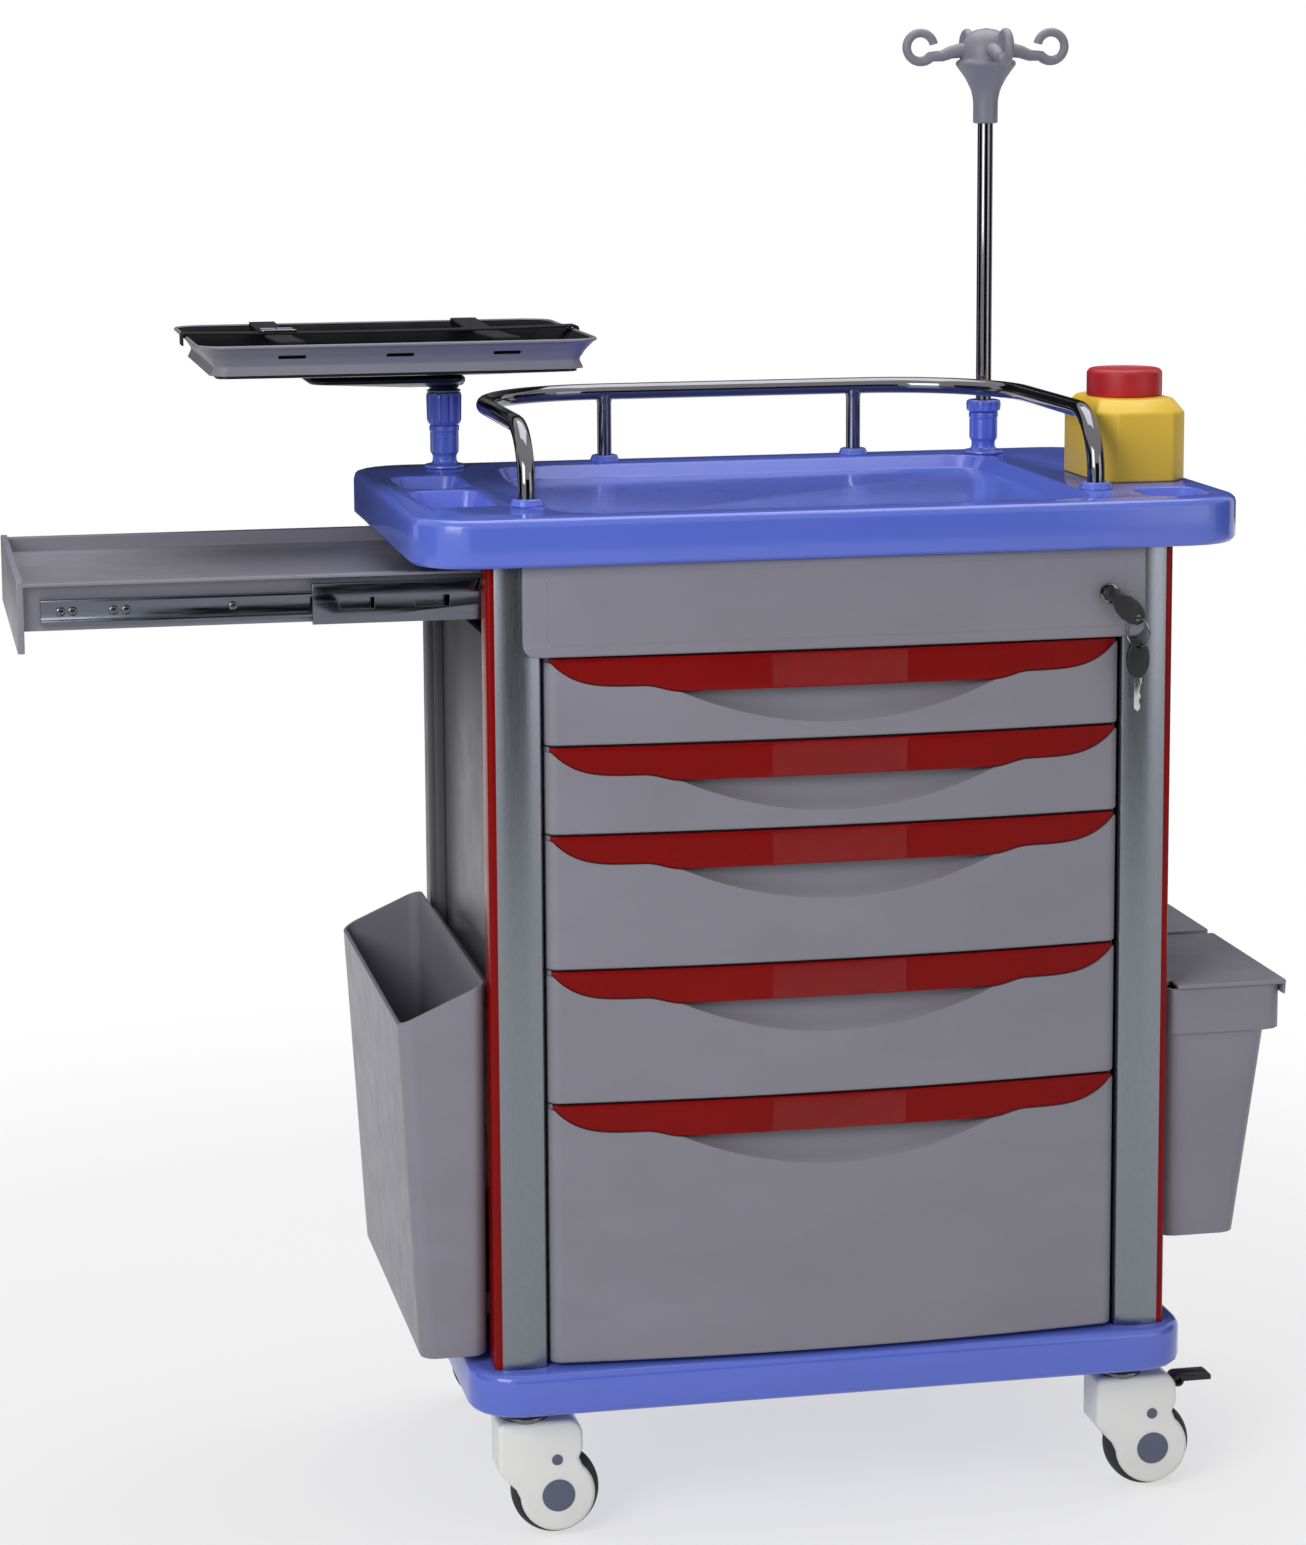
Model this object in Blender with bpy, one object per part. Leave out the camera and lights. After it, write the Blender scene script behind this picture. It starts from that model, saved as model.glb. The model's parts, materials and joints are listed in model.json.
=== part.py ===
"""A hospital medication cart with drawers, a pull-out side shelf, a monitor tray, a drip pole and hung bins.

Metres, +Z up. The cart is laid out about its own middle: +X is its right, -Y its front. One empty carries
all of it and sets the middle of the whole outline over the origin, with the wheels on the floor.
"""

import math

import bmesh
import bpy
from mathutils import Matrix, Vector

# Fits
GAP = 0.0003
RUN = 0.002
OVERLAP = 0.002
CUT_OVER = 0.004

# Facets
CORNER_STEPS = 5
TURN_STEPS = 16
BORE_STEPS = 12
PIN_STEPS = 8

# Drawer stack, from the top drawer down
DRAWER_HEIGHTS = (0.079, 0.079, 0.121, 0.121, 0.238)
DRAWER_WIDTH = 0.512
DRAWER_BACK_ROOM = 0.035
FRONT_PROUD = 0.002
FRONT_THICK = 0.024
FRONT_BOW = 0.013
FRONT_END_ROUND = 0.010
FRONT_EDGE_ROUND = 0.003
FRONT_SPLIT = 0.001
WAVE_END = 0.005
WAVE_DROP = 0.027
WAVE_SHOULDER = 0.086
STRIP_DROP = 0.033
STRIP_REBATE = 0.006
STRIP_SET = 0.0015
STRIP_END = 0.012
STRIP_CLEAR = 0.0005
SCOOP_HALF = 0.130
SCOOP_RISE = 0.031
SCOOP_DEPTH = 0.018
GRIP_SHARE = 0.6
BOX_WIDTH = 0.464
BOX_WALL = 0.003
BOX_FLOOR_LIFT = 0.006
BOX_DROP = 0.016
BOX_CORNER = 0.012
FLANGE_WIDTH = 0.020
FLANGE_THICK = 0.003
GUIDE_CLEAR = 0.004
GUIDE_THICK = 0.006
GUIDE_END_CLEAR = 0.004

# Body
STACK_GAP = 0.003
LOCK_HEIGHT = 0.082
BODY_DEPTH = 0.424
COLUMN_GAP = 0.008
COLUMN_WIDTH = 0.037
COLUMN_DEPTH = 0.036
COLUMN_ROUND = 0.014
COLUMN_EDGE = 0.004
COLUMN_WALL = 0.003
TRIM_PROUD = 0.006
TRIM_SINK = 0.0015
TRIM_WIDTH = 0.028
TRIM_ROUND = 0.0025
PANEL_SET = 0.025
PANEL_THICK = 0.006
PANEL_GROOVE = 0.004
BACK_SET = 0.010
BACK_THICK = 0.004

# Base and casters
BASE_WIDTH = 0.665
BASE_DEPTH = 0.455
BASE_THICK = 0.040
BASE_CORNER = 0.045
BASE_ROUND = 0.008
BASE_WALL = 0.010
BASE_DECK = 0.010
CASTER_SIDE_INSET = 0.0525
CASTER_END_INSET = 0.0525
CASTER_HEIGHT = 0.125
CASTER_TRAIL = 0.027
WHEEL_DIAMETER = 0.080
WHEEL_WIDTH = 0.028
WHEEL_CLEAR = 0.003
TYRE_ROUND = 0.006
AXLE_DIAMETER = 0.010
CHEEK_THICK = 0.006
CHEEK_RADIUS = 0.034
HUB_CAP_DIAMETER = 0.030
HUB_CAP_PROUD = 0.0015
SHELL_FRONT = 0.027
SHELL_BACK = 0.044
SHELL_WAIST = 0.074
SWIVEL_DIAMETER = 0.052
SWIVEL_THICK = 0.006
STEM_DIAMETER = 0.012
STEM_LENGTH = 0.022
BOSS_DIAMETER = 0.062
PEDAL_PIN_X = 0.056
PEDAL_PIN_Z = 0.098
PEDAL_PIN = 0.006
PEDAL_HUB = 0.012
PEDAL_REACH = 0.032
PEDAL_WIDTH = 0.018
PEDAL_THICK = 0.007
EAR_THICK = 0.004

# Work top
TOP_WIDTH = 0.750
TOP_DEPTH = 0.475
TOP_THICK = 0.042
TOP_CORNER = 0.055
TOP_ROUND = 0.007
WELL_WIDTH = 0.490
WELL_DEPTH = 0.390
WELL_Y = -0.010
WELL_SINK = 0.012
WELL_SLOPE = 0.008
WELL_CORNER = 0.040
POCKET_SINK = 0.016
POCKET_SLOPE = 0.004
POCKET_CORNER = 0.016
POCKET_WIDTH = 0.065
POCKET_X = -0.3175
POCKET_ENDS = ((-0.130, 0.000), (0.018, 0.128))
RECESS_X = 0.320
RECESS_Y = -0.172
RECESS_WIDTH = 0.060
RECESS_DEPTH = 0.065

# Guard rail
RAIL_DIAMETER = 0.016
RAIL_SPAN = 0.524
RAIL_RISE = 0.068
RAIL_FRONT_INSET = 0.1025
RAIL_BACK_INSET = 0.0255
RAIL_CORNER = 0.130
RAIL_BEND = 0.055
RAIL_SINK = 0.014
RAIL_POST_SPREAD = 0.250
RAIL_POST_DIAMETER = 0.014
FOOT_RING_WALL = 0.006
FOOT_RING_HEIGHT = 0.006

# Pole sockets
SOCKET_FLANGE_DIAMETER = 0.040
SOCKET_FLANGE_THICK = 0.003
SOCKET_FOOT_DIAMETER = 0.022
SOCKET_FOOT_HEIGHT = 0.013
SOCKET_SLEEVE_DIAMETER = 0.027
SOCKET_HEIGHT = 0.041
SOCKET_FLOOR = 0.008
COLLET_WALL = 0.0040
COLLET_HEIGHT = 0.009
KNOB_DIAMETER = 0.034
KNOB_FLUTE = 0.0016
KNOB_FLUTES = 10
KNOB_CHAMFER = 0.002
TRAY_KNOB_HEIGHT = 0.032
POLE_KNOB_HEIGHT = 0.012

# Drip pole
POLE_COLUMN_SET = 0.012
POLE_BAY_SET = 0.014
POLE_DIAMETER = 0.015
POLE_SHOWN = 0.270
POLE_LIFT = 0.380
POLE_LEFT_IN = 0.070
POLE_SEAT = 0.050
HEAD_NECK_DIAMETER = 0.024
HEAD_NECK_HEIGHT = 0.026
HEAD_CONE_DIAMETER = 0.062
HEAD_CONE_HEIGHT = 0.034
HEAD_CONE_EDGE = 0.004
HEAD_HUB_DIAMETER = 0.038
HEAD_HUB_HEIGHT = 0.018
HEAD_DOME_DIAMETER = 0.053
HEAD_DOME_EDGE = 0.005
HEAD_DOME_HEIGHT = 0.014
HOOK_WIRE = 0.0085
HOOK_RING = 0.0137
HOOK_REACH = 0.066
HOOK_DIP = 0.008
HOOK_COUNT = 4

# Monitor tray
TRAY_POST_X = -0.285
TRAY_POST_Y = 0.195
TRAY_WIDTH = 0.375
TRAY_DEPTH = 0.290
TRAY_HEIGHT = 0.040
TRAY_CORNER = 0.030
TRAY_FLARE = 0.010
TRAY_RIM = 0.006
TRAY_RIM_THICK = 0.004
TRAY_WALL = 0.003
TRAY_OFFSET = 0.060
TRAY_SLOTS = 3
TRAY_SLOT_LENGTH = 0.034
TRAY_SLOT_HEIGHT = 0.007
TRAY_SLOT_PITCH = 0.090
TRAY_SLOT_LIFT = 0.024
ARM_HEIGHT = 0.018
ARM_NECK_DIAMETER = 0.028
ARM_NECK_HEIGHT = 0.006
ARM_HEAD_WIDTH = 0.150
ARM_HEAD_DEPTH = 0.110
ARM_PLATE = 0.005
ARM_STEM_DIAMETER = 0.016
ARM_STEM_LENGTH = 0.062
STRAP_WIDTH = 0.025
STRAP_THICK = 0.003
STRAP_HANG = 0.009

# Side shelf and its telescopic slides
SHELF_CLEAR = 0.009
SHELF_LENGTH = 0.420
SHELF_TRAVEL = 0.396
SHELF_SIDE_CLEAR = 0.004
SHELF_HALF = 0.169
SHELF_WALL = 0.0025
SHELF_LIP = 0.010
SHELF_RIM = 0.015
SHELF_SKIRT = 0.042
SHELF_END_THICK = 0.0035
SHELF_END_RISE = 0.002
SHELF_END_DROP = 0.060
SLIDE_OUTER_HEIGHT = 0.045
SLIDE_OUTER_LIP = 0.0045
SLIDE_MIDDLE_LIP = 0.0066
SLIDE_INNER_LIP = 0.004
SLIDE_WEB = 0.0015
SLIDE_DEPTH = 0.012
SLIDE_DROP = 0.0255
SLIDE_LENGTH = 0.400
SLIDE_OUTER_START = -0.298
SLIDE_MIDDLE_OUT = 0.159
SLIDE_INNER_SET = 0.017
SLIDE_INNER_LENGTH = 0.420
SLOT_LENGTH = 0.030
SLOT_HEIGHT = 0.010
SLOT_STARTS = (0.024, 0.090)
BRACE_WIDTH = 0.030
BRACE_THICK = 0.003
BRACE_STARTS = (0.040, 0.300)

# Lock panel and keys
LOCK_PANEL_WIDTH = 0.562
LOCK_PANEL_THICK = 0.010
LOCK_PANEL_CORNER = 0.011
LOCK_PANEL_BOW = 0.006
LOCK_PANEL_EDGE = 0.002
LOCK_X = 0.246
LOCK_BARREL_DIAMETER = 0.013
LOCK_RIM_DIAMETER = 0.018
LOCK_RIM_PROUD = 0.003
LOCK_BEHIND = 0.012
KEY_BLADE_WIDTH = 0.007
KEY_BLADE_THICK = 0.002
KEY_BLADE_DEPTH = 0.012
KEY_NECK_LENGTH = 0.006
KEY_BOW_LENGTH = 0.034
KEY_BOW_WIDTH = 0.021
KEY_BOW_THICK = 0.005
KEY_BOW_START = 0.004
KEY_HOLE = 0.007
KEY_HOLE_INSET = 0.006
KEY_TILT = math.radians(48.0)
RING_DIAMETER = 0.026
RING_WIRE = 0.0018
RING_TURN = math.radians(33.0)
SPARE_BLADE_LENGTH = 0.030

# Bins hung on the side panels
BIN_STANDOFF = 0.022
HANGER_WALL = 0.004
HANGER_RISE = 0.018
HANGER_HALF = 0.160
HOOK_LIP = 0.010
BIN_DEPTH = 0.190
BIN_SPLIT = 0.020
BIN_REACH = 0.098
BIN_FOOT_REACH = 0.073
BIN_BAND_REACH = 0.111
BIN_BAND_PROUD = 0.004
BIN_BAND = 0.044
BIN_LIFT = 0.240
BIN_HEIGHT = 0.236
BIN_HANG_DROP = 0.010
BIN_WALL = 0.003
BIN_CORNER = 0.014
BIN_END_TAPER = 0.006
LID_THICK = 0.004
LID_LIP = 0.010
LID_OVER = 0.003
LID_KNUCKLE = 0.0064
LID_PIN = 0.003
LID_EAR = 0.006
BUCKET_DEPTH = 0.400
BUCKET_END_TAPER = 0.010
BUCKET_REACH = 0.078
BUCKET_FOOT_REACH = 0.061
BUCKET_LIFT = 0.172
BUCKET_HEIGHT = 0.343
BUCKET_RIM_DROP = 0.054
BUCKET_HANG_DROP = 0.014
BUCKET_WALL = 0.003
BUCKET_CORNER = 0.014
BUCKET_LIP = 0.008
BUMPER_HEIGHT = 0.020
BUMPER_LIFT = 0.030

# Sharps box
SHARPS_RAIL_CLEAR = 0.009
SHARPS_Y = -0.035
SHARPS_WIDTH = 0.085
SHARPS_DEPTH = 0.130
SHARPS_HEIGHT = 0.075
SHARPS_CHAMFER = 0.016
SHARPS_SHOULDER = 0.014
SHARPS_SHOULDER_RISE = 0.012
SHARPS_WALL = 0.002
SHARPS_NECK_DIAMETER = 0.058
SHARPS_NECK_HEIGHT = 0.008
SHARPS_CAP_DIAMETER = 0.070
SHARPS_CAP_HEIGHT = 0.025
SHARPS_CAP_WALL = 0.0025

# Levels and faces that several pieces share
BASE_TOP = CASTER_HEIGHT + BASE_THICK
STACK_FOOT = BASE_TOP + STACK_GAP
BAY_FLOOR = STACK_FOOT + sum(DRAWER_HEIGHTS)
TOP_UNDER = BAY_FLOOR + LOCK_HEIGHT
TOP_FACE = TOP_UNDER + TOP_THICK
BODY_FRONT = -BODY_DEPTH / 2
BAY_HALF = BODY_DEPTH / 2 - COLUMN_DEPTH
COLUMN_INNER = DRAWER_WIDTH / 2 + COLUMN_GAP
COLUMN_OUTER = COLUMN_INNER + COLUMN_WIDTH
POLE_X = COLUMN_INNER - POLE_COLUMN_SET
POLE_Y = BAY_HALF + POLE_BAY_SET
TRIM_OUTER = COLUMN_OUTER + TRIM_PROUD
PANEL_MID = COLUMN_INNER + PANEL_SET
PANEL_OUTER = PANEL_MID + PANEL_THICK / 2
PANEL_END = BAY_HALF + PANEL_GROOVE - GAP
BACK_Y = BODY_DEPTH / 2 - BACK_SET
FRONT_EDGE = BODY_FRONT - FRONT_PROUD
FRONT_BACK = FRONT_EDGE + FRONT_THICK
BOX_BACK = BACK_Y - BACK_THICK / 2 - DRAWER_BACK_ROOM
FLANGE_HALF = BOX_WIDTH / 2 + FLANGE_WIDTH
GUIDE_INNER = BOX_WIDTH / 2 + GUIDE_CLEAR
RAIL_HALF = RAIL_SPAN / 2
RAIL_FRONT = -TOP_DEPTH / 2 + RAIL_FRONT_INSET
RAIL_BACK = TOP_DEPTH / 2 - RAIL_BACK_INSET
RAIL_Z = TOP_FACE + RAIL_RISE
RAIL_FEET = (
    (-RAIL_HALF, RAIL_FRONT, RAIL_DIAMETER),
    (RAIL_HALF, RAIL_FRONT, RAIL_DIAMETER),
    (-RAIL_POST_SPREAD / 2, RAIL_BACK, RAIL_POST_DIAMETER),
    (RAIL_POST_SPREAD / 2, RAIL_BACK, RAIL_POST_DIAMETER),
)
SOCKET_TOP = TOP_FACE + SOCKET_HEIGHT
KNOB_FOOT = SOCKET_TOP + GAP
TRAY_KNOB_TOP = KNOB_FOOT + TRAY_KNOB_HEIGHT
POLE_KNOB_TOP = KNOB_FOOT + POLE_KNOB_HEIGHT
HEAD_FOOT = POLE_KNOB_TOP + POLE_SHOWN
HOOK_Z = HEAD_FOOT + HEAD_NECK_HEIGHT + HEAD_CONE_HEIGHT + HEAD_HUB_HEIGHT / 2
ARM_FOOT = TRAY_KNOB_TOP + GAP
TRAY_FOOT = ARM_FOOT + ARM_HEIGHT + GAP
TRAY_TOP = TRAY_FOOT + TRAY_HEIGHT
TRAY_X = TRAY_POST_X - TRAY_OFFSET
SHELF_TOP = TOP_UNDER - SHELF_CLEAR
SHELF_START = -TRIM_OUTER - SHELF_SIDE_CLEAR - SHELF_TRAVEL
SHELF_SIDE = SHELF_HALF - SHELF_LIP
SLIDE_Z = SHELF_TOP - SLIDE_DROP
SLIDE_FACE = SHELF_SIDE + SLIDE_DEPTH + GAP
SLIDE_MIDDLE_HEIGHT = SLIDE_OUTER_HEIGHT - 2 * (SLIDE_OUTER_LIP + GAP)
SLIDE_INNER_HEIGHT = SLIDE_MIDDLE_HEIGHT - 2 * (SLIDE_MIDDLE_LIP + GAP)
LOCK_Z = BAY_FLOOR + LOCK_HEIGHT / 2
LOCK_BACK = BODY_FRONT - GAP
BIN_BACK = PANEL_OUTER + BIN_STANDOFF
BIN_TOP = BIN_LIFT + BIN_HEIGHT
BUCKET_TOP = BUCKET_LIFT + BUCKET_HEIGHT
LID_AXIS_X = BIN_BACK + LID_KNUCKLE / 2 + GAP
LID_AXIS_Z = BIN_TOP + GAP + LID_KNUCKLE / 2
WHEEL_RADIUS = WHEEL_DIAMETER / 2
FORK_HALF = WHEEL_WIDTH / 2 + RUN + CHEEK_THICK
SHARPS_TOP = TOP_FACE + GAP + SHARPS_HEIGHT
SHARPS_X = RAIL_HALF + RAIL_DIAMETER / 2 + SHARPS_RAIL_CLEAR + SHARPS_WIDTH / 2
CASTER_X = BASE_WIDTH / 2 - CASTER_SIDE_INSET
CASTER_Y = BASE_DEPTH / 2 - CASTER_END_INSET
CORNERS = {
    "front_left": (-1, -1),
    "front_right": (1, -1),
    "rear_left": (-1, 1),
    "rear_right": (1, 1),
}
BRAKED = ("front_right", "rear_left")


def clear_scene():
    """Empties the scene of whatever it opens with."""
    for thing in list(bpy.data.objects):
        bpy.data.objects.remove(thing, do_unlink=True)


def finish(name, colour, roughness, metallic=0.0):
    """A plain surface of one colour."""
    material = bpy.data.materials.new(name)
    material.use_nodes = True
    shader = material.node_tree.nodes["Principled BSDF"]
    shader.inputs["Base Color"].default_value = (*colour, 1.0)
    shader.inputs["Roughness"].default_value = roughness
    shader.inputs["Metallic"].default_value = metallic
    material.diffuse_color = (*colour, 1.0)
    return material


def make_finishes():
    """The surfaces of the cart, by a short name."""
    return {
        "blue": finish("blue_abs", (0.10, 0.16, 0.62), 0.25),
        "grey": finish("grey_abs", (0.23, 0.23, 0.27), 0.45),
        "dark": finish("dark_grey_abs", (0.10, 0.10, 0.11), 0.5),
        "red": finish("red_abs", (0.20, 0.006, 0.006), 0.35),
        "zinc": finish("zinc_steel", (0.45, 0.48, 0.50), 0.4, 1.0),
        "chrome": finish("chrome", (0.75, 0.75, 0.76), 0.08, 1.0),
        "slide": finish("slide_steel", (0.50, 0.51, 0.53), 0.25, 1.0),
        "black": finish("black_plastic", (0.012, 0.012, 0.013), 0.45),
        "white": finish("white_abs", (0.78, 0.78, 0.76), 0.35),
        "tyre": finish("black_tyre", (0.018, 0.018, 0.018), 0.6),
        "yellow": finish("yellow_plastic", (0.68, 0.40, 0.035), 0.35),
        "cap": finish("red_cap", (0.42, 0.012, 0.018), 0.35),
        "strap": finish("black_elastic", (0.015, 0.015, 0.016), 0.85),
    }


def arc(centre, radius, start, end, steps):
    """Points along a circle's arc in a plane, from one angle to another in degrees."""
    points = []
    for step in range(steps + 1):
        angle = math.radians(start + (end - start) * step / steps)
        points.append((centre[0] + radius * math.cos(angle), centre[1] + radius * math.sin(angle)))
    return points


def rounded(width, depth, radius, middle=(0.0, 0.0), steps=CORNER_STEPS):
    """The outline of a rectangle with round corners, counter-clockwise."""
    points = []
    for turn, (right, back) in enumerate(((1, 1), (-1, 1), (-1, -1), (1, -1))):
        centre = (
            middle[0] + right * (width / 2 - radius),
            middle[1] + back * (depth / 2 - radius),
        )
        points += arc(centre, radius, 90 * turn, 90 * turn + 90, steps)
    return points


def circle(radius, middle=(0.0, 0.0), steps=TURN_STEPS):
    """The outline of a circle, counter-clockwise."""
    return arc(middle, radius, 0, 360 - 360 / steps, steps - 1)


def running_bore(radius, middle=(0.0, 0.0), steps=TURN_STEPS):
    """A bore's outline whose flats clear a shaft of this radius as it turns."""
    return circle((radius + GAP) / math.cos(math.pi / steps), middle, steps)


def at_height(outline, z):
    """A flat outline as a ring of points at one height."""
    return [(x, y, z) for x, y in outline]


def loft(rings, closed=False):
    """A solid through rings with the same number of points, capped at both ends or run round into a loop."""
    shape = bmesh.new()
    loops = [[shape.verts.new(point) for point in ring] for ring in rings]
    count = len(loops[0])
    pairs = list(zip(loops, loops[1:]))
    if closed:
        pairs.append((loops[-1], loops[0]))
    for lower, upper in pairs:
        for i in range(count):
            j = (i + 1) % count
            shape.faces.new((lower[i], lower[j], upper[j], upper[i]))
    if not closed:
        shape.faces.new(reversed(loops[0]))
        shape.faces.new(loops[-1])
    bmesh.ops.recalc_face_normals(shape, faces=shape.faces)
    return shape


def prism(outline, low, high, axis="Z"):
    """A straight extrusion. The outline lies in the two other axes, in the order XY, YZ or XZ."""
    turned = {
        "Z": lambda u, v, w: (u, v, w),
        "X": lambda u, v, w: (w, u, v),
        "Y": lambda u, v, w: (u, w, v),
    }[axis]
    return loft([[turned(u, v, w) for u, v in outline] for w in (low, high)])


def block(low, high):
    """A box between two corners."""
    outline = ((low[0], low[1]), (high[0], low[1]), (high[0], high[1]), (low[0], high[1]))
    return prism(outline, low[2], high[2])


def lathe(profile, steps=TURN_STEPS):
    """Turns a profile of radius and height, which starts and ends on the axis, about Z."""
    shape = bmesh.new()
    points = [shape.verts.new((radius, 0.0, z)) for radius, z in profile]
    edges = [shape.edges.new(pair) for pair in zip(points, points[1:])]
    bmesh.ops.spin(
        shape, geom=points + edges, cent=(0, 0, 0), axis=(0, 0, 1), angle=2 * math.pi, steps=steps
    )
    bmesh.ops.remove_doubles(shape, verts=shape.verts, dist=1e-6)
    bmesh.ops.recalc_face_normals(shape, faces=shape.faces)
    return shape


def turned_ring(profile, steps=TURN_STEPS):
    """Turns a closed profile of radius and height, which stays clear of the axis, about Z."""
    rings = []
    for step in range(steps):
        angle = 2 * math.pi * step / steps
        rings.append([(radius * math.cos(angle), radius * math.sin(angle), z) for radius, z in profile])
    return loft(rings, closed=True)


def tube(points, diameter, resolution=2, closed=False):
    """A round wire along a path, with filled ends."""
    data = bpy.data.curves.new("path", "CURVE")
    data.dimensions = "3D"
    data.bevel_depth = diameter / 2
    data.bevel_resolution = resolution
    data.use_fill_caps = True
    spline = data.splines.new("POLY")
    spline.points.add(len(points) - 1)
    for point, place in zip(spline.points, points):
        point.co = (*place, 1.0)
    spline.use_cyclic_u = closed
    holder = bpy.data.objects.new("path", data)
    bpy.context.scene.collection.objects.link(holder)
    graph = bpy.context.evaluated_depsgraph_get()
    mesh = bpy.data.meshes.new_from_object(holder.evaluated_get(graph))
    shape = bmesh.new()
    shape.from_mesh(mesh)
    bmesh.ops.remove_doubles(shape, verts=shape.verts, dist=1e-6)
    bmesh.ops.recalc_face_normals(shape, faces=shape.faces)
    bpy.data.objects.remove(holder)
    bpy.data.curves.remove(data)
    bpy.data.meshes.remove(mesh)
    return shape


def moved(shape, offset=(0, 0, 0), turn=0.0, axis="Z"):
    """The shape turned about an axis through the origin and then shifted."""
    matrix = Matrix.Translation(offset) @ Matrix.Rotation(turn, 4, axis)
    bmesh.ops.transform(shape, matrix=matrix, verts=shape.verts)
    return shape


def mesh_of(shape, name):
    """A mesh of the shape, which is used up."""
    mesh = bpy.data.meshes.new(name)
    shape.to_mesh(mesh)
    shape.free()
    return mesh


def combined(base, tool, operation):
    """The base joined with the tool or cut by it. Both are used up."""
    holders = []
    for shape in (base, tool):
        holder = bpy.data.objects.new("solid", mesh_of(shape, "solid"))
        bpy.context.scene.collection.objects.link(holder)
        holders.append(holder)
    change = holders[0].modifiers.new(operation, "BOOLEAN")
    change.operation = operation
    change.object = holders[1]
    graph = bpy.context.evaluated_depsgraph_get()
    mesh = bpy.data.meshes.new_from_object(holders[0].evaluated_get(graph))
    result = bmesh.new()
    result.from_mesh(mesh)
    bpy.data.meshes.remove(mesh)
    for holder in holders:
        data = holder.data
        bpy.data.objects.remove(holder)
        bpy.data.meshes.remove(data)
    return result


def fused(base, *others):
    """The base joined with each of the others."""
    for other in others:
        base = combined(base, other, "UNION")
    return base


def cut(base, *tools):
    """The base cut by each of the tools."""
    for tool in tools:
        base = combined(base, tool, "DIFFERENCE")
    return base


class Cart:
    """Holds the carrying empty and adds each finished piece to it."""

    def __init__(self):
        self.finishes = make_finishes()
        self.root = bpy.data.objects.new("cart", None)
        bpy.context.scene.collection.objects.link(self.root)
        self.pieces = []

    def add(self, name, shape, surface, origin=(0.0, 0.0, 0.0)):
        """Makes the shape a named object whose own origin is the given point."""
        moved(shape, -Vector(origin))
        piece = bpy.data.objects.new(name, mesh_of(shape, name))
        piece.data.materials.append(self.finishes[surface])
        piece.location = origin
        piece.parent = self.root
        bpy.context.scene.collection.objects.link(piece)
        self.pieces.append(piece)

    def settle(self):
        """Sets the middle of the whole outline over the origin."""
        bpy.context.view_layer.update()
        corners = [piece.matrix_world @ vertex.co for piece in self.pieces for vertex in piece.data.vertices]
        for axis in (0, 1):
            values = [corner[axis] for corner in corners]
            self.root.location[axis] = -(min(values) + max(values)) / 2


# Base, columns and panels


def soft_slab(width, depth, corner, low, high, edge):
    """A slab with round corners, a rounded upper edge and a small lower chamfer."""
    rings = [
        at_height(rounded(width - edge, depth - edge, corner - edge / 2), low),
        at_height(rounded(width, depth, corner), low + edge / 2),
    ]
    for step in range(4):
        angle = math.radians(30.0 * step)
        inset = edge * (1 - math.cos(angle))
        outline = rounded(width - 2 * inset, depth - 2 * inset, corner - inset)
        rings.append(at_height(outline, high - edge + edge * math.sin(angle)))
    return loft(rings)


def base_tray():
    """The moulded base: a shell that is open below, with a bored boss for each caster stem."""
    shape = soft_slab(BASE_WIDTH, BASE_DEPTH, BASE_CORNER, CASTER_HEIGHT, BASE_TOP, BASE_ROUND)
    hollow = rounded(BASE_WIDTH - 2 * BASE_WALL, BASE_DEPTH - 2 * BASE_WALL, BASE_CORNER - BASE_WALL)
    deck = BASE_TOP - BASE_DECK
    shape = cut(shape, prism(hollow, CASTER_HEIGHT - CUT_OVER, deck))
    for right, back in CORNERS.values():
        middle = (right * CASTER_X, back * CASTER_Y)
        boss = prism(circle(BOSS_DIAMETER / 2, middle), CASTER_HEIGHT, deck + OVERLAP)
        bore = running_bore(STEM_DIAMETER / 2, middle, PIN_STEPS)
        shape = fused(shape, boss)
        shape = cut(shape, prism(bore, CASTER_HEIGHT - CUT_OVER, CASTER_HEIGHT + STEM_LENGTH + GAP))
    return shape


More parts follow.
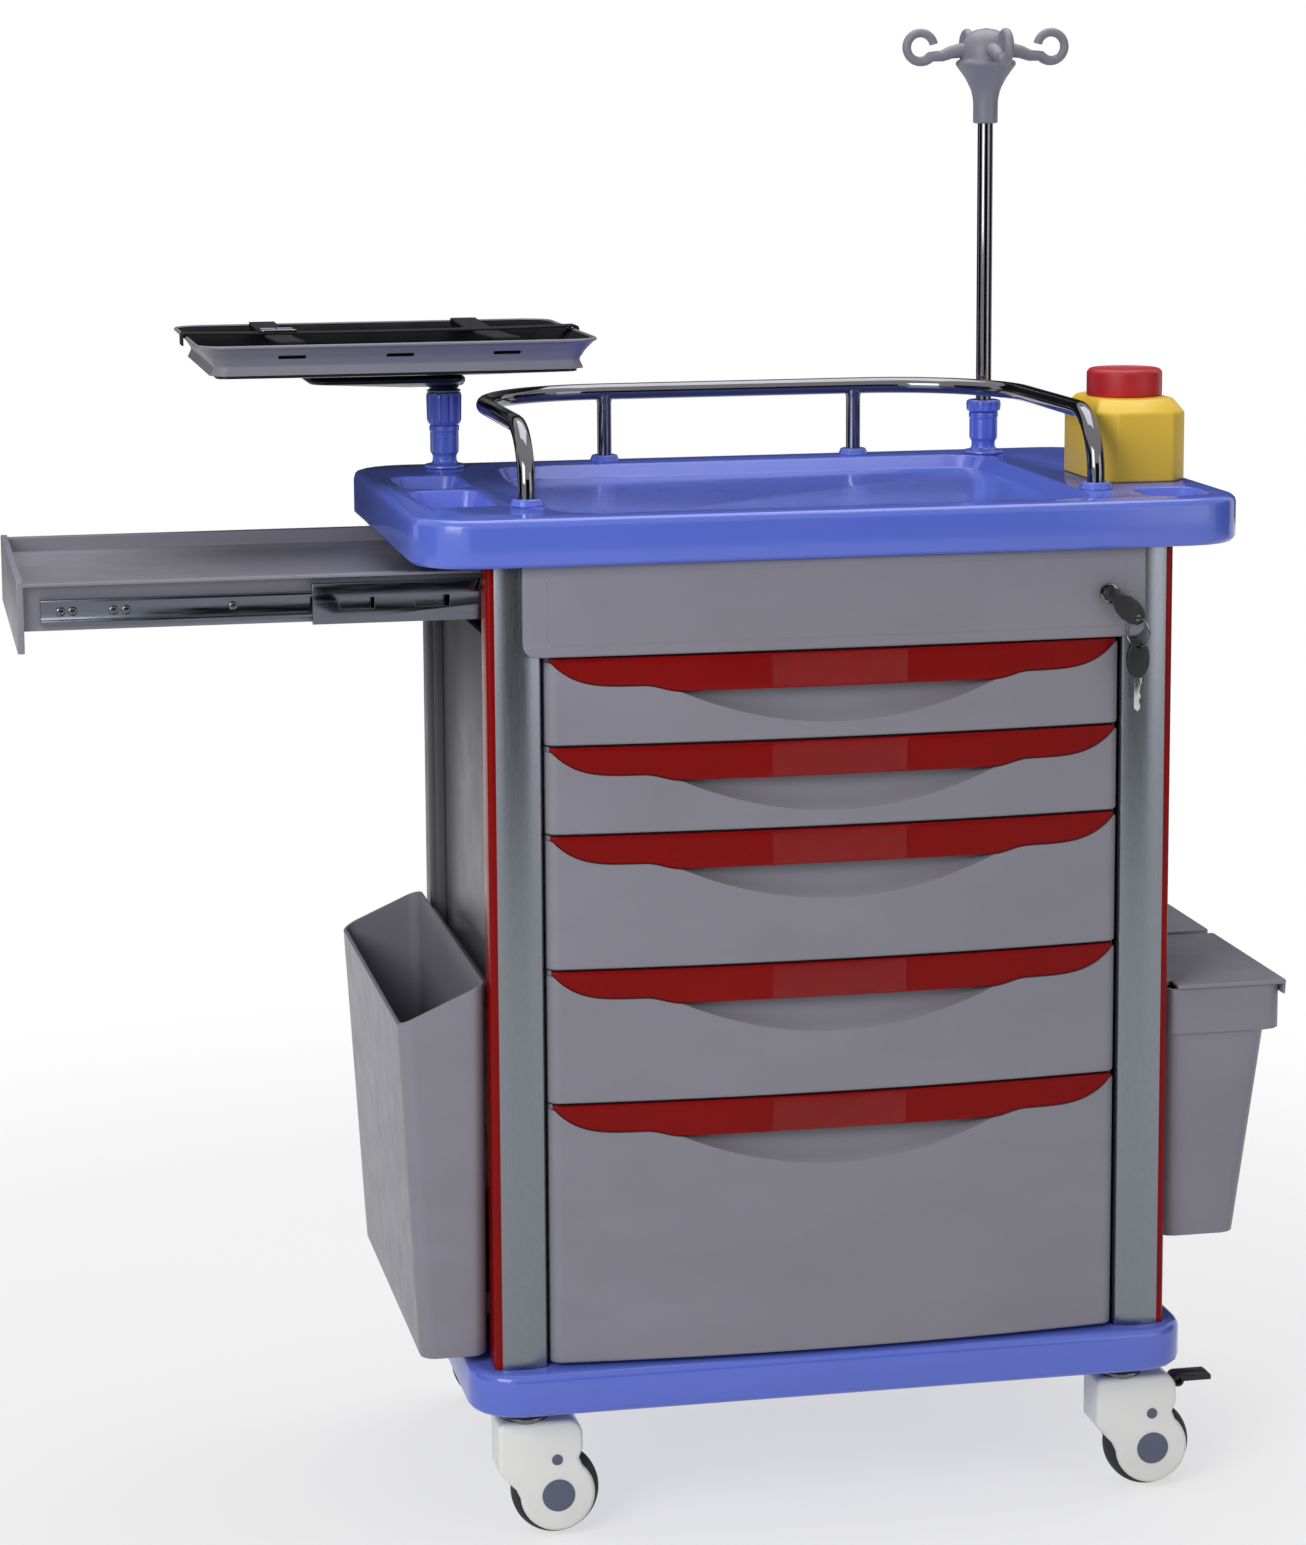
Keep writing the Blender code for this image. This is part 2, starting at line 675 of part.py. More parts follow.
def column(right, back):
    """A hollow column with grooves for the trim and the panels that it holds."""
    panel = PANEL_THICK / 2 + GAP
    trim_low = (COLUMN_DEPTH - TRIM_WIDTH) / 2 - GAP
    trim_high = (COLUMN_DEPTH + TRIM_WIDTH) / 2 + GAP
    points = [
        (0.0, 0.0),
        (PANEL_SET - panel, 0.0),
        (PANEL_SET - panel, PANEL_GROOVE),
        (PANEL_SET + panel, PANEL_GROOVE),
        (PANEL_SET + panel, 0.0),
        (COLUMN_WIDTH, 0.0),
        (COLUMN_WIDTH, trim_low),
        (COLUMN_WIDTH - TRIM_SINK, trim_low),
        (COLUMN_WIDTH - TRIM_SINK, trim_high),
        (COLUMN_WIDTH, trim_high),
    ]
    points += arc((COLUMN_WIDTH - COLUMN_EDGE, COLUMN_DEPTH - COLUMN_EDGE), COLUMN_EDGE, 15, 90, 3)
    inner_round = COLUMN_ROUND if back < 0 else COLUMN_EDGE
    points += arc((inner_round, COLUMN_DEPTH - inner_round), inner_round, 90, 180, CORNER_STEPS)
    if back > 0:
        slot = BACK_THICK / 2 + GAP
        middle = COLUMN_DEPTH - BACK_SET
        points += [
            (0.0, middle + slot),
            (PANEL_GROOVE, middle + slot),
            (PANEL_GROOVE, middle - slot),
            (0.0, middle - slot),
        ]
    near = PANEL_GROOVE + COLUMN_WALL
    far_u = COLUMN_WIDTH - TRIM_SINK - COLUMN_WALL
    far_v = COLUMN_DEPTH - COLUMN_WALL
    hollow = [(near, near), (far_u, near), (far_u, far_v), (near, far_v)]

    def placed(outline):
        return [(right * (COLUMN_INNER + u), back * (BAY_HALF + v)) for u, v in outline]

    low = BASE_TOP + GAP
    high = TOP_UNDER - GAP
    return cut(prism(placed(points), low, high), prism(placed(hollow), low - CUT_OVER, high + CUT_OVER))


def column_trim(right, back):
    """The coloured strip set into a column's outer side."""
    middle = BAY_HALF + COLUMN_DEPTH / 2
    low = middle - TRIM_WIDTH / 2
    high = middle + TRIM_WIDTH / 2
    inner = COLUMN_OUTER - TRIM_SINK + GAP
    points = [(inner, low)]
    points += arc((TRIM_OUTER - TRIM_ROUND, low + TRIM_ROUND), TRIM_ROUND, -90, 0, 3)
    points += arc((TRIM_OUTER - TRIM_ROUND, high - TRIM_ROUND), TRIM_ROUND, 0, 90, 3)
    points.append((inner, high))
    return prism([(right * x, back * y) for x, y in points], BASE_TOP + GAP, TOP_UNDER - GAP)


def drawer_tops():
    """The height of each drawer's upper line, from the top drawer down."""
    tops = []
    level = BAY_FLOOR
    for height in DRAWER_HEIGHTS:
        tops.append(level)
        level -= height
    return tops


def hanger(level):
    """The rail on a side panel over which a bin hooks, as an outline in XZ for the right side."""
    face = BIN_BACK - GAP
    inner = PANEL_OUTER - OVERLAP
    low = level - HANGER_RISE
    return [
        (inner, low),
        (face, low),
        (face, level),
        (face - HANGER_WALL, level),
        (face - HANGER_WALL, low + HANGER_WALL),
        (inner, low + HANGER_WALL),
    ]


def mirrored(outline, right):
    """An XZ outline for the cart's right side, on the side asked for."""
    return [(right * x, z) for x, z in outline]


def side_panel(right, top, hang_level, foot):
    """A side wall with the ledges that carry the drawers and the rails that carry the bins."""
    low = BASE_TOP + GAP
    mid = right * PANEL_MID
    half = PANEL_THICK / 2
    shape = block((mid - half, -PANEL_END, low), (mid + half, PANEL_END, top))
    ledge_half = BAY_HALF - GUIDE_END_CLEAR
    ledge = sorted((right * GUIDE_INNER, mid))
    for line in drawer_tops():
        level = line - BOX_DROP - FLANGE_THICK - GAP
        shape = fused(
            shape,
            block((ledge[0], -ledge_half, level - GUIDE_THICK), (ledge[1], ledge_half, level)),
        )
    bumper = sorted((mid, right * (BIN_BACK - GAP)))
    bumper_foot = foot + BUMPER_LIFT
    return fused(
        shape,
        prism(mirrored(hanger(hang_level), right), -HANGER_HALF, HANGER_HALF, "Y"),
        block((bumper[0], -HANGER_HALF, bumper_foot), (bumper[1], HANGER_HALF, bumper_foot + BUMPER_HEIGHT)),
    )


def back_panel():
    """The sheet that closes the rear between the columns."""
    half = COLUMN_INNER + PANEL_GROOVE - GAP
    near = BACK_Y - BACK_THICK / 2
    return block((-half, near, BASE_TOP + GAP), (half, near + BACK_THICK, TOP_UNDER - GAP))


# Drawers


def front_face(x):
    """How far forward a drawer front's face lies at a place across it."""
    half = DRAWER_WIDTH / 2
    face = FRONT_EDGE - FRONT_BOW * (1 - (x / half) ** 2)
    past = abs(x) - (half - FRONT_END_ROUND)
    if past > 0:
        face += FRONT_END_ROUND - math.sqrt(max(FRONT_END_ROUND**2 - past**2, 0.0))
    return face


def wave_drop(x):
    """How far the coloured strip's lower edge lies below the drawer's upper line."""
    across = abs(x)
    shoulder = DRAWER_WIDTH / 2 - WAVE_SHOULDER
    if across > shoulder:
        share = (across - shoulder) / WAVE_SHOULDER
        return max(WAVE_END, WAVE_DROP * (1 - share**4))
    if across > SCOOP_HALF:
        share = (shoulder - across) / (shoulder - SCOOP_HALF)
        return WAVE_DROP + (STRIP_DROP - WAVE_DROP) * share * share * (3 - 2 * share)
    return STRIP_DROP


def scoop_share(x):
    """How full the finger scoop is at a place across the front: 1 in the middle, 0 past its ends."""
    return max(0.0, 1 - (x / SCOOP_HALF) ** 2)


def front_stations():
    """Places across a drawer front at which its section is drawn."""
    half = DRAWER_WIDTH / 2
    places = [SCOOP_HALF * share for share in (0.0, 0.3, 0.55, 0.75, 0.9, 1.0)]
    places += [SCOOP_HALF + (half - SCOOP_HALF) * share for share in (0.17, 0.33, 0.55, 0.74, 0.86)]
    places += [half - FRONT_END_ROUND * share for share in (1.0, 0.4, 0.0)]
    return [-x for x in reversed(places[1:])] + places


def drawer_front(top, foot):
    """A bowed front with a wavy rebate for the strip and a finger scoop that runs up behind it."""
    rings = []
    high = top - FRONT_SPLIT
    for x in front_stations():
        face = front_face(x)
        share = scoop_share(x)
        edge = top - wave_drop(x) - SCOOP_RISE * share
        brow = edge + SCOOP_RISE * share
        sink = STRIP_REBATE + (SCOOP_DEPTH - STRIP_REBATE) * math.sqrt(share)
        grip = brow + (high - brow) * GRIP_SHARE
        seat = grip + (high - grip) * 0.3
        section = (
            (face + FRONT_EDGE_ROUND, foot),
            (face, foot + FRONT_EDGE_ROUND),
            (face, edge),
            (face + sink * 0.6, edge + (brow - edge) * 0.35),
            (face + sink, brow),
            (face + sink, grip),
            (face + STRIP_REBATE, seat),
            (face + STRIP_REBATE, high),
            (FRONT_BACK, high),
            (FRONT_BACK, foot),
        )
        rings.append([(x, y, z) for y, z in section])
    return loft(rings)


def drawer(top, height):
    """A drawer: its front, an open box behind and a flange along each side that rests on a ledge."""
    foot = top - height + FRONT_SPLIT
    floor = top - height + BOX_FLOOR_LIFT
    rim = top - BOX_DROP
    start = FRONT_BACK - OVERLAP
    depth = BOX_BACK - start
    middle = (0.0, (start + BOX_BACK) / 2)
    outer = rounded(BOX_WIDTH, depth, BOX_CORNER, middle, 3)
    inside = rounded(
        BOX_WIDTH - 2 * BOX_WALL,
        depth - 2 * BOX_WALL,
        BOX_CORNER - BOX_WALL,
        middle,
        3,
    )
    shape = fused(drawer_front(top, foot), prism(outer, floor, rim))
    flange = block(
        (-FLANGE_HALF, FRONT_BACK - OVERLAP / 2, rim - FLANGE_THICK),
        (FLANGE_HALF, BOX_BACK - BOX_CORNER, rim),
    )
    shape = fused(shape, flange)
    return cut(shape, prism(inside, floor + BOX_WALL, rim + CUT_OVER))


def drawer_strip(top):
    """The coloured strip that lies in a drawer front's rebate and serves as its pull."""
    rings = []
    high = top - FRONT_SPLIT
    reach = DRAWER_WIDTH / 2 - STRIP_END
    places = [x for x in front_stations() if abs(x) < reach]
    for x in [-reach] + places + [reach]:
        face = front_face(x)
        low = top - wave_drop(x) + STRIP_CLEAR
        front = face + STRIP_SET
        back = face + STRIP_REBATE - GAP
        rings.append([(x, front, low), (x, front, high), (x, back, high), (x, back, low)])
    return loft(rings)


# Work top and rail


def sunk(width, depth, corner, middle, sink, slope):
    """A cutter for a shallow well with sloping sides, open at the work top's face."""
    floor = TOP_FACE - sink
    grow = slope * (sink + CUT_OVER) / sink
    spread = 2 * (grow - slope)
    low = rounded(width - 2 * slope, depth - 2 * slope, corner - slope, middle, 4)
    high = rounded(width + spread, depth + spread, corner + spread / 2, middle, 4)
    return loft([at_height(low, floor), at_height(high, TOP_FACE + CUT_OVER)])


def top_board():
    """The moulded work top with its well, pockets and raised rings round the rail's feet."""
    shape = soft_slab(TOP_WIDTH, TOP_DEPTH, TOP_CORNER, TOP_UNDER, TOP_FACE, TOP_ROUND)
    shape = cut(shape, sunk(WELL_WIDTH, WELL_DEPTH, WELL_CORNER, (0.0, WELL_Y), WELL_SINK, WELL_SLOPE))
    for near, far in POCKET_ENDS:
        middle = (POCKET_X, (near + far) / 2)
        shape = cut(shape, sunk(POCKET_WIDTH, far - near, POCKET_CORNER, middle, POCKET_SINK, POCKET_SLOPE))
    recess = (RECESS_X, RECESS_Y)
    shape = cut(shape, sunk(RECESS_WIDTH, RECESS_DEPTH, POCKET_CORNER, recess, POCKET_SINK, POCKET_SLOPE))
    for x, y, diameter in RAIL_FEET:
        ring = circle(diameter / 2 + FOOT_RING_WALL, (x, y), BORE_STEPS)
        shape = fused(shape, prism(ring, TOP_FACE - OVERLAP, TOP_FACE + FOOT_RING_HEIGHT))
        bore = circle(diameter / 2 + GAP, (x, y), BORE_STEPS)
        shape = cut(shape, prism(bore, TOP_FACE - RAIL_SINK - GAP, TOP_FACE + FOOT_RING_HEIGHT + CUT_OVER))
    bore = circle(POLE_DIAMETER / 2 + GAP, (POLE_X, POLE_Y), BORE_STEPS)
    return cut(shape, prism(bore, TOP_UNDER - CUT_OVER, TOP_FACE + CUT_OVER))


def guard_rail():
    """One bent tube from front foot to front foot round the back, with two posts under its rear run."""
    foot = TOP_FACE - RAIL_SINK
    right = [(RAIL_HALF, RAIL_FRONT, foot)]
    bend = arc((RAIL_FRONT + RAIL_BEND, RAIL_Z - RAIL_BEND), RAIL_BEND, 180, 90, 5)
    right += [(RAIL_HALF, y, z) for y, z in bend]
    corner = arc((RAIL_HALF - RAIL_CORNER, RAIL_BACK - RAIL_CORNER), RAIL_CORNER, 0, 90, 8)
    right += [(x, y, RAIL_Z) for x, y in corner]
    left = [(-x, y, z) for x, y, z in reversed(right)]
    shape = tube(right + left, RAIL_DIAMETER)
    for side in (-1, 1):
        middle = (side * RAIL_POST_SPREAD / 2, RAIL_BACK)
        shape = fused(shape, prism(circle(RAIL_POST_DIAMETER / 2, middle, PIN_STEPS), foot, RAIL_Z))
    return shape


# Pole sockets, drip pole and monitor tray


def socket_profile(bore):
    """The outside of a pole socket from its flange up to the collet round its bore, as radius and height."""
    foot = TOP_FACE + GAP
    collet = bore + COLLET_WALL
    flange = SOCKET_FLANGE_DIAMETER / 2
    neck = SOCKET_FOOT_DIAMETER / 2
    sleeve = SOCKET_SLEEVE_DIAMETER / 2
    return [
        (flange, foot),
        (flange, foot + SOCKET_FLANGE_THICK),
        (neck, foot + SOCKET_FLANGE_THICK),
        (neck, TOP_FACE + SOCKET_FOOT_HEIGHT),
        (sleeve, TOP_FACE + SOCKET_FOOT_HEIGHT + OVERLAP),
        (sleeve, SOCKET_TOP),
        (collet, SOCKET_TOP),
        (collet, SOCKET_TOP + COLLET_HEIGHT),
        (bore, SOCKET_TOP + COLLET_HEIGHT),
    ]


def tray_socket():
    """The tray post's socket, bored part of the way down."""
    bore = ARM_STEM_DIAMETER / 2 + GAP
    floor = TOP_FACE + SOCKET_FLOOR
    profile = [(0.0, TOP_FACE + GAP)] + socket_profile(bore)
    profile += [(bore, floor), (0.0, floor)]
    return moved(lathe(profile), (TRAY_POST_X, TRAY_POST_Y, 0.0))


def pole_socket():
    """The drip pole's socket, bored right through."""
    bore = POLE_DIAMETER / 2 + GAP
    profile = socket_profile(bore) + [(bore, TOP_FACE + GAP)]
    return moved(turned_ring(profile), (POLE_X, POLE_Y, 0.0))


def knob(shaft_diameter, high, middle):
    """A fluted clamping collar that turns round the collet of its socket."""
    outlines = []
    for inset in (KNOB_CHAMFER, 0.0):
        outline = []
        for flute in range(KNOB_FLUTES):
            for part, sink in ((0.0, 0.0), (0.5, 0.0), (0.5, KNOB_FLUTE), (1.0, KNOB_FLUTE)):
                angle = 2 * math.pi * (flute + part * 0.98) / KNOB_FLUTES
                radius = KNOB_DIAMETER / 2 - inset - sink
                outline.append((radius * math.cos(angle), radius * math.sin(angle)))
        outlines.append(outline)
    small, full = outlines
    rings = [
        at_height(full, KNOB_FOOT),
        at_height(full, high - KNOB_CHAMFER),
        at_height(small, high),
    ]
    collet = shaft_diameter / 2 + GAP + COLLET_WALL
    bore = prism(running_bore(collet, steps=BORE_STEPS), KNOB_FOOT - CUT_OVER, high + CUT_OVER)
    return moved(cut(loft(rings), bore), middle)


def iv_pole():
    """The straight rod, which slides down through the work top behind the drawers."""
    low = TOP_FACE - POLE_LIFT - POLE_LEFT_IN
    return prism(circle(POLE_DIAMETER / 2, (POLE_X, POLE_Y), BORE_STEPS), low, HEAD_FOOT + POLE_SEAT)


def iv_head():
    """The moulded head with four open ring hooks, seated over the rod's end."""
    neck = HEAD_NECK_DIAMETER / 2
    cone = HEAD_CONE_DIAMETER / 2
    hub = HEAD_HUB_DIAMETER / 2
    dome = HEAD_DOME_DIAMETER / 2
    bore = POLE_DIAMETER / 2 + GAP
    cone_foot = HEAD_FOOT + HEAD_NECK_HEIGHT
    hub_foot = cone_foot + HEAD_CONE_HEIGHT
    dome_foot = hub_foot + HEAD_HUB_HEIGHT
    ceiling = HEAD_FOOT + POLE_SEAT + GAP
    crown = dome_foot + HEAD_DOME_HEIGHT
    profile = [
        (0.0, ceiling),
        (bore, ceiling),
        (bore, HEAD_FOOT),
        (neck, HEAD_FOOT),
        (neck, cone_foot),
        (cone, hub_foot - HEAD_CONE_EDGE),
        (cone, hub_foot),
        (hub, hub_foot),
        (hub, dome_foot),
        (dome, dome_foot),
        (dome, dome_foot + HEAD_DOME_EDGE),
        (dome * 0.62, crown - HEAD_DOME_EDGE * 0.3),
        (0.0, crown),
    ]
    shape = lathe(profile)
    start = HEAD_HUB_DIAMETER / 2 - HOOK_WIRE / 2
    path = [(start, 0.0), (start + HOOK_DIP, 0.0)]
    path += arc((HOOK_REACH, 0.0), HOOK_RING, -130, 160, 10)
    for turn in range(HOOK_COUNT):
        wire = tube([(x, 0.0, HOOK_Z + z) for x, z in path], HOOK_WIRE, 1)
        shape = fused(shape, moved(wire, turn=2 * math.pi * turn / HOOK_COUNT))
    return moved(shape, (POLE_X, POLE_Y, 0.0))


def tray_arm():
    """The wedge under the tray with the stem that turns in the socket."""
    stem = ARM_STEM_DIAMETER / 2
    top = ARM_FOOT + ARM_HEIGHT
    middle = (TRAY_X, TRAY_POST_Y)
    post = (TRAY_POST_X, TRAY_POST_Y)
    foot = (TRAY_POST_X - KNOB_DIAMETER / 2, TRAY_POST_Y)
    small = rounded(2 * KNOB_DIAMETER, KNOB_DIAMETER, KNOB_DIAMETER / 2 - GAP, foot)
    large = rounded(ARM_HEAD_WIDTH, ARM_HEAD_DEPTH, KNOB_DIAMETER / 2, middle)
    root = ARM_FOOT + ARM_NECK_HEIGHT
    wedge = loft([at_height(small, root), at_height(large, top - ARM_PLATE), at_height(large, top)])
    neck = prism(circle(ARM_NECK_DIAMETER / 2, post), ARM_FOOT, root + OVERLAP)
    shaft = prism(circle(stem, post, BORE_STEPS), ARM_FOOT - ARM_STEM_LENGTH, ARM_FOOT + OVERLAP)
    return fused(wedge, neck, shaft)


def tray_ring(inset, z):
    """One of the tray's outlines, drawn in from its outer edge, at a height."""
    width = TRAY_WIDTH - 2 * inset
    depth = TRAY_DEPTH - 2 * inset
    return at_height(rounded(width, depth, TRAY_CORNER - inset, (TRAY_X, TRAY_POST_Y)), z)


def defib_tray():
    """An open tray with flared walls, a turned-out rim and strap slots in its long walls."""
    wall_top = TRAY_RIM + TRAY_WALL
    rim_foot = TRAY_TOP - TRAY_RIM_THICK
    shape = loft(
        [
            tray_ring(TRAY_RIM + TRAY_FLARE, TRAY_FOOT),
            tray_ring(TRAY_RIM, rim_foot - OVERLAP),
            tray_ring(0.0, rim_foot),
            tray_ring(0.0, TRAY_TOP),
        ]
    )
    inside = loft(
        [
            tray_ring(wall_top + TRAY_FLARE, TRAY_FOOT + TRAY_WALL),
            tray_ring(wall_top, TRAY_TOP + CUT_OVER),
        ]
    )
    shape = cut(shape, inside)
    for slot in range(TRAY_SLOTS):
        x = TRAY_X + TRAY_SLOT_PITCH * (slot - (TRAY_SLOTS - 1) / 2)
        low = TRAY_FOOT + TRAY_SLOT_LIFT
        shape = cut(
            shape,
            block(
                (x - TRAY_SLOT_LENGTH / 2, TRAY_POST_Y - TRAY_DEPTH, low),
                (x + TRAY_SLOT_LENGTH / 2, TRAY_POST_Y + TRAY_DEPTH, low + TRAY_SLOT_HEIGHT),
            ),
        )
    return shape


def tray_strap():
    """The elastic webbing laid across the tray's rim both ways, with its ends turned down outside."""
    low = TRAY_TOP + GAP
    high = low + STRAP_THICK
    reach_x = TRAY_WIDTH / 2 + GAP
    reach_y = TRAY_DEPTH / 2 + GAP

    def band(reach):
        outer = reach + STRAP_THICK
        hang = low - STRAP_HANG
        return [
            (-reach, hang),
            (-reach, low),
            (reach, low),
            (reach, hang),
            (outer, hang),
            (outer, high),
            (-outer, high),
            (-outer, hang),
        ]

    lengthwise = [(TRAY_X + u, z) for u, z in band(reach_x)]
    half = STRAP_WIDTH / 2
    shape = prism(lengthwise, TRAY_POST_Y - half, TRAY_POST_Y + half, "Y")
    crosswise = [(TRAY_POST_Y + u, z) for u, z in band(reach_y)]
    for side in (-1, 1):
        x = TRAY_X + side * TRAY_SLOT_PITCH
        shape = fused(shape, prism(crosswise, x - half, x + half, "X"))
    return shape


# Side shelf


def shelf_pan():
    """The folded pan of the side shelf with the plate that closes its outer end."""
    inner = SHELF_SIDE - SHELF_WALL
    lip = SHELF_TOP - SHELF_WALL
    floor = SHELF_TOP - SHELF_RIM
    skirt = SHELF_TOP - SHELF_SKIRT
    right = [
        (inner, skirt),
        (SHELF_SIDE, skirt),
        (SHELF_SIDE, lip),
        (SHELF_HALF, lip),
        (SHELF_HALF, SHELF_TOP),
        (inner, SHELF_TOP),
        (inner, floor + SHELF_WALL),
    ]
    left = [(-y, z) for y, z in reversed(right)]
    under = [(-inner, floor), (inner, floor)]
    pan = prism(right + left + under, SHELF_START, SHELF_START + SHELF_LENGTH, "X")
    plate = block(
        (SHELF_START - SHELF_END_THICK, -SHELF_HALF, SHELF_TOP - SHELF_END_DROP),
        (SHELF_START + SHELF_WALL, SHELF_HALF, SHELF_TOP + SHELF_END_RISE),
    )
    return fused(pan, plate)


def channel(height, lip, open_at, face):
    """A slide member's section in YZ: a web at its face and a ball race along each edge."""
    half = height / 2
    web = face - SLIDE_WEB if face > open_at else face + SLIDE_WEB
    return [
        (open_at, SLIDE_Z - half),
        (face, SLIDE_Z - half),
        (face, SLIDE_Z + half),
        (open_at, SLIDE_Z + half),
        (open_at, SLIDE_Z + half - lip),
        (web, SLIDE_Z + half - lip),
        (web, SLIDE_Z - half + lip),
        (open_at, SLIDE_Z - half + lip),
    ]


def sided(outline, back):
    """A YZ outline for the rear slide, on the side asked for."""
    return [(back * y, z) for y, z in outline]


def slide_inner(back):
    """The member fixed along the shelf's skirt."""
    start = SHELF_START + SLIDE_INNER_SET
    near = SHELF_SIDE + GAP
    far = SLIDE_FACE - 2 * (SLIDE_WEB + GAP)
    section = channel(SLIDE_INNER_HEIGHT, SLIDE_INNER_LIP, far, near)
    return prism(sided(section, back), start, start + SLIDE_INNER_LENGTH, "X")


def slide_middle(back):
    """The floating member, with slots along its web."""
    start = SLIDE_OUTER_START - SLIDE_MIDDLE_OUT
    face = SLIDE_FACE - SLIDE_WEB - GAP
    section = channel(SLIDE_MIDDLE_HEIGHT, SLIDE_MIDDLE_LIP, SHELF_SIDE + SLIDE_WEB, face)
    shape = prism(sided(section, back), start, start + SLIDE_LENGTH, "X")
    sides = sorted((back * SHELF_SIDE, back * SLIDE_FACE))
    for offset in SLOT_STARTS:
        slot_start = start + offset
        shape = cut(
            shape,
            block(
                (slot_start, sides[0], SLIDE_Z - SLOT_HEIGHT / 2),
                (slot_start + SLOT_LENGTH, sides[1], SLIDE_Z + SLOT_HEIGHT / 2),
            ),
        )
    return shape


def slide_outer_frame():
    """The two fixed members joined by cross straps, with tabs that reach up to the work top."""
    half = SLIDE_OUTER_HEIGHT / 2
    section = channel(SLIDE_OUTER_HEIGHT, SLIDE_OUTER_LIP, SHELF_SIDE + SLIDE_WEB, SLIDE_FACE)
    start = SLIDE_OUTER_START
    sides = [prism(sided(section, back), start, start + SLIDE_LENGTH, "X") for back in (-1, 1)]
    under = SLIDE_Z - half
    shape = sides[0]
    for number, offset in enumerate(BRACE_STARTS):
        low = start + offset
        high = low + BRACE_WIDTH
        strap = block((low, -SLIDE_FACE, under - BRACE_THICK), (high, SLIDE_FACE, under + SLIDE_WEB))
        shape = fused(shape, strap)
        if number == 0:
            shape = fused(shape, sides[1])
        for back in (-1, 1):
            web = sorted((back * (SLIDE_FACE - SLIDE_WEB), back * SLIDE_FACE))
            shape = fused(shape, block((low, web[0], SLIDE_Z), (high, web[1], TOP_UNDER - GAP)))
    return shape


# Lock panel and keys


def lock_face(x):
    """How far forward the lock panel's face lies at a place across it."""
    share = 2 * x / LOCK_PANEL_WIDTH
    return LOCK_BACK - LOCK_PANEL_THICK - LOCK_PANEL_BOW * (1 - share * share)


def lock_panel():
    """The bowed panel over the top drawer, bored for the lock."""
    half = LOCK_PANEL_WIDTH / 2
    corner = LOCK_PANEL_CORNER
    low = BAY_FLOOR + FRONT_SPLIT
    high = TOP_UNDER - GAP
    places = [half * share for share in (0.0, 0.2, 0.4, 0.6, 0.8)]
    places += [half - corner * share for share in (1.0, 0.6, 0.3, 0.1, 0.0)]
    rings = []
    for x in [-x for x in reversed(places[1:])] + places:
        past = max(0.0, abs(x) - (half - corner))
        foot = low + corner - math.sqrt(max(corner * corner - past * past, 0.0))
        face = lock_face(x)
        section = (
            (LOCK_BACK, foot),
            (face + LOCK_PANEL_EDGE, foot),
            (face, foot + LOCK_PANEL_EDGE),
            (face, high),
            (LOCK_BACK, high),
        )
        rings.append([(x, y, z) for y, z in section])
    bore = circle(LOCK_BARREL_DIAMETER / 2 + GAP, (LOCK_X, LOCK_Z), BORE_STEPS)
    return cut(loft(rings), prism(bore, BODY_FRONT - 2 * SCOOP_DEPTH, BODY_FRONT + CUT_OVER, "Y"))


def lock_barrel():
    """The turning plug with its rim and keyway."""
    face = lock_face(LOCK_X) - GAP
    barrel = circle(LOCK_BARREL_DIAMETER / 2, (LOCK_X, LOCK_Z), BORE_STEPS)
    rim = circle(LOCK_RIM_DIAMETER / 2, (LOCK_X, LOCK_Z), BORE_STEPS)
    shape = prism(rim, face - LOCK_RIM_PROUD, face, "Y")
    shape = fused(shape, prism(barrel, face - OVERLAP, LOCK_BACK - GAP, "Y"))
    half_width = KEY_BLADE_WIDTH / 2 + GAP
    half_thick = KEY_BLADE_THICK / 2 + GAP
    keyway = block(
        (LOCK_X - half_thick, face - LOCK_RIM_PROUD - CUT_OVER, LOCK_Z - half_width),
        (
            LOCK_X + half_thick,
            face - LOCK_RIM_PROUD + KEY_BLADE_DEPTH + GAP,
            LOCK_Z + half_width,
        ),
    )
    return cut(shape, keyway)


def key_front():
    """Where the inserted key's blade leaves the lock's rim."""
    return lock_face(LOCK_X) - GAP - LOCK_RIM_PROUD


def bow_point(distance):
    """A point that far along the folded bow from the lock's axis, as x and z."""
    return (
        LOCK_X + distance * math.sin(KEY_TILT),
        LOCK_Z - distance * math.cos(KEY_TILT),
    )


def ring_hold():
    """The middle of the hole in the folded bow, which carries the ring."""
    x, z = bow_point(KEY_BOW_START + KEY_BOW_LENGTH - KEY_HOLE_INSET)
    y = key_front() - KEY_NECK_LENGTH - KEY_BOW_THICK / 2
    return Vector((x, y, z))


def oval(length, width, steps=BORE_STEPS):
    """An upright oval outline about the origin."""
    return [
        (width / 2 * math.cos(2 * math.pi * i / steps), length / 2 * math.sin(2 * math.pi * i / steps))
        for i in range(steps)
    ]


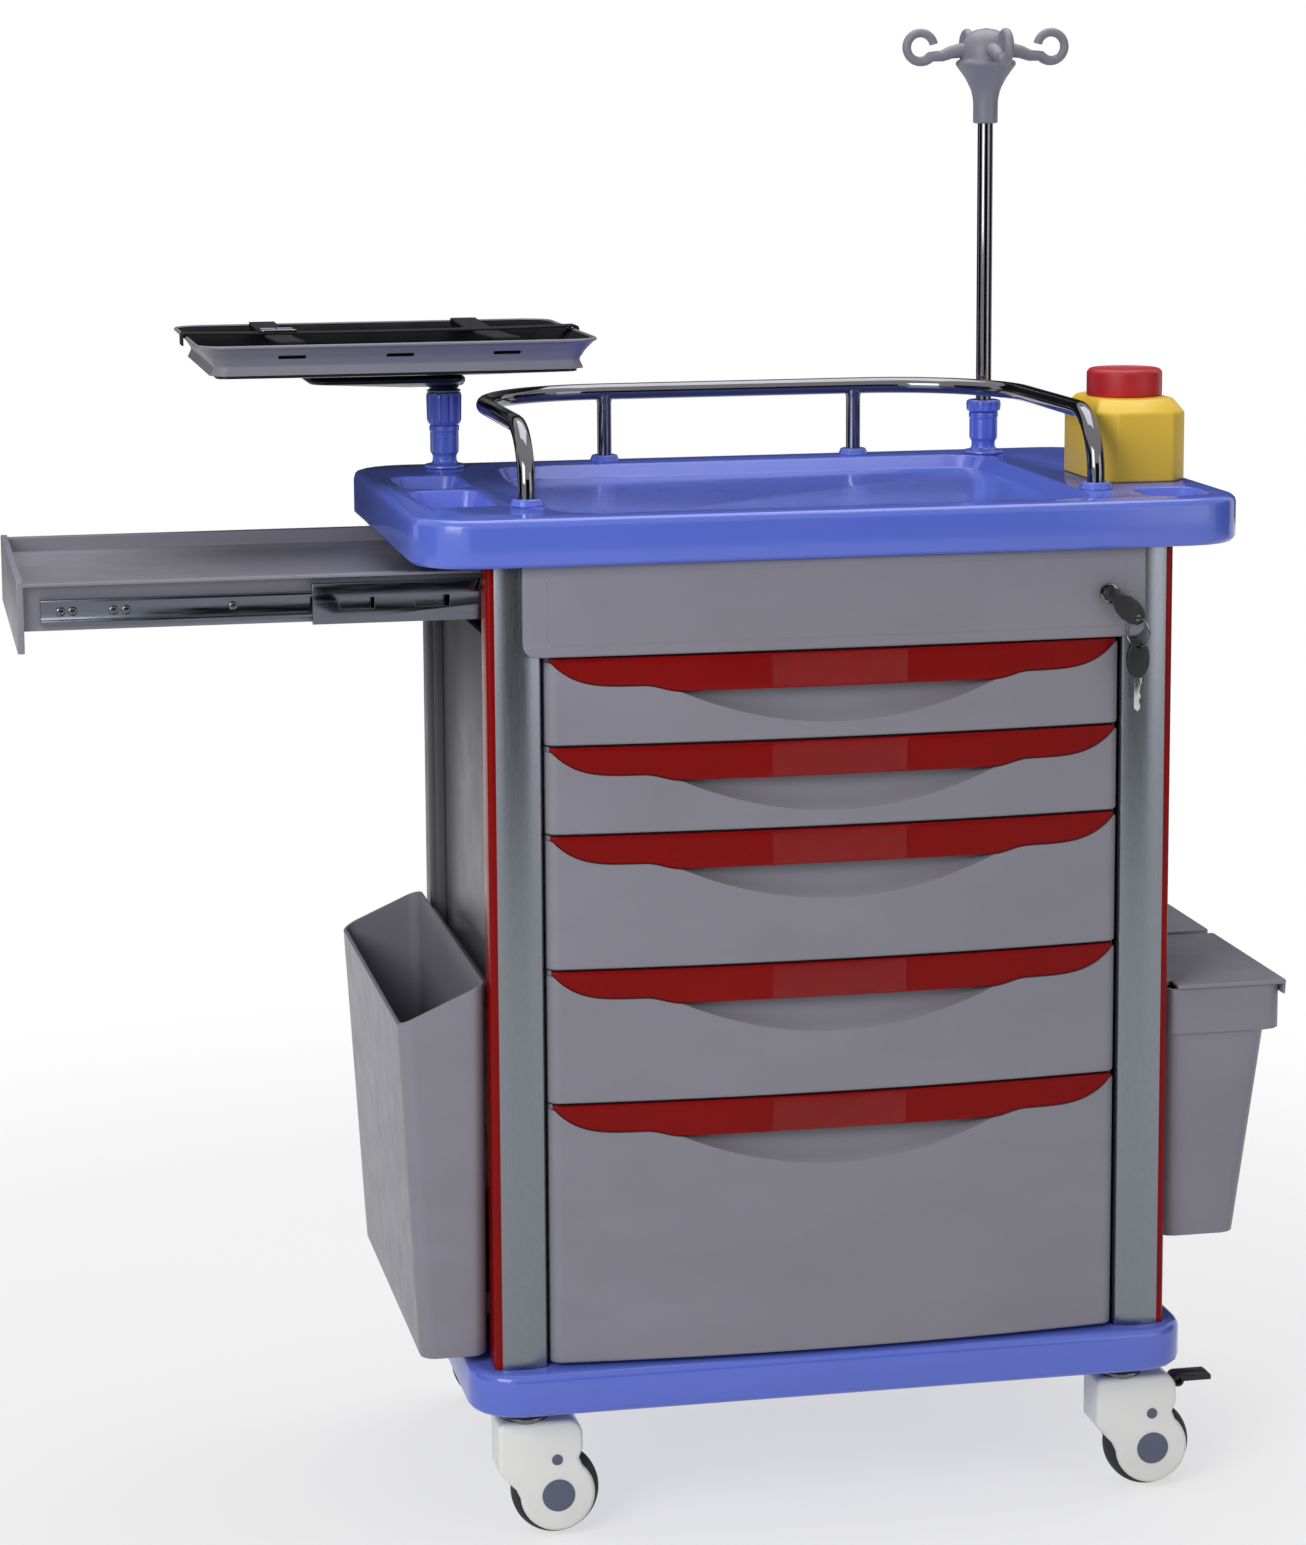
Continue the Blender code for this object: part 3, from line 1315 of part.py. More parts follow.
def lock_key():
    """The key in the lock: a blade in the keyway and a bow folded flat towards the lower right."""
    front = key_front()
    blade = block(
        (LOCK_X - KEY_BLADE_THICK / 2, front - KEY_NECK_LENGTH - OVERLAP, LOCK_Z - KEY_BLADE_WIDTH / 2),
        (LOCK_X + KEY_BLADE_THICK / 2, front + KEY_BLADE_DEPTH, LOCK_Z + KEY_BLADE_WIDTH / 2),
    )
    middle = bow_point(KEY_BOW_START + KEY_BOW_LENGTH / 2)
    bow = prism(oval(KEY_BOW_LENGTH, KEY_BOW_WIDTH), -KEY_BOW_THICK, 0.0, "Y")
    bow = moved(bow, (middle[0], front - KEY_NECK_LENGTH, middle[1]), -KEY_TILT, "Y")
    neck = prism(
        circle(KEY_BLADE_WIDTH, (LOCK_X, LOCK_Z), PIN_STEPS),
        front - KEY_NECK_LENGTH - KEY_BOW_THICK,
        front - GAP,
        "Y",
    )
    hold = ring_hold()
    hole = prism(
        circle(KEY_HOLE / 2, (hold.x, hold.z), PIN_STEPS), hold.y - KEY_BOW_THICK, hold.y + KEY_BOW_THICK, "Y"
    )
    return cut(fused(neck, blade, bow), hole)


def spare_key_ring():
    """A wire ring through the bow's hole with a second key hanging from it."""
    hold = ring_hold()
    radius = RING_DIAMETER / 2
    path = [(0.0, u, v - radius) for u, v in arc((0.0, 0.0), radius, 90, 90 + 330, 11)]
    ring = moved(tube(path, RING_WIRE, 1, closed=True), hold, RING_TURN)
    bow_top = hold.z - RING_DIAMETER + KEY_HOLE_INSET
    bow = prism(oval(KEY_BOW_LENGTH, KEY_BOW_WIDTH), -KEY_BOW_THICK / 2, KEY_BOW_THICK / 2, "Y")
    bow = moved(bow, (hold.x, hold.y, bow_top - KEY_BOW_LENGTH / 2))
    blade_top = bow_top - KEY_BOW_LENGTH + OVERLAP
    blade = block(
        (hold.x - KEY_BLADE_WIDTH / 2, hold.y - KEY_BLADE_THICK / 2, blade_top - SPARE_BLADE_LENGTH),
        (hold.x + KEY_BLADE_WIDTH / 2, hold.y + KEY_BLADE_THICK / 2, blade_top),
    )
    return fused(bow, ring, blade)


# Casters


def fork_outline():
    """A caster shell's side view about its swivel axis, as x and z."""
    top = CASTER_HEIGHT - SWIVEL_THICK
    points = [(-SHELL_FRONT, top), (-SHELL_FRONT, SHELL_WAIST)]
    points += arc((CASTER_TRAIL, WHEEL_RADIUS), CHEEK_RADIUS, 195, 365, 9)
    points += [(SHELL_BACK + CHEEK_THICK, SHELL_WAIST + CHEEK_THICK), (SHELL_BACK, top)]
    return points


def caster_fork(braked):
    """A moulded shell with an axle across its wheel space, a swivel disc and a stem, about its swivel axis."""
    hub = (CASTER_TRAIL, WHEEL_RADIUS)
    slot = WHEEL_WIDTH / 2 + RUN
    shape = prism(fork_outline(), -FORK_HALF, FORK_HALF, "Y")
    shape = cut(shape, prism(circle(WHEEL_RADIUS + WHEEL_CLEAR, hub, 20), -slot, slot, "Y"))
    axle = circle(AXLE_DIAMETER / 2, hub, PIN_STEPS)
    cap = circle(HUB_CAP_DIAMETER / 2, hub, BORE_STEPS)
    outer = FORK_HALF + HUB_CAP_PROUD
    shape = fused(
        shape,
        prism(axle, -slot - OVERLAP, slot + OVERLAP, "Y"),
        prism(cap, -outer, -FORK_HALF + OVERLAP, "Y"),
        prism(cap, FORK_HALF - OVERLAP, outer, "Y"),
        prism(circle(SWIVEL_DIAMETER / 2), CASTER_HEIGHT - SWIVEL_THICK - OVERLAP, CASTER_HEIGHT - GAP),
        prism(
            circle(STEM_DIAMETER / 2, steps=PIN_STEPS),
            CASTER_HEIGHT - SWIVEL_THICK,
            CASTER_HEIGHT + STEM_LENGTH - GAP,
        ),
    )
    if not braked:
        return shape
    inner = PEDAL_WIDTH / 2 + GAP
    ear = [
        (SHELL_BACK - OVERLAP, PEDAL_PIN_Z - PEDAL_HUB / 2),
        (PEDAL_PIN_X, PEDAL_PIN_Z - PEDAL_HUB / 2),
        (PEDAL_PIN_X + PEDAL_HUB / 2, PEDAL_PIN_Z),
        (PEDAL_PIN_X, PEDAL_PIN_Z + PEDAL_HUB / 2),
        (SHELL_BACK - OVERLAP, PEDAL_PIN_Z + PEDAL_HUB / 2),
    ]
    pin = circle(PEDAL_PIN / 2, (PEDAL_PIN_X, PEDAL_PIN_Z), PIN_STEPS)
    return fused(
        shape,
        prism(ear, inner, inner + EAR_THICK, "Y"),
        prism(ear, -inner - EAR_THICK, -inner, "Y"),
        prism(pin, -inner - OVERLAP, inner + OVERLAP, "Y"),
    )


def caster_wheel():
    """A wheel with a rounded tread, bored for the axle, about its swivel axis."""
    half = WHEEL_WIDTH / 2
    bore = AXLE_DIAMETER / 2 + GAP
    right = [
        (bore, half),
        (WHEEL_RADIUS - TYRE_ROUND, half),
        (WHEEL_RADIUS - TYRE_ROUND * 0.3, half - TYRE_ROUND * 0.3),
        (WHEEL_RADIUS, half - TYRE_ROUND),
    ]
    left = [(radius, -z) for radius, z in reversed(right)]
    wheel = moved(turned_ring(right + left, 20), turn=math.pi / 2, axis="X")
    return moved(wheel, (CASTER_TRAIL, 0.0, WHEEL_RADIUS))


def brake_pedal():
    """The lever that presses the brake, bored for its pin, about its caster's swivel axis."""
    reach = PEDAL_PIN_X + PEDAL_REACH
    high = PEDAL_PIN_Z + PEDAL_HUB / 2
    lever = [
        (PEDAL_PIN_X, high - PEDAL_THICK),
        (reach, high - PEDAL_THICK),
        (reach, high - PEDAL_THICK / 3),
        (reach - PEDAL_THICK / 2, high),
        (PEDAL_PIN_X, high),
    ]
    half = PEDAL_WIDTH / 2
    middle = (PEDAL_PIN_X, PEDAL_PIN_Z)
    shape = prism(circle(PEDAL_HUB / 2, middle, BORE_STEPS), -half, half, "Y")
    shape = fused(shape, prism(lever, -half, half, "Y"))
    bore = circle(PEDAL_PIN / 2 + GAP, middle, PIN_STEPS)
    return cut(shape, prism(bore, -half - CUT_OVER, half + CUT_OVER, "Y"))


# Hung bins


def hook_outline(level):
    """The hook on a bin's back that drops over a hanger rail, as an outline in XZ for the right side."""
    low = level + GAP
    inner = BIN_BACK - GAP - HANGER_WALL - GAP
    return [
        (inner - HANGER_WALL, level - HOOK_LIP),
        (inner, level - HOOK_LIP),
        (inner, low),
        (BIN_BACK + BIN_WALL / 2, low),
        (BIN_BACK + BIN_WALL / 2, low + HANGER_WALL),
        (inner - HANGER_WALL, low + HANGER_WALL),
    ]


def bin_ring(reach, half, inset, z):
    """A bin's outline from its back face out, drawn in by the wall where asked, at a height."""
    middle = (BIN_BACK + reach / 2, 0.0)
    width = reach - 2 * inset
    depth = 2 * (half - inset)
    return at_height(rounded(width, depth, BIN_CORNER - inset, middle, 3), z)


def waste_bin(middle):
    """A tapered bin with a deep band round its mouth, a hook on its back and pins for its lid."""
    half = BIN_DEPTH / 2 - BIN_BAND_PROUD
    band_foot = BIN_TOP - BIN_BAND
    band = BIN_DEPTH / 2
    shape = loft(
        [
            bin_ring(BIN_FOOT_REACH, half - BIN_END_TAPER, 0.0, BIN_LIFT),
            bin_ring(BIN_REACH, half, 0.0, band_foot),
            bin_ring(BIN_BAND_REACH, band, 0.0, band_foot + OVERLAP),
            bin_ring(BIN_BAND_REACH, band, 0.0, BIN_TOP),
        ]
    )
    inside = loft(
        [
            bin_ring(BIN_FOOT_REACH, half - BIN_END_TAPER, BIN_WALL, BIN_LIFT + BIN_WALL),
            bin_ring(BIN_REACH, half, BIN_WALL, band_foot),
            bin_ring(BIN_BAND_REACH, band, BIN_WALL, band_foot + 2 * BIN_WALL),
            bin_ring(BIN_BAND_REACH, band, BIN_WALL, BIN_TOP + CUT_OVER),
        ]
    )
    shape = cut(shape, inside)
    hook_half = BIN_DEPTH / 4
    shape = fused(shape, prism(hook_outline(BIN_TOP - BIN_HANG_DROP), -hook_half, hook_half, "Y"))
    barrel = BIN_DEPTH / 2 - BIN_CORNER - LID_EAR
    for side in (-1, 1):
        ear = sorted((side * (barrel + GAP), side * (barrel + LID_EAR)))
        pin = sorted((side * (barrel - LID_EAR), side * (barrel + OVERLAP)))
        axis = (LID_AXIS_X, LID_AXIS_Z)
        post = block(
            (BIN_BACK + GAP / 2, ear[0], BIN_TOP - LID_EAR),
            (BIN_BACK + LID_KNUCKLE, ear[1], LID_AXIS_Z + LID_KNUCKLE / 2),
        )
        shape = fused(shape, post, prism(circle(LID_PIN / 2, axis, PIN_STEPS), pin[0], pin[1], "Y"))
    return moved(shape, (0.0, middle, 0.0))


def waste_lid(middle):
    """A flat lid with a lip over the band and a knuckle along its hinge."""
    barrel = BIN_DEPTH / 2 - BIN_CORNER - LID_EAR
    half = BIN_DEPTH / 2 + LID_OVER
    low = BIN_TOP + GAP
    reach = BIN_BACK + BIN_BAND_REACH + LID_OVER
    start = LID_AXIS_X + LID_KNUCKLE / 2 + LID_PIN
    plate = prism(
        rounded(reach - start, 2 * half, LID_OVER, ((start + reach) / 2, 0.0), 3), low, low + LID_THICK
    )
    lip = block(
        (reach - LID_OVER + GAP, -half + LID_OVER, low - LID_LIP),
        (reach, half - LID_OVER, low + LID_THICK / 2),
    )
    axis = (LID_AXIS_X, LID_AXIS_Z)
    knuckle = prism(circle(LID_KNUCKLE / 2, axis, 12), -barrel, barrel, "Y")
    leaf = block(
        (LID_AXIS_X, -barrel, low + LID_THICK / 4),
        (start + OVERLAP, barrel, low + LID_THICK),
    )
    shape = fused(plate, lip, leaf, knuckle)
    bore = circle(LID_PIN / 2 + GAP, axis, PIN_STEPS)
    for side in (-1, 1):
        ends = sorted((side * (barrel - LID_EAR - GAP), side * (barrel + CUT_OVER)))
        shape = cut(shape, prism(bore, ends[0], ends[1], "Y"))
    return moved(shape, (0.0, middle, 0.0))


def left_bucket():
    """An open bin whose ends sweep up to a tall back with a hook."""
    half = BUCKET_DEPTH / 2

    def ring(reach, ends, inset, z):
        middle = (-BIN_BACK - reach / 2, 0.0)
        outline = rounded(reach - 2 * inset, 2 * (ends - inset), BUCKET_CORNER - inset, middle, 3)
        return at_height(outline, z)

    foot_half = half - BUCKET_END_TAPER
    shape = loft(
        [
            ring(BUCKET_FOOT_REACH, foot_half, 0.0, BUCKET_LIFT),
            ring(BUCKET_REACH, half, 0.0, BUCKET_TOP),
        ]
    )
    rim = BUCKET_TOP - BUCKET_RIM_DROP
    edge = -BIN_BACK - BUCKET_REACH
    lip = block(
        (edge - BUCKET_LIP, -half + BUCKET_CORNER, rim - BUCKET_LIP),
        (edge + 2 * BUCKET_WALL, half - BUCKET_CORNER, rim),
    )
    shape = fused(shape, lip)
    inside = loft(
        [
            ring(BUCKET_FOOT_REACH, foot_half, BUCKET_WALL, BUCKET_LIFT + BUCKET_WALL),
            ring(BUCKET_REACH, half, BUCKET_WALL, BUCKET_TOP + CUT_OVER),
        ]
    )
    shape = cut(shape, inside)
    sweep = -BIN_BACK - BUCKET_WALL - GAP
    curve = []
    for step in range(7):
        share = step / 6
        curve.append((sweep - share * BUCKET_REACH, rim + BUCKET_RIM_DROP * (1 - share) ** 2.2))
    over = BUCKET_TOP + BUCKET_RIM_DROP
    beyond = edge - BUCKET_REACH
    above = curve + [(beyond, rim), (beyond, over), (sweep, over)]
    shape = cut(shape, prism(above, -BUCKET_DEPTH, BUCKET_DEPTH, "Y"))
    hook = mirrored(hook_outline(BUCKET_TOP - BUCKET_HANG_DROP), -1)
    return fused(shape, prism(hook, -HANGER_HALF, HANGER_HALF, "Y"))


# Sharps box


def chamfered(width, depth, chamfer, middle):
    """The outline of a rectangle with cut corners, counter-clockwise."""
    points = []
    half_width = width / 2
    half_depth = depth / 2
    points += [(half_width, half_depth - chamfer), (half_width - chamfer, half_depth)]
    points += [(-half_width + chamfer, half_depth), (-half_width, half_depth - chamfer)]
    points += [(-half_width, -half_depth + chamfer), (-half_width + chamfer, -half_depth)]
    points += [(half_width - chamfer, -half_depth), (half_width, -half_depth + chamfer)]
    return [(middle[0] + x, middle[1] + y) for x, y in points]


def sharps_box():
    """A hollow box with cut corners, sloping shoulders and a round neck."""
    middle = (SHARPS_X, SHARPS_Y)
    low = TOP_FACE + GAP
    shoulder = SHARPS_TOP - SHARPS_SHOULDER_RISE
    neck_top = SHARPS_TOP + SHARPS_NECK_HEIGHT
    neck = SHARPS_NECK_DIAMETER / 2

    def body(inset, foot, top):
        full = chamfered(SHARPS_WIDTH - 2 * inset, SHARPS_DEPTH - 2 * inset, SHARPS_CHAMFER, middle)
        small = chamfered(
            SHARPS_WIDTH - 2 * inset - SHARPS_SHOULDER,
            SHARPS_DEPTH - 2 * inset - 2 * SHARPS_SHOULDER,
            SHARPS_CHAMFER,
            middle,
        )
        return loft([at_height(full, foot), at_height(full, shoulder - inset), at_height(small, top - inset)])

    shape = fused(
        body(0.0, low, SHARPS_TOP),
        prism(circle(neck, middle), SHARPS_TOP - OVERLAP, neck_top),
    )
    shape = cut(shape, body(SHARPS_WALL, low + SHARPS_WALL, SHARPS_TOP))
    return cut(shape, prism(circle(neck - SHARPS_WALL, middle), shoulder, neck_top + CUT_OVER))


def sharps_lid():
    """The round cap over the box's neck."""
    low = SHARPS_TOP + GAP
    high = low + SHARPS_CAP_HEIGHT
    outer = SHARPS_CAP_DIAMETER / 2
    inner = (SHARPS_NECK_DIAMETER / 2 + GAP) / math.cos(math.pi / TURN_STEPS)
    ceiling = SHARPS_TOP + SHARPS_NECK_HEIGHT + GAP
    profile = [
        (0.0, ceiling),
        (inner, ceiling),
        (inner, low),
        (outer, low),
        (outer, high - SHARPS_CAP_WALL),
        (outer - SHARPS_CAP_WALL, high),
        (0.0, high),
    ]
    return moved(lathe(profile), (SHARPS_X, SHARPS_Y, 0.0))


# The whole cart


def add_body(cart):
    """Adds the base, columns, panels and work top."""
    cart.add("base_tray", base_tray(), "blue")
    for corner, (right, back) in CORNERS.items():
        cart.add(f"column_{corner}", column(right, back), "zinc")
        cart.add(f"column_trim_{corner}", column_trim(right, back), "red")
    bucket_hang = BUCKET_TOP - BUCKET_HANG_DROP
    bin_hang = BIN_TOP - BIN_HANG_DROP
    cart.add("left_side_panel", side_panel(-1, BAY_FLOOR - GAP, bucket_hang, BUCKET_LIFT), "dark")
    cart.add("right_side_panel", side_panel(1, TOP_UNDER - GAP, bin_hang, BIN_LIFT), "dark")
    cart.add("back_panel", back_panel(), "dark")
    cart.add("top_board", top_board(), "blue")
    cart.add("guard_rail", guard_rail(), "chrome")
    cart.add("lock_panel", lock_panel(), "grey")


def add_drawers(cart):
    """Adds the drawers with their strips."""
    for number, (top, height) in enumerate(zip(drawer_tops(), DRAWER_HEIGHTS), 1):
        cart.add(f"drawer_{number}", drawer(top, height), "grey")
        cart.add(f"drawer_handle_{number}", drawer_strip(top), "red")


def add_poles(cart):
    """Adds the monitor tray and the drip pole with their sockets."""
    post = (TRAY_POST_X, TRAY_POST_Y, 0.0)
    cart.add("tray_socket", tray_socket(), "blue")
    cart.add("tray_collar", knob(ARM_STEM_DIAMETER, TRAY_KNOB_TOP, post), "blue", post)
    cart.add("tray_arm", tray_arm(), "black", post)
    cart.add("defib_tray", defib_tray(), "blue", post)
    cart.add("tray_strap", tray_strap(), "strap", post)
    pole = (POLE_X, POLE_Y, 0.0)
    cart.add("iv_socket", pole_socket(), "blue")
    cart.add("iv_collar", knob(POLE_DIAMETER, POLE_KNOB_TOP, pole), "blue", pole)
    cart.add("iv_pole", iv_pole(), "chrome", pole)
    cart.add("iv_head", iv_head(), "blue", pole)


def add_shelf(cart):
    """Adds the side shelf and its slides."""
    cart.add("shelf_pan", shelf_pan(), "grey")
    for side, back in (("front", -1), ("rear", 1)):
        cart.add(f"slide_inner_{side}", slide_inner(back), "slide")
        cart.add(f"slide_middle_{side}", slide_middle(back), "slide")
    cart.add("slide_outer_frame", slide_outer_frame(), "slide")


def add_lock(cart):
    """Adds the lock, its key and the spare key."""
    axis = (LOCK_X, 0.0, LOCK_Z)
    cart.add("lock_barrel", lock_barrel(), "chrome", axis)
    cart.add("lock_key", lock_key(), "black", axis)
    cart.add("spare_key_ring", spare_key_ring(), "black", ring_hold())


def add_casters(cart):
    """Adds the casters with their wheels and brakes."""
    for corner, (right, back) in CORNERS.items():
        place = (right * CASTER_X, back * CASTER_Y, 0.0)
        hub = (place[0] + CASTER_TRAIL, place[1], WHEEL_RADIUS)
        pin = (place[0] + PEDAL_PIN_X, place[1], PEDAL_PIN_Z)
        braked = corner in BRAKED
        cart.add(f"caster_fork_{corner}", moved(caster_fork(braked), place), "white", place)
        cart.add(f"caster_wheel_{corner}", moved(caster_wheel(), place), "tyre", hub)
        if braked:
            cart.add(f"brake_pedal_{corner}", moved(brake_pedal(), place), "black", pin)


def add_bins(cart):
    """Adds the hung bins and the sharps box."""
    offset = (BIN_DEPTH + BIN_SPLIT) / 2
    for side, middle in (("front", -offset), ("rear", offset)):
        cart.add(f"waste_bin_{side}", waste_bin(middle), "grey")
        hinge = (LID_AXIS_X, middle, LID_AXIS_Z)
        cart.add(f"waste_lid_{side}", waste_lid(middle), "grey", hinge)
    cart.add("left_bucket", left_bucket(), "grey")
    cart.add("sharps_box", sharps_box(), "yellow")
    cart.add("sharps_lid", sharps_lid(), "cap", (SHARPS_X, SHARPS_Y, 0.0))


def main():
    clear_scene()
    cart = Cart()
    add_body(cart)
    add_drawers(cart)
    add_poles(cart)
    add_shelf(cart)
    add_lock(cart)
    add_casters(cart)
    add_bins(cart)
    cart.settle()


main()
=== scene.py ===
"""The looks of the medication cart: its finishes, its fine pieces, the stage and the camera."""

from __future__ import annotations

import json
import logging
import math
from contextlib import contextmanager
from dataclasses import dataclass
from enum import Enum
from typing import Callable, Iterator, Sequence

import bpy
from mathutils import Matrix, Vector

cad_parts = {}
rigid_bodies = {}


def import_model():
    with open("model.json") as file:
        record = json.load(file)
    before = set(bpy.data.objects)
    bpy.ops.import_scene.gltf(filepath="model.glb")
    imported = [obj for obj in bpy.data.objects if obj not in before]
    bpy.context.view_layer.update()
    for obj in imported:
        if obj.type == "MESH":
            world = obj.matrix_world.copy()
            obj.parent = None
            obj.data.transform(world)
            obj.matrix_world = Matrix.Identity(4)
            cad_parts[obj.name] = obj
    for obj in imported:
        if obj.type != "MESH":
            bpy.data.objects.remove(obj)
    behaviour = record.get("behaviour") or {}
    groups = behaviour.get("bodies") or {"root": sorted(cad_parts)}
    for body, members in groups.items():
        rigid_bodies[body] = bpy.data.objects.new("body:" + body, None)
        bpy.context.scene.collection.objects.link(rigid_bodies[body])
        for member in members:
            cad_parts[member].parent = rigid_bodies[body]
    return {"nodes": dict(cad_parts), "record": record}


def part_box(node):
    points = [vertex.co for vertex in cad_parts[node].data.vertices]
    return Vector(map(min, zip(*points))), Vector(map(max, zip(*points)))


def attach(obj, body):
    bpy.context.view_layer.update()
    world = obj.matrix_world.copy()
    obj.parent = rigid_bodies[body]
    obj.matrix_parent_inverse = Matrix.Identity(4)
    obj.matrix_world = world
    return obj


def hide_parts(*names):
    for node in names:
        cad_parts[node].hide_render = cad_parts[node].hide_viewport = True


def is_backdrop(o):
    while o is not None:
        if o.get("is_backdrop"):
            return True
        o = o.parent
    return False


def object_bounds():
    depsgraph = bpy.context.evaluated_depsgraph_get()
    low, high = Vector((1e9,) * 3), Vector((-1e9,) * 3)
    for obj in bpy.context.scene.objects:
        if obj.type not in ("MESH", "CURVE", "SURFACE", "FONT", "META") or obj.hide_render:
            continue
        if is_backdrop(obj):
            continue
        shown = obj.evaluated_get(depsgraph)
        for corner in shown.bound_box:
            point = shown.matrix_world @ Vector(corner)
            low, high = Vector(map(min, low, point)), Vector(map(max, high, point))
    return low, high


LOG = logging.getLogger("medication_cart")

# Shared modelling values, in metres and radians
MERGE = 1e-5
SEED = 0.01
RIGHT_ANGLE = math.radians(90.0)
FLAT_ANGLE = math.radians(0.4)
EDGE_ANGLE = math.radians(38.0)
SMOOTH_ANGLE = math.radians(36.0)
FINE_TURN = 64
TUBE_RESOLUTION = 7
PLATE_RESOLUTION = 3
CORNER_SHARE = 0.48
SHEET_EDGE = 0.3
RANGE_OF_NOISE = (0.25, 0.75)
DRAWER_COUNT = 5

Point = tuple[float, float, float]
Flat = tuple[float, float]
Colour = tuple[float, float, float]
Piece = bpy.types.Object
Socket = bpy.types.NodeSocket


class Corner(Enum):
    """The four corners of the cart, as the signs of x and y."""

    FRONT_LEFT = (-1, -1)
    FRONT_RIGHT = (1, -1)
    REAR_LEFT = (-1, 1)
    REAR_RIGHT = (1, 1)

    @property
    def label(self) -> str:
        """The corner's name as the nodes spell it."""
        return self.name.lower()


class Plane(Enum):
    """The plane that a flat outline is drawn in, with the turn that brings it there."""

    XY = Matrix.Identity(4)
    XZ = Matrix.Rotation(RIGHT_ANGLE, 4, "X")


# Finishes


@dataclass(frozen=True)
class Pattern:
    """A pattern's repeats to the metre, its octaves and its scale along each axis."""

    scale: float
    detail: float = 3.0
    lay: Point = (1.0, 1.0, 1.0)


class Shader:
    """A material under construction, with its pattern on the piece's own Object coordinates."""

    def __init__(self, name: str) -> None:
        """Start an empty material with one Principled shader.

        Args:
            name: The material's name.
        """
        self.material = bpy.data.materials.new(name)
        self.material.use_nodes = True
        self.tree = self.material.node_tree
        self.surface = self.tree.nodes["Principled BSDF"]
        self.place = self.tree.nodes.new("ShaderNodeTexCoord").outputs["Object"]

    def link(self, source: Socket, node: bpy.types.Node, entry: str) -> None:
        """Join an output to a named input."""
        self.tree.links.new(source, node.inputs[entry])

    def constant(self, entry: str, value: float) -> None:
        """Set a plain value on the surface."""
        self.surface.inputs[entry].default_value = value

    def stretched(self, lay: Point) -> Socket:
        """Scale the Object coordinates by different amounts along the axes.

        Args:
            lay: The scale along each axis.

        Returns:
            The scaled coordinates.
        """
        node = self.tree.nodes.new("ShaderNodeMapping")
        node.inputs["Scale"].default_value = lay
        self.link(self.place, node, "Vector")
        return node.outputs["Vector"]

    def noise(self, pattern: Pattern) -> Socket:
        """Add a noise.

        Args:
            pattern: Its scale, octaves and lay.

        Returns:
            The noise's value.
        """
        node = self.tree.nodes.new("ShaderNodeTexNoise")
        node.inputs["Scale"].default_value = pattern.scale
        node.inputs["Detail"].default_value = pattern.detail
        self.link(self.stretched(pattern.lay), node, "Vector")
        return node.outputs["Fac"]

    def cells(self, pattern: Pattern) -> Socket:
        """Add a Voronoi pattern.

        Args:
            pattern: Its scale and lay.

        Returns:
            One random colour to each cell.
        """
        node = self.tree.nodes.new("ShaderNodeTexVoronoi")
        node.inputs["Scale"].default_value = pattern.scale
        self.link(self.stretched(pattern.lay), node, "Vector")
        return node.outputs["Color"]

    def waves(self, scale: float, axis: str, distortion: float) -> Socket:
        """Add parallel sine waves.

        Args:
            scale: Their repeats to the metre.
            axis: The direction that they follow each other in.
            distortion: How much they waver.

        Returns:
            The waves' value.
        """
        node = self.tree.nodes.new("ShaderNodeTexWave")
        node.bands_direction = axis
        node.inputs["Scale"].default_value = scale
        node.inputs["Distortion"].default_value = distortion
        self.link(self.place, node, "Vector")
        return node.outputs["Fac"]

    def ranged(self, value: Socket, low: float, high: float) -> Socket:
        """Bring a noise between two values.

        Args:
            value: The noise.
            low: The value at its low end.
            high: The value at its high end.

        Returns:
            The value between them.
        """
        node = self.tree.nodes.new("ShaderNodeMapRange")
        node.inputs["From Min"].default_value = RANGE_OF_NOISE[0]
        node.inputs["From Max"].default_value = RANGE_OF_NOISE[1]
        node.inputs["To Min"].default_value = low
        node.inputs["To Max"].default_value = high
        self.link(value, node, "Value")
        return node.outputs["Result"]

    def product(self, first: Socket, second: Socket) -> Socket:
        """Multiply two values.

        Args:
            first: One value.
            second: The other value.

        Returns:
            Their product.
        """
        node = self.tree.nodes.new("ShaderNodeMath")
        node.operation = "MULTIPLY"
        self.tree.links.new(first, node.inputs[0])
        self.tree.links.new(second, node.inputs[1])
        return node.outputs["Value"]

    def blended(self, value: Socket, dark: Colour, light: Colour) -> Socket:
        """Choose a colour between two others.

        Args:
            value: The noise that chooses.
            dark: The colour at its low end.
            light: The colour at its high end.

        Returns:
            The colour between them.
        """
        node = self.tree.nodes.new("ShaderNodeValToRGB")
        for stop, place, colour in zip(node.color_ramp.elements, RANGE_OF_NOISE, (dark, light)):
            stop.position = place
            stop.color = (*colour, 1.0)
        self.link(value, node, "Fac")
        return node.outputs["Color"]

    def raise_by(self, height: Socket, strength: float, distance: float) -> None:
        """Bump the surface.

        Args:
            height: The height's pattern.
            strength: The bump's strength.
            distance: The height of the pattern's high end.
        """
        node = self.tree.nodes.new("ShaderNodeBump")
        node.inputs["Strength"].default_value = strength
        node.inputs["Distance"].default_value = distance
        self.link(height, node, "Height")
        self.link(node.outputs["Normal"], self.surface, "Normal")


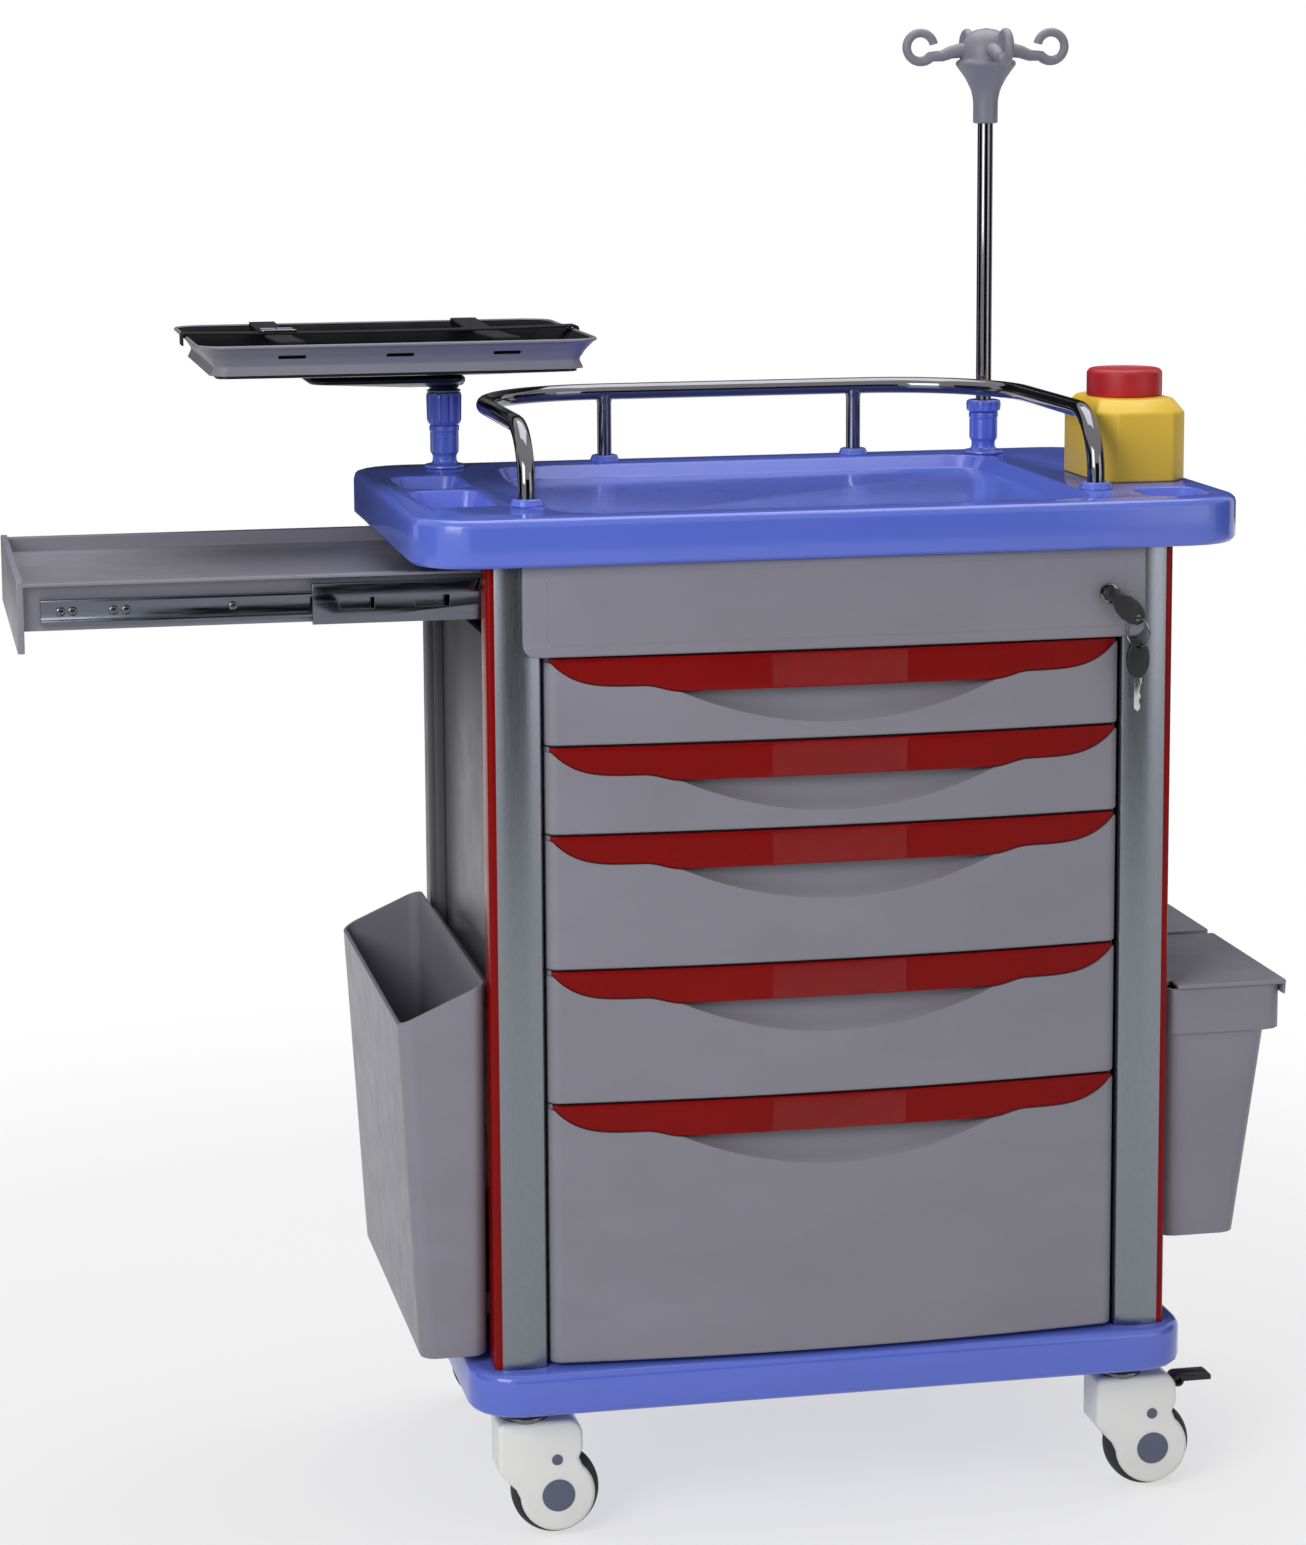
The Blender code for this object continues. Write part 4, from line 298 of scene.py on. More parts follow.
@dataclass(frozen=True)
class Finish:
    """A surface finish that makes its material once and hands it out again."""

    name: str
    slot: str | None
    colour: Colour
    roughness: float

    def material(self) -> bpy.types.Material:
        """Make the finish's material on first use.

        Returns:
            The node material.
        """
        known = bpy.data.materials.get(self.name)
        if known:
            return known
        shader = Shader(self.name)
        shader.surface.inputs["Base Color"].default_value = (*self.colour, 1.0)
        shader.constant("Roughness", self.roughness)
        self.paint(shader)
        return shader.material

    def paint(self, shader: Shader) -> None:
        """Add the finish's own pattern to its shader."""
        raise NotImplementedError

    def shade(self, shader: Shader, value: Socket, shares: Flat) -> None:
        """Vary the colour between two shares of itself, as a pattern chooses."""
        dark, light = [tuple(min(channel * share, 1.0) for channel in self.colour) for share in shares]
        shader.link(shader.blended(value, dark, light), shader.surface, "Base Color")

    def wear(self, shader: Shader, value: Socket, shares: Flat) -> None:
        """Vary the roughness between two shares of itself, as a pattern chooses."""
        low, high = [min(self.roughness * share, 1.0) for share in shares]
        shader.link(shader.ranged(value, low, high), shader.surface, "Roughness")


@dataclass(frozen=True)
class Moulded(Finish):
    """Injection-moulded plastic with a faint flow mottle and a fine skin."""

    grain: float = 1400.0
    depth: float = 0.00006
    mottle: float = 0.05
    gloss: float = 0.35
    grain_detail: float = 2.0
    grain_strength: float = 0.35
    flow: Pattern = Pattern(9.0, 4.0, (1.0, 1.0, 2.2))
    handling: Pattern = Pattern(36.0, 5.0)
    handled: Flat = (0.86, 1.2)

    def paint(self, shader: Shader) -> None:
        """Vary the colour, the gloss and the skin.

        Args:
            shader: The finish's shader.
        """
        shader.constant("Specular IOR Level", self.gloss)
        self.shade(shader, shader.noise(self.flow), (1 - self.mottle, 1 + self.mottle))
        self.wear(shader, shader.noise(self.handling), self.handled)
        skin = shader.noise(Pattern(self.grain, self.grain_detail))
        shader.raise_by(skin, self.grain_strength, self.depth)


@dataclass(frozen=True)
class Galvanised(Finish):
    """Zinc-coated steel: faint crystals, with the fine streaks of rolling along its length."""

    spangle: Pattern = Pattern(420.0, lay=(1.0, 1.0, 0.4))
    streak: Pattern = Pattern(900.0, lay=(1.0, 1.0, 0.03))
    shades: Flat = (0.95, 1.03)
    polish: Flat = (0.9, 1.12)
    strength: float = 0.08
    depth: float = 0.00003

    def paint(self, shader: Shader) -> None:
        """Vary the shade a little between crystals and along the streaks.

        Args:
            shader: The finish's shader.
        """
        shader.constant("Metallic", 1.0)
        streaks = shader.noise(self.streak)
        mixed = shader.product(shader.cells(self.spangle), streaks)
        self.shade(shader, mixed, self.shades)
        self.wear(shader, streaks, self.polish)
        shader.raise_by(mixed, self.strength, self.depth)


@dataclass(frozen=True)
class Plated(Finish):
    """Bright plating with faint wiping marks along one axis."""

    wiping: Pattern = Pattern(420.0, 4.0)
    cloud: Pattern = Pattern(22.0)
    shades: Flat = (0.92, 1.04)
    polish: Flat = (0.6, 1.7)
    strength: float = 0.12
    depth: float = 0.00002

    def paint(self, shader: Shader) -> None:
        """Vary the gloss along the wiping marks.

        Args:
            shader: The finish's shader.
        """
        shader.constant("Metallic", 1.0)
        marks = shader.noise(self.wiping)
        self.wear(shader, marks, self.polish)
        self.shade(shader, shader.noise(self.cloud), self.shades)
        shader.raise_by(marks, self.strength, self.depth)


@dataclass(frozen=True)
class Rubber(Finish):
    """Tyre rubber, dusty in patches."""

    dust: Pattern = Pattern(60.0, 5.0)
    skin: Pattern = Pattern(900.0)
    shades: Flat = (0.8, 1.9)
    polish: Flat = (0.85, 1.5)
    strength: float = 0.4
    depth: float = 0.0002

    def paint(self, shader: Shader) -> None:
        """Vary the dust and the roughness.

        Args:
            shader: The finish's shader.
        """
        dust = shader.noise(self.dust)
        self.shade(shader, dust, self.shades)
        self.wear(shader, dust, self.polish)
        shader.raise_by(shader.noise(self.skin), self.strength, self.depth)


@dataclass(frozen=True)
class Webbing(Finish):
    """Woven strap: ribs across it in both directions with a slight sheen."""

    warp_pitch: float = 520.0
    warp_waver: float = 0.4
    weft_pitch: float = 286.0
    weft_waver: float = 0.3
    sheen: float = 0.04
    gloss: float = 0.08
    shades: Flat = (0.6, 1.6)
    strength: float = 0.7
    depth: float = 0.0004

    def paint(self, shader: Shader) -> None:
        """Weave warp and weft.

        Args:
            shader: The finish's shader.
        """
        shader.constant("Sheen Weight", self.sheen)
        shader.constant("Specular IOR Level", self.gloss)
        warp = shader.waves(self.warp_pitch, "DIAGONAL", self.warp_waver)
        weft = shader.waves(self.weft_pitch, "Y", self.weft_waver)
        weave = shader.product(warp, weft)
        self.shade(shader, weave, self.shades)
        shader.raise_by(weave, self.strength, self.depth)


@dataclass(frozen=True)
class ClearSheet(Finish):
    """Clear plastic with faint haze and scuffs."""

    ior: float = 1.17
    haze: Pattern = Pattern(80.0, 4.0)
    scuffs: Pattern = Pattern(150.0, 2.0)
    polish: Flat = (0.6, 1.8)
    strength: float = 0.15
    depth: float = 0.0001

    def paint(self, shader: Shader) -> None:
        """Let light through, hazed in patches.

        Args:
            shader: The finish's shader.
        """
        shader.constant("Transmission Weight", 1.0)
        shader.constant("IOR", self.ior)
        self.wear(shader, shader.noise(self.haze), self.polish)
        shader.raise_by(shader.noise(self.scuffs), self.strength, self.depth)


BLUE = Moulded(
    "blue_moulding",
    "blue_abs",
    (0.102, 0.156, 0.640),
    roughness=0.15,
    grain=500.0,
    depth=0.00002,
    mottle=0.02,
    gloss=0.5,
)
GREY = Moulded("grey_moulding", "grey_abs", (0.232, 0.226, 0.268), 0.40)
# Dark grey for the side and back panels: partly their own darker moulding, partly painted shade.
DARK_GREY = Moulded("dark_grey_panel", "dark_grey_abs", (0.115, 0.115, 0.128), 0.34)
RED = Moulded(
    "red_gloss",
    "red_abs",
    (0.215, 0.003, 0.003),
    roughness=0.24,
    grain=800.0,
    depth=0.00004,
    mottle=0.06,
    gloss=0.1,
)
WHITE = Moulded("white_shell", "white_abs", (0.86, 0.86, 0.83), 0.30, grain=900.0)
CAP_GREY = Moulded("hub_cap_grey", "dark_grey_abs", (0.105, 0.125, 0.18), 0.38, mottle=0.04)
BLACK = Moulded("black_moulding", "black_plastic", (0.014, 0.014, 0.016), 0.32, grain=1100.0)
YELLOW = Moulded("yellow_box", "yellow_plastic", (0.820, 0.540, 0.050), 0.36, grain=500.0, depth=0.00012)
RED_CAP = Moulded("red_screw_cap", "red_cap", (0.44, 0.014, 0.022), 0.40, grain=900.0)
ZINC = Galvanised("zinc_spangle", "zinc_steel", (0.215, 0.232, 0.262), 0.27)
REAR_GREY = Moulded("rear_column_grey", "dark_grey_abs", (0.125, 0.125, 0.140), 0.42)
# Chrome's colour is darkened far below real plating: painted reflection of dark surroundings.
CHROME = Plated("bright_chrome", "chrome", (0.15, 0.15, 0.165), 0.06)
# The slides' colour is darkened to near black: painted reflection of dark surroundings.
SLIDE = Plated(
    "slide_zinc",
    "slide_steel",
    (0.13, 0.14, 0.17),
    roughness=0.16,
    wiping=Pattern(420.0, 4.0, (0.06, 1.0, 1.0)),
)
STEEL = Plated("key_steel", "chrome", (0.55, 0.55, 0.56), 0.16)
TYRE = Rubber("tyre_rubber", "black_tyre", (0.016, 0.016, 0.018), 0.7)
MAT_BLACK = Moulded(
    "tray_mat",
    "black_plastic",
    (0.006, 0.006, 0.008),
    roughness=0.70,
    grain=600.0,
    depth=0.0002,
    gloss=0.06,
)
ELASTIC = Webbing("strap_webbing", "black_elastic", (0.012, 0.012, 0.014), 0.75)
CLEAR = ClearSheet("clear_sheet", None, (0.93, 0.93, 0.95), 0.12)


# Modelling helpers


def only(*pieces: Piece) -> None:
    """Select these objects alone and make the first one active.

    Args:
        pieces: The objects to select.
    """
    bpy.ops.object.select_all(action="DESELECT")
    for piece in pieces:
        piece.select_set(True)
    bpy.context.view_layer.objects.active = pieces[0]


@contextmanager
def editing(piece: Piece) -> Iterator[None]:
    """Hold an object in edit mode with everything selected.

    Args:
        piece: The object to edit.

    Returns:
        The block that edits it.
    """
    only(piece)
    bpy.ops.object.mode_set(mode="EDIT")
    bpy.ops.mesh.select_all(action="SELECT")
    yield
    bpy.ops.object.mode_set(mode="OBJECT")


def newest(name: str) -> Piece:
    """Name the object that an operator just added.

    Args:
        name: The piece's name.

    Returns:
        The active object.
    """
    piece = bpy.context.active_object
    piece.name = name
    piece.data.name = name
    return piece


def apply_modifier(piece: Piece, kind: str, **settings: object) -> None:
    """Add a modifier and apply it.

    Args:
        piece: The piece to change.
        kind: The modifier's type.
        settings: Its settings by name.
    """
    modifier = piece.modifiers.new(kind.title(), kind)
    for entry, value in settings.items():
        setattr(modifier, entry, value)
    only(piece)
    bpy.ops.object.modifier_apply(modifier=modifier.name)


def carve(piece: Piece, cutter: Piece) -> None:
    """Cut a solid out of a piece and throw the cutter away."""
    apply_modifier(piece, "BOOLEAN", object=cutter, operation="DIFFERENCE", solver="EXACT")
    bpy.data.objects.remove(cutter)


def smooth(piece: Piece, angle: float = SMOOTH_ANGLE) -> None:
    """Shade a piece smooth except across its sharp edges."""
    only(piece)
    bpy.ops.object.shade_smooth_by_angle(angle=angle)


def mend(piece: Piece) -> None:
    """Merge doubled points and turn the faces outwards.

    Args:
        piece: The piece to mend.
    """
    with editing(piece):
        bpy.ops.mesh.remove_doubles(threshold=MERGE)
        bpy.ops.mesh.normals_make_consistent(inside=False)


def rounded_edges(piece: Piece, width: float, segments: int = 2) -> None:
    """Round every sharp edge of a piece and shade it.

    Args:
        piece: The piece to round.
        width: The rounding's width.
        segments: The facets round an edge.
    """
    apply_modifier(
        piece,
        "BEVEL",
        width=width,
        segments=segments,
        limit_method="ANGLE",
        angle_limit=EDGE_ANGLE,
        use_clamp_overlap=False,
        loop_slide=False,
    )
    smooth(piece)


def settle(piece: Piece, matrix: Matrix) -> None:
    """Move a piece and put its place into its mesh.

    Args:
        piece: The piece to move.
        matrix: The move.
    """
    bpy.context.view_layer.update()
    piece.matrix_world = matrix @ piece.matrix_world
    only(piece)
    bpy.ops.object.transform_apply(location=True, rotation=True, scale=True)


def twin(piece: Piece, name: str, matrix: Matrix) -> Piece:
    """Copy a finished piece, with its own mesh, to another place.

    Args:
        piece: The piece to copy.
        name: The copy's name.
        matrix: The move from the piece's place to the copy's.

    Returns:
        The copy.
    """
    copy = bpy.data.objects.new(name, piece.data.copy())
    bpy.context.scene.collection.objects.link(copy)
    copy.data.transform(matrix)
    return copy


def joined(name: str, *pieces: Piece) -> Piece:
    """Join pieces of one finish into one object.

    Args:
        name: The whole's name.
        pieces: The pieces to join.

    Returns:
        The whole.
    """
    only(*pieces)
    bpy.ops.object.join()
    return newest(name)


def arc(middle: Flat, radius: float, start: float, end: float, steps: int) -> list[Flat]:
    """Lay points along an arc.

    Args:
        middle: The arc's middle.
        radius: Its radius.
        start: The angle that it starts at, in degrees.
        end: The angle that it ends at, in degrees.
        steps: The sides that it is drawn with.

    Returns:
        The points, both ends among them.
    """
    points = []
    for step in range(steps + 1):
        angle = math.radians(start + (end - start) * step / steps)
        points.append((middle[0] + radius * math.cos(angle), middle[1] + radius * math.sin(angle)))
    return points


def rounded_outline(width: float, height: float, radius: float, steps: int = 8) -> list[Flat]:
    """Draw a rectangle with round corners about the origin.

    Args:
        width: Its size along x.
        height: Its size along y.
        radius: The radius of its corners.
        steps: The sides round each corner.

    Returns:
        Its points, counter-clockwise.
    """
    points: list[Flat] = []
    for turn, (side, end) in enumerate(((1, 1), (-1, 1), (-1, -1), (1, -1))):
        middle = (side * (width / 2 - radius), end * (height / 2 - radius))
        points += arc(middle, radius, 90.0 * turn, 90.0 * turn + 90.0, steps)
    return points


def curve_piece(name: str, points: Sequence[Point], cyclic: bool) -> Piece:
    """Add a curve object with one straight-sided spline.

    Args:
        name: The piece's name.
        points: The points that the spline joins.
        cyclic: Whether it closes on itself.

    Returns:
        The curve object, linked to the scene.
    """
    data = bpy.data.curves.new(name, "CURVE")
    data.dimensions = "3D"
    spline = data.splines.new("POLY")
    spline.points.add(len(points) - 1)
    for place, point in zip(spline.points, points):
        place.co = (*point, 1.0)
    spline.use_cyclic_u = cyclic
    piece = bpy.data.objects.new(name, data)
    bpy.context.scene.collection.objects.link(piece)
    return piece


def made_mesh(piece: Piece) -> Piece:
    """Turn a curve object into a merged, outward-facing mesh.

    Args:
        piece: The curve object.

    Returns:
        The same object, as a mesh.
    """
    only(piece)
    bpy.ops.object.convert(target="MESH")
    mend(piece)
    smooth(piece)
    return piece


def tube(
    name: str,
    points: Sequence[Point],
    radius: float,
    cyclic: bool = False,
    swell: Sequence[float] | None = None,
) -> Piece:
    """Run a round tube along a line of points.

    Args:
        name: The piece's name.
        points: The points along its middle.
        radius: Its radius.
        cyclic: Whether it closes on itself.
        swell: The radius at each point as a share of the whole, or None for an even tube.

    Returns:
        The tube's mesh.
    """
    piece = curve_piece(name, points, cyclic)
    piece.data.bevel_depth = radius
    piece.data.bevel_resolution = TUBE_RESOLUTION
    piece.data.use_fill_caps = True
    if swell:
        for place, share in zip(piece.data.splines[0].points, swell):
            place.radius = share
    return made_mesh(piece)


def plate(name: str, outline: Sequence[Flat], thick: float, edge: float, plane: Plane) -> Piece:
    """Make a flat plate with rounded edges, its thickness centred on the plane.

    Args:
        name: The piece's name.
        outline: Its outline, counter-clockwise.
        thick: Its thickness.
        edge: The radius of its edges.
        plane: The plane that the outline lies in.

    Returns:
        The plate's mesh.
    """
    piece = curve_piece(name, [(x, y, 0.0) for x, y in outline], True)
    piece.data.dimensions = "2D"
    piece.data.fill_mode = "BOTH"
    piece.data.extrude = thick / 2 - edge
    piece.data.bevel_depth = edge
    piece.data.offset = -edge
    piece.data.bevel_resolution = PLATE_RESOLUTION
    made_mesh(piece)
    settle(piece, plane.value)
    return piece


def turned(name: str, profile: Sequence[Flat], steps: int = FINE_TURN) -> Piece:
    """Spin a piece about Z from a profile of radius and height.

    Args:
        name: The piece's name.
        profile: Points of radius and height.
        steps: The facets in a full turn.

    Returns:
        The spun mesh.
    """
    bpy.ops.mesh.primitive_plane_add(size=SEED)
    piece = newest(name)
    with editing(piece):
        bpy.ops.mesh.merge(type="CENTER")
        bpy.ops.transform.translate(value=(profile[0][0], 0.0, profile[0][1]))
        for (radius, height), (next_radius, next_height) in zip(profile, profile[1:]):
            step = (next_radius - radius, 0.0, next_height - height)
            bpy.ops.mesh.extrude_region_move(TRANSFORM_OT_translate={"value": step})
        bpy.ops.mesh.select_all(action="SELECT")
        bpy.ops.mesh.spin(steps=steps, angle=math.tau, center=(0.0, 0.0, 0.0), axis=(0.0, 0.0, 1.0))
    mend(piece)
    smooth(piece)
    return piece


def soft_profile(points: Sequence[Flat], radius: float, steps: int = 4) -> list[Flat]:
    """Round the inner corners of a profile by short curves.

    Args:
        points: The sharp profile.
        radius: How far from a corner its curve starts.
        steps: The points along each curve.

    Returns:
        The softened profile.
    """
    soft = [points[0]]
    for before, corner, after in zip(points, points[1:], points[2:]):
        here = Vector(corner)
        back = Vector(before) - here
        ahead = Vector(after) - here
        reach = min(radius, back.length * CORNER_SHARE, ahead.length * CORNER_SHARE)
        start = here + back.normalized() * reach
        end = here + ahead.normalized() * reach
        for step in range(steps + 1):
            share = step / steps
            bend = start * (1 - share) ** 2 + here * (2 * share * (1 - share)) + end * share**2
            soft.append((bend.x, bend.y))
    soft.append(points[-1])
    return soft


def shaped_sheet(name: str, across: int, up: int, place: Callable[[float, float], Point]) -> Piece:
    """Add a fine grid whose points a function puts in place.

    Args:
        name: The piece's name.
        across: The squares along its first side.
        up: The squares along its second side.
        place: Gives a point's place from its shares along both sides, each from 0 to 1.

    Returns:
        The open sheet.
    """
    bpy.ops.mesh.primitive_grid_add(x_subdivisions=across, y_subdivisions=up, size=1.0)
    piece = newest(name)
    for point in piece.data.vertices:
        point.co = place(point.co.x + 0.5, point.co.y + 0.5)
    return piece


def lofted(name: str, loops: Sequence[Sequence[Point]]) -> Piece:
    """Make a closed solid through a stack of loops that have the same count of points.

    Args:
        name: The piece's name.
        loops: The loops in order, each round the same way.

    Returns:
        The solid, with its first and last loops filled.
    """
    count = len(loops[0])
    last = len(loops) - 1

    def place(u: float, v: float) -> Point:
        """The loop point nearest to these shares."""
        return loops[round(v * last)][round(u * count) % count]

    piece = shaped_sheet(name, count, last, place)
    mend(piece)
    with editing(piece):
        bpy.ops.mesh.fill_holes(sides=0)
    mend(piece)
    smooth(piece)
    return piece


def backed(piece: Piece, back: float) -> None:
    """Close a sheet that faces -Y with sides that run to a flat back.

    Args:
        piece: The sheet.
        back: The y of its back.
    """
    with editing(piece):
        bpy.ops.mesh.region_to_loop()
        bpy.ops.mesh.extrude_edges_move(TRANSFORM_OT_translate={"value": (0.0, MERGE, 0.0)})
        bpy.ops.object.mode_set(mode="OBJECT")
        for point in piece.data.vertices:
            if point.select:
                point.co.y = back
        bpy.ops.object.mode_set(mode="EDIT")
        bpy.ops.mesh.edge_face_add()
    mend(piece)


def deepened(piece: Piece, depth: float) -> None:
    """Give a sheet that faces -Y an even depth behind it.

    Args:
        piece: The sheet.
        depth: Its depth.
    """
    with editing(piece):
        bpy.ops.mesh.extrude_region_move(TRANSFORM_OT_translate={"value": (0.0, depth, 0.0)})
    mend(piece)


def round_cutter(radius: float, depth: float, place: Point, steps: int) -> Piece:
    """Make a round cutter that lies along Y.

    Args:
        radius: Its radius.
        depth: Its length.
        place: Its middle.
        steps: The facets in a full turn.

    Returns:
        The cutter.
    """
    bpy.ops.mesh.primitive_cylinder_add(
        vertices=steps,
        radius=radius,
        depth=depth,
        location=place,
        rotation=(RIGHT_ANGLE, 0.0, 0.0),
    )
    return newest("round_cutter")


class Frame:
    """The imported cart: its nodes, the body of each, and the middle of its base."""

    def __init__(self) -> None:
        """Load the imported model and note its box."""
        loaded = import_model()
        bpy.ops.object.select_all(action="DESELECT")
        self.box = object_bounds()
        self.nodes: dict[str, Piece] = loaded["nodes"]
        groups = loaded["record"]["behaviour"]["bodies"]
        self.body_of = {node: body for body, members in groups.items() for node in members}
        low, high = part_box("base_tray")
        self.middle = Vector(((low[0] + high[0]) / 2, (low[1] + high[1]) / 2, 0.0))
        self.shift = Matrix.Translation(self.middle)

    def low(self, node: str) -> Vector:
        """The lowest corner of a node, measured from the base's middle."""
        return Vector(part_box(node)[0]) - self.middle

    def high(self, node: str) -> Vector:
        """The highest corner of a node, measured from the base's middle."""
        return Vector(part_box(node)[1]) - self.middle

    def centre(self, node: str) -> Vector:
        """The middle of a node's box, measured from the base's middle."""
        return (self.low(node) + self.high(node)) / 2

    def over(self, node: str) -> Matrix:
        """The level move from the base's middle to a node's middle."""
        middle = self.centre(node)
        return Matrix.Translation((middle.x, middle.y, 0.0))

    def copy_of(self, node: str, name: str) -> Piece:
        """Merge a copy of a node's mesh, with flat stretches made into single faces.

        Args:
            node: The node to copy.
            name: The copy's name.

        Returns:
            The copy, in the row frame.
        """
        piece = bpy.data.objects.new(name, self.nodes[node].data.copy())
        bpy.context.scene.collection.objects.link(piece)
        only(piece)
        bpy.ops.mesh.customdata_custom_splitnormals_clear()
        with editing(piece):
            bpy.ops.mesh.remove_doubles(threshold=MERGE)
            bpy.ops.mesh.dissolve_limited(angle_limit=FLAT_ANGLE)
        return piece

    def rest_of(self, node: str, name: str, place: Point, away: Point) -> Piece:
        """Cut a copy of a node off at a plane and close it there.

        Args:
            node: The node to copy.
            name: The copy's name.
            place: A point of the plane.
            away: The way that the kept side lies.

        Returns:
            The kept side, in the row frame.
        """
        piece = self.copy_of(node, name)
        with editing(piece):
            bpy.ops.mesh.bisect(plane_co=place, plane_no=away, clear_inner=True, use_fill=True)
        mend(piece)
        return piece

    def refine(self, node: str, finish: Finish, edge: float, segments: int = 2) -> None:
        """Stand a softer copy of a node in its place.

        Args:
            node: The node to dress.
            finish: Its finish.
            edge: The radius of its edges.
            segments: The facets round an edge.
        """
        piece = self.copy_of(node, f"{node}_dressed")
        rounded_edges(piece, edge, segments)
        self.hand_over(piece, node, finish, node)

    def place(self, piece: Piece, beside: str, finish: Finish, *nodes: str) -> None:
        """Hand over a piece that was modelled about the base's middle."""
        settle(piece, self.shift)
        self.hand_over(piece, beside, finish, *nodes)

    def hand_over(self, piece: Piece, beside: str, finish: Finish, *nodes: str) -> None:
        """Give a finished piece its material and its body, and hide the nodes that it stands for.

        Args:
            piece: The finished piece, in the row frame.
            beside: A node of the body that it rides on.
            finish: Its finish.
            nodes: The nodes that it replaces.
        """
        piece.data.materials.clear()
        piece.data.materials.append(finish.material())
        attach(piece, self.body_of[beside])
        if nodes:
            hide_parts(*nodes)
        LOG.info("%s: %d faces, on %s", piece.name, len(piece.data.polygons), self.body_of[beside])


# Sub-assemblies


@dataclass
class Carcass:
    """Base tray, columns, trims, panels and the lock panel with its raised outline."""

    frame: Frame
    base_edge: float = 0.0012
    rear_edge: float = 0.0006
    panel_edge: float = 0.0008
    back_edge: float = 0.0006
    lock_edge: float = 0.0012
    panel_bow: float = 0.006
    bead_side: float = 0.020
    bead_top: float = 0.008
    bead_foot: float = 0.010
    bead_radius: float = 0.0008
    bead_sink: float = 0.0005
    bead_corner: float = 0.009
    bead_pitch: float = 0.02
    column_inner: float = 0.2630
    column_belly: float = 0.0045
    column_round: float = 0.0030
    column_edge: float = 0.0005
    column_stand: float = 0.0075
    trim_stand: float = 0.0045
    trim_sink: float = 0.0015
    trim_inset: float = 0.0030
    trim_round: float = 0.0045
    trim_edge: float = 0.0004

    def build(self) -> None:
        """Dress the carcass."""
        self.frame.refine("base_tray", BLUE, self.base_edge)
        for corner in Corner:
            if corner.value[1] < 0:
                self.build_column(corner)
                self.build_trim(corner)
            else:
                self.frame.refine(f"column_{corner.label}", REAR_GREY, self.rear_edge)
                self.frame.refine(f"column_trim_{corner.label}", REAR_GREY, self.rear_edge)
        # The side and back panels' dark grey includes painted shade.
        for side in ("left", "right"):
            self.frame.refine(f"{side}_side_panel", DARK_GREY, self.panel_edge)
        self.frame.refine("back_panel", DARK_GREY, self.back_edge)
        self.frame.refine("lock_panel", GREY, self.lock_edge, segments=3)
        self.build_bead()

    def outer(self, node: str) -> float:
        """How far a node reaches to its side."""
        return max(abs(self.frame.low(node).x), abs(self.frame.high(node).x))

    def upright(self, name: str, node: str, outline: list[Flat], edge: float, corner: Corner) -> Piece:
        """Raise an outline, drawn for the right side, over a node's height.

        Args:
            name: The piece's name.
            node: The node whose height it takes.
            outline: Its outline in plan.
            edge: The radius of its end edges.
            corner: The corner that it stands at.

        Returns:
            The upright piece.
        """
        low = self.frame.low(node).z
        high = self.frame.high(node).z
        if corner.value[0] < 0:
            outline = [(-x, y) for x, y in reversed(outline)]
        piece = plate(name, outline, high - low, edge, Plane.XY)
        settle(piece, Matrix.Translation((0.0, 0.0, (low + high) / 2)))
        return piece

    def build_column(self, corner: Corner) -> None:
        """Build a front column, whose rolled face bellies out between its edges.

        Args:
            corner: The column's corner.
        """
        node = f"column_{corner.label}"
        front = self.frame.low(node).y
        back = self.frame.high(node).y
        outer = self.outer(node) + self.column_stand
        half = (outer - self.column_inner) / 2
        middle = (outer + self.column_inner) / 2
        radius = (half**2 + self.column_belly**2) / (2 * self.column_belly)
        swing = math.degrees(math.asin(half / radius))
        outline = [(outer, back), (self.column_inner, back)]
        outline += arc((middle, front + radius), radius, -90.0 - swing, -90.0 + swing, steps=20)
        column = self.upright(f"{node}_face", node, outline, self.column_edge, corner)
        rounded_edges(column, self.column_round, segments=3)
        self.frame.place(column, node, ZINC, node)

    def build_trim(self, corner: Corner) -> None:
        """Build a red strip down the whole outer side of a front column, with its outer edges rounded.

        Args:
            corner: The column's corner.
        """
        column = f"column_{corner.label}"
        node = f"column_trim_{corner.label}"
        inner = self.outer(column) - self.trim_sink
        reach = self.outer(node) + self.trim_stand - self.trim_round
        front = self.frame.low(column).y + self.trim_inset
        back = self.frame.high(column).y - self.trim_inset
        outline = [(inner, front)]
        outline += arc((reach, front + self.trim_round), self.trim_round, -90.0, 0.0, steps=6)
        outline += arc((reach, back - self.trim_round), self.trim_round, 0.0, 90.0, steps=6)
        outline.append((inner, back))
        trim = self.upright(f"{node}_strip", node, outline, self.trim_edge, corner)
        self.frame.place(trim, column, RED, node)

    def build_bead(self) -> None:
        """Run a fine raised outline round the lock panel's face."""
        low = self.frame.low("lock_panel")
        high = self.frame.high("lock_panel")
        half = (high.x - low.x) / 2
        edge = low.y + self.panel_bow + self.bead_sink
        foot = low.z + self.bead_foot
        head = high.z - self.bead_top
        outline = rounded_outline(2 * (half - self.bead_side), head - foot, self.bead_corner)
        middle = (foot + head) / 2
        path = []
        for count, (x, z) in enumerate(outline):
            ahead = outline[(count + 1) % len(outline)]
            steps = max(1, int(math.dist((x, z), ahead) / self.bead_pitch))
            for step in range(steps):
                share = step / steps
                across = x + (ahead[0] - x) * share
                up = z + (ahead[1] - z) * share
                path.append((across, edge - self.panel_bow * (1 - (across / half) ** 2), middle + up))
        bead = tube("lock_panel_outline", path, self.bead_radius, cyclic=True)
        self.frame.place(bead, "lock_panel", GREY)


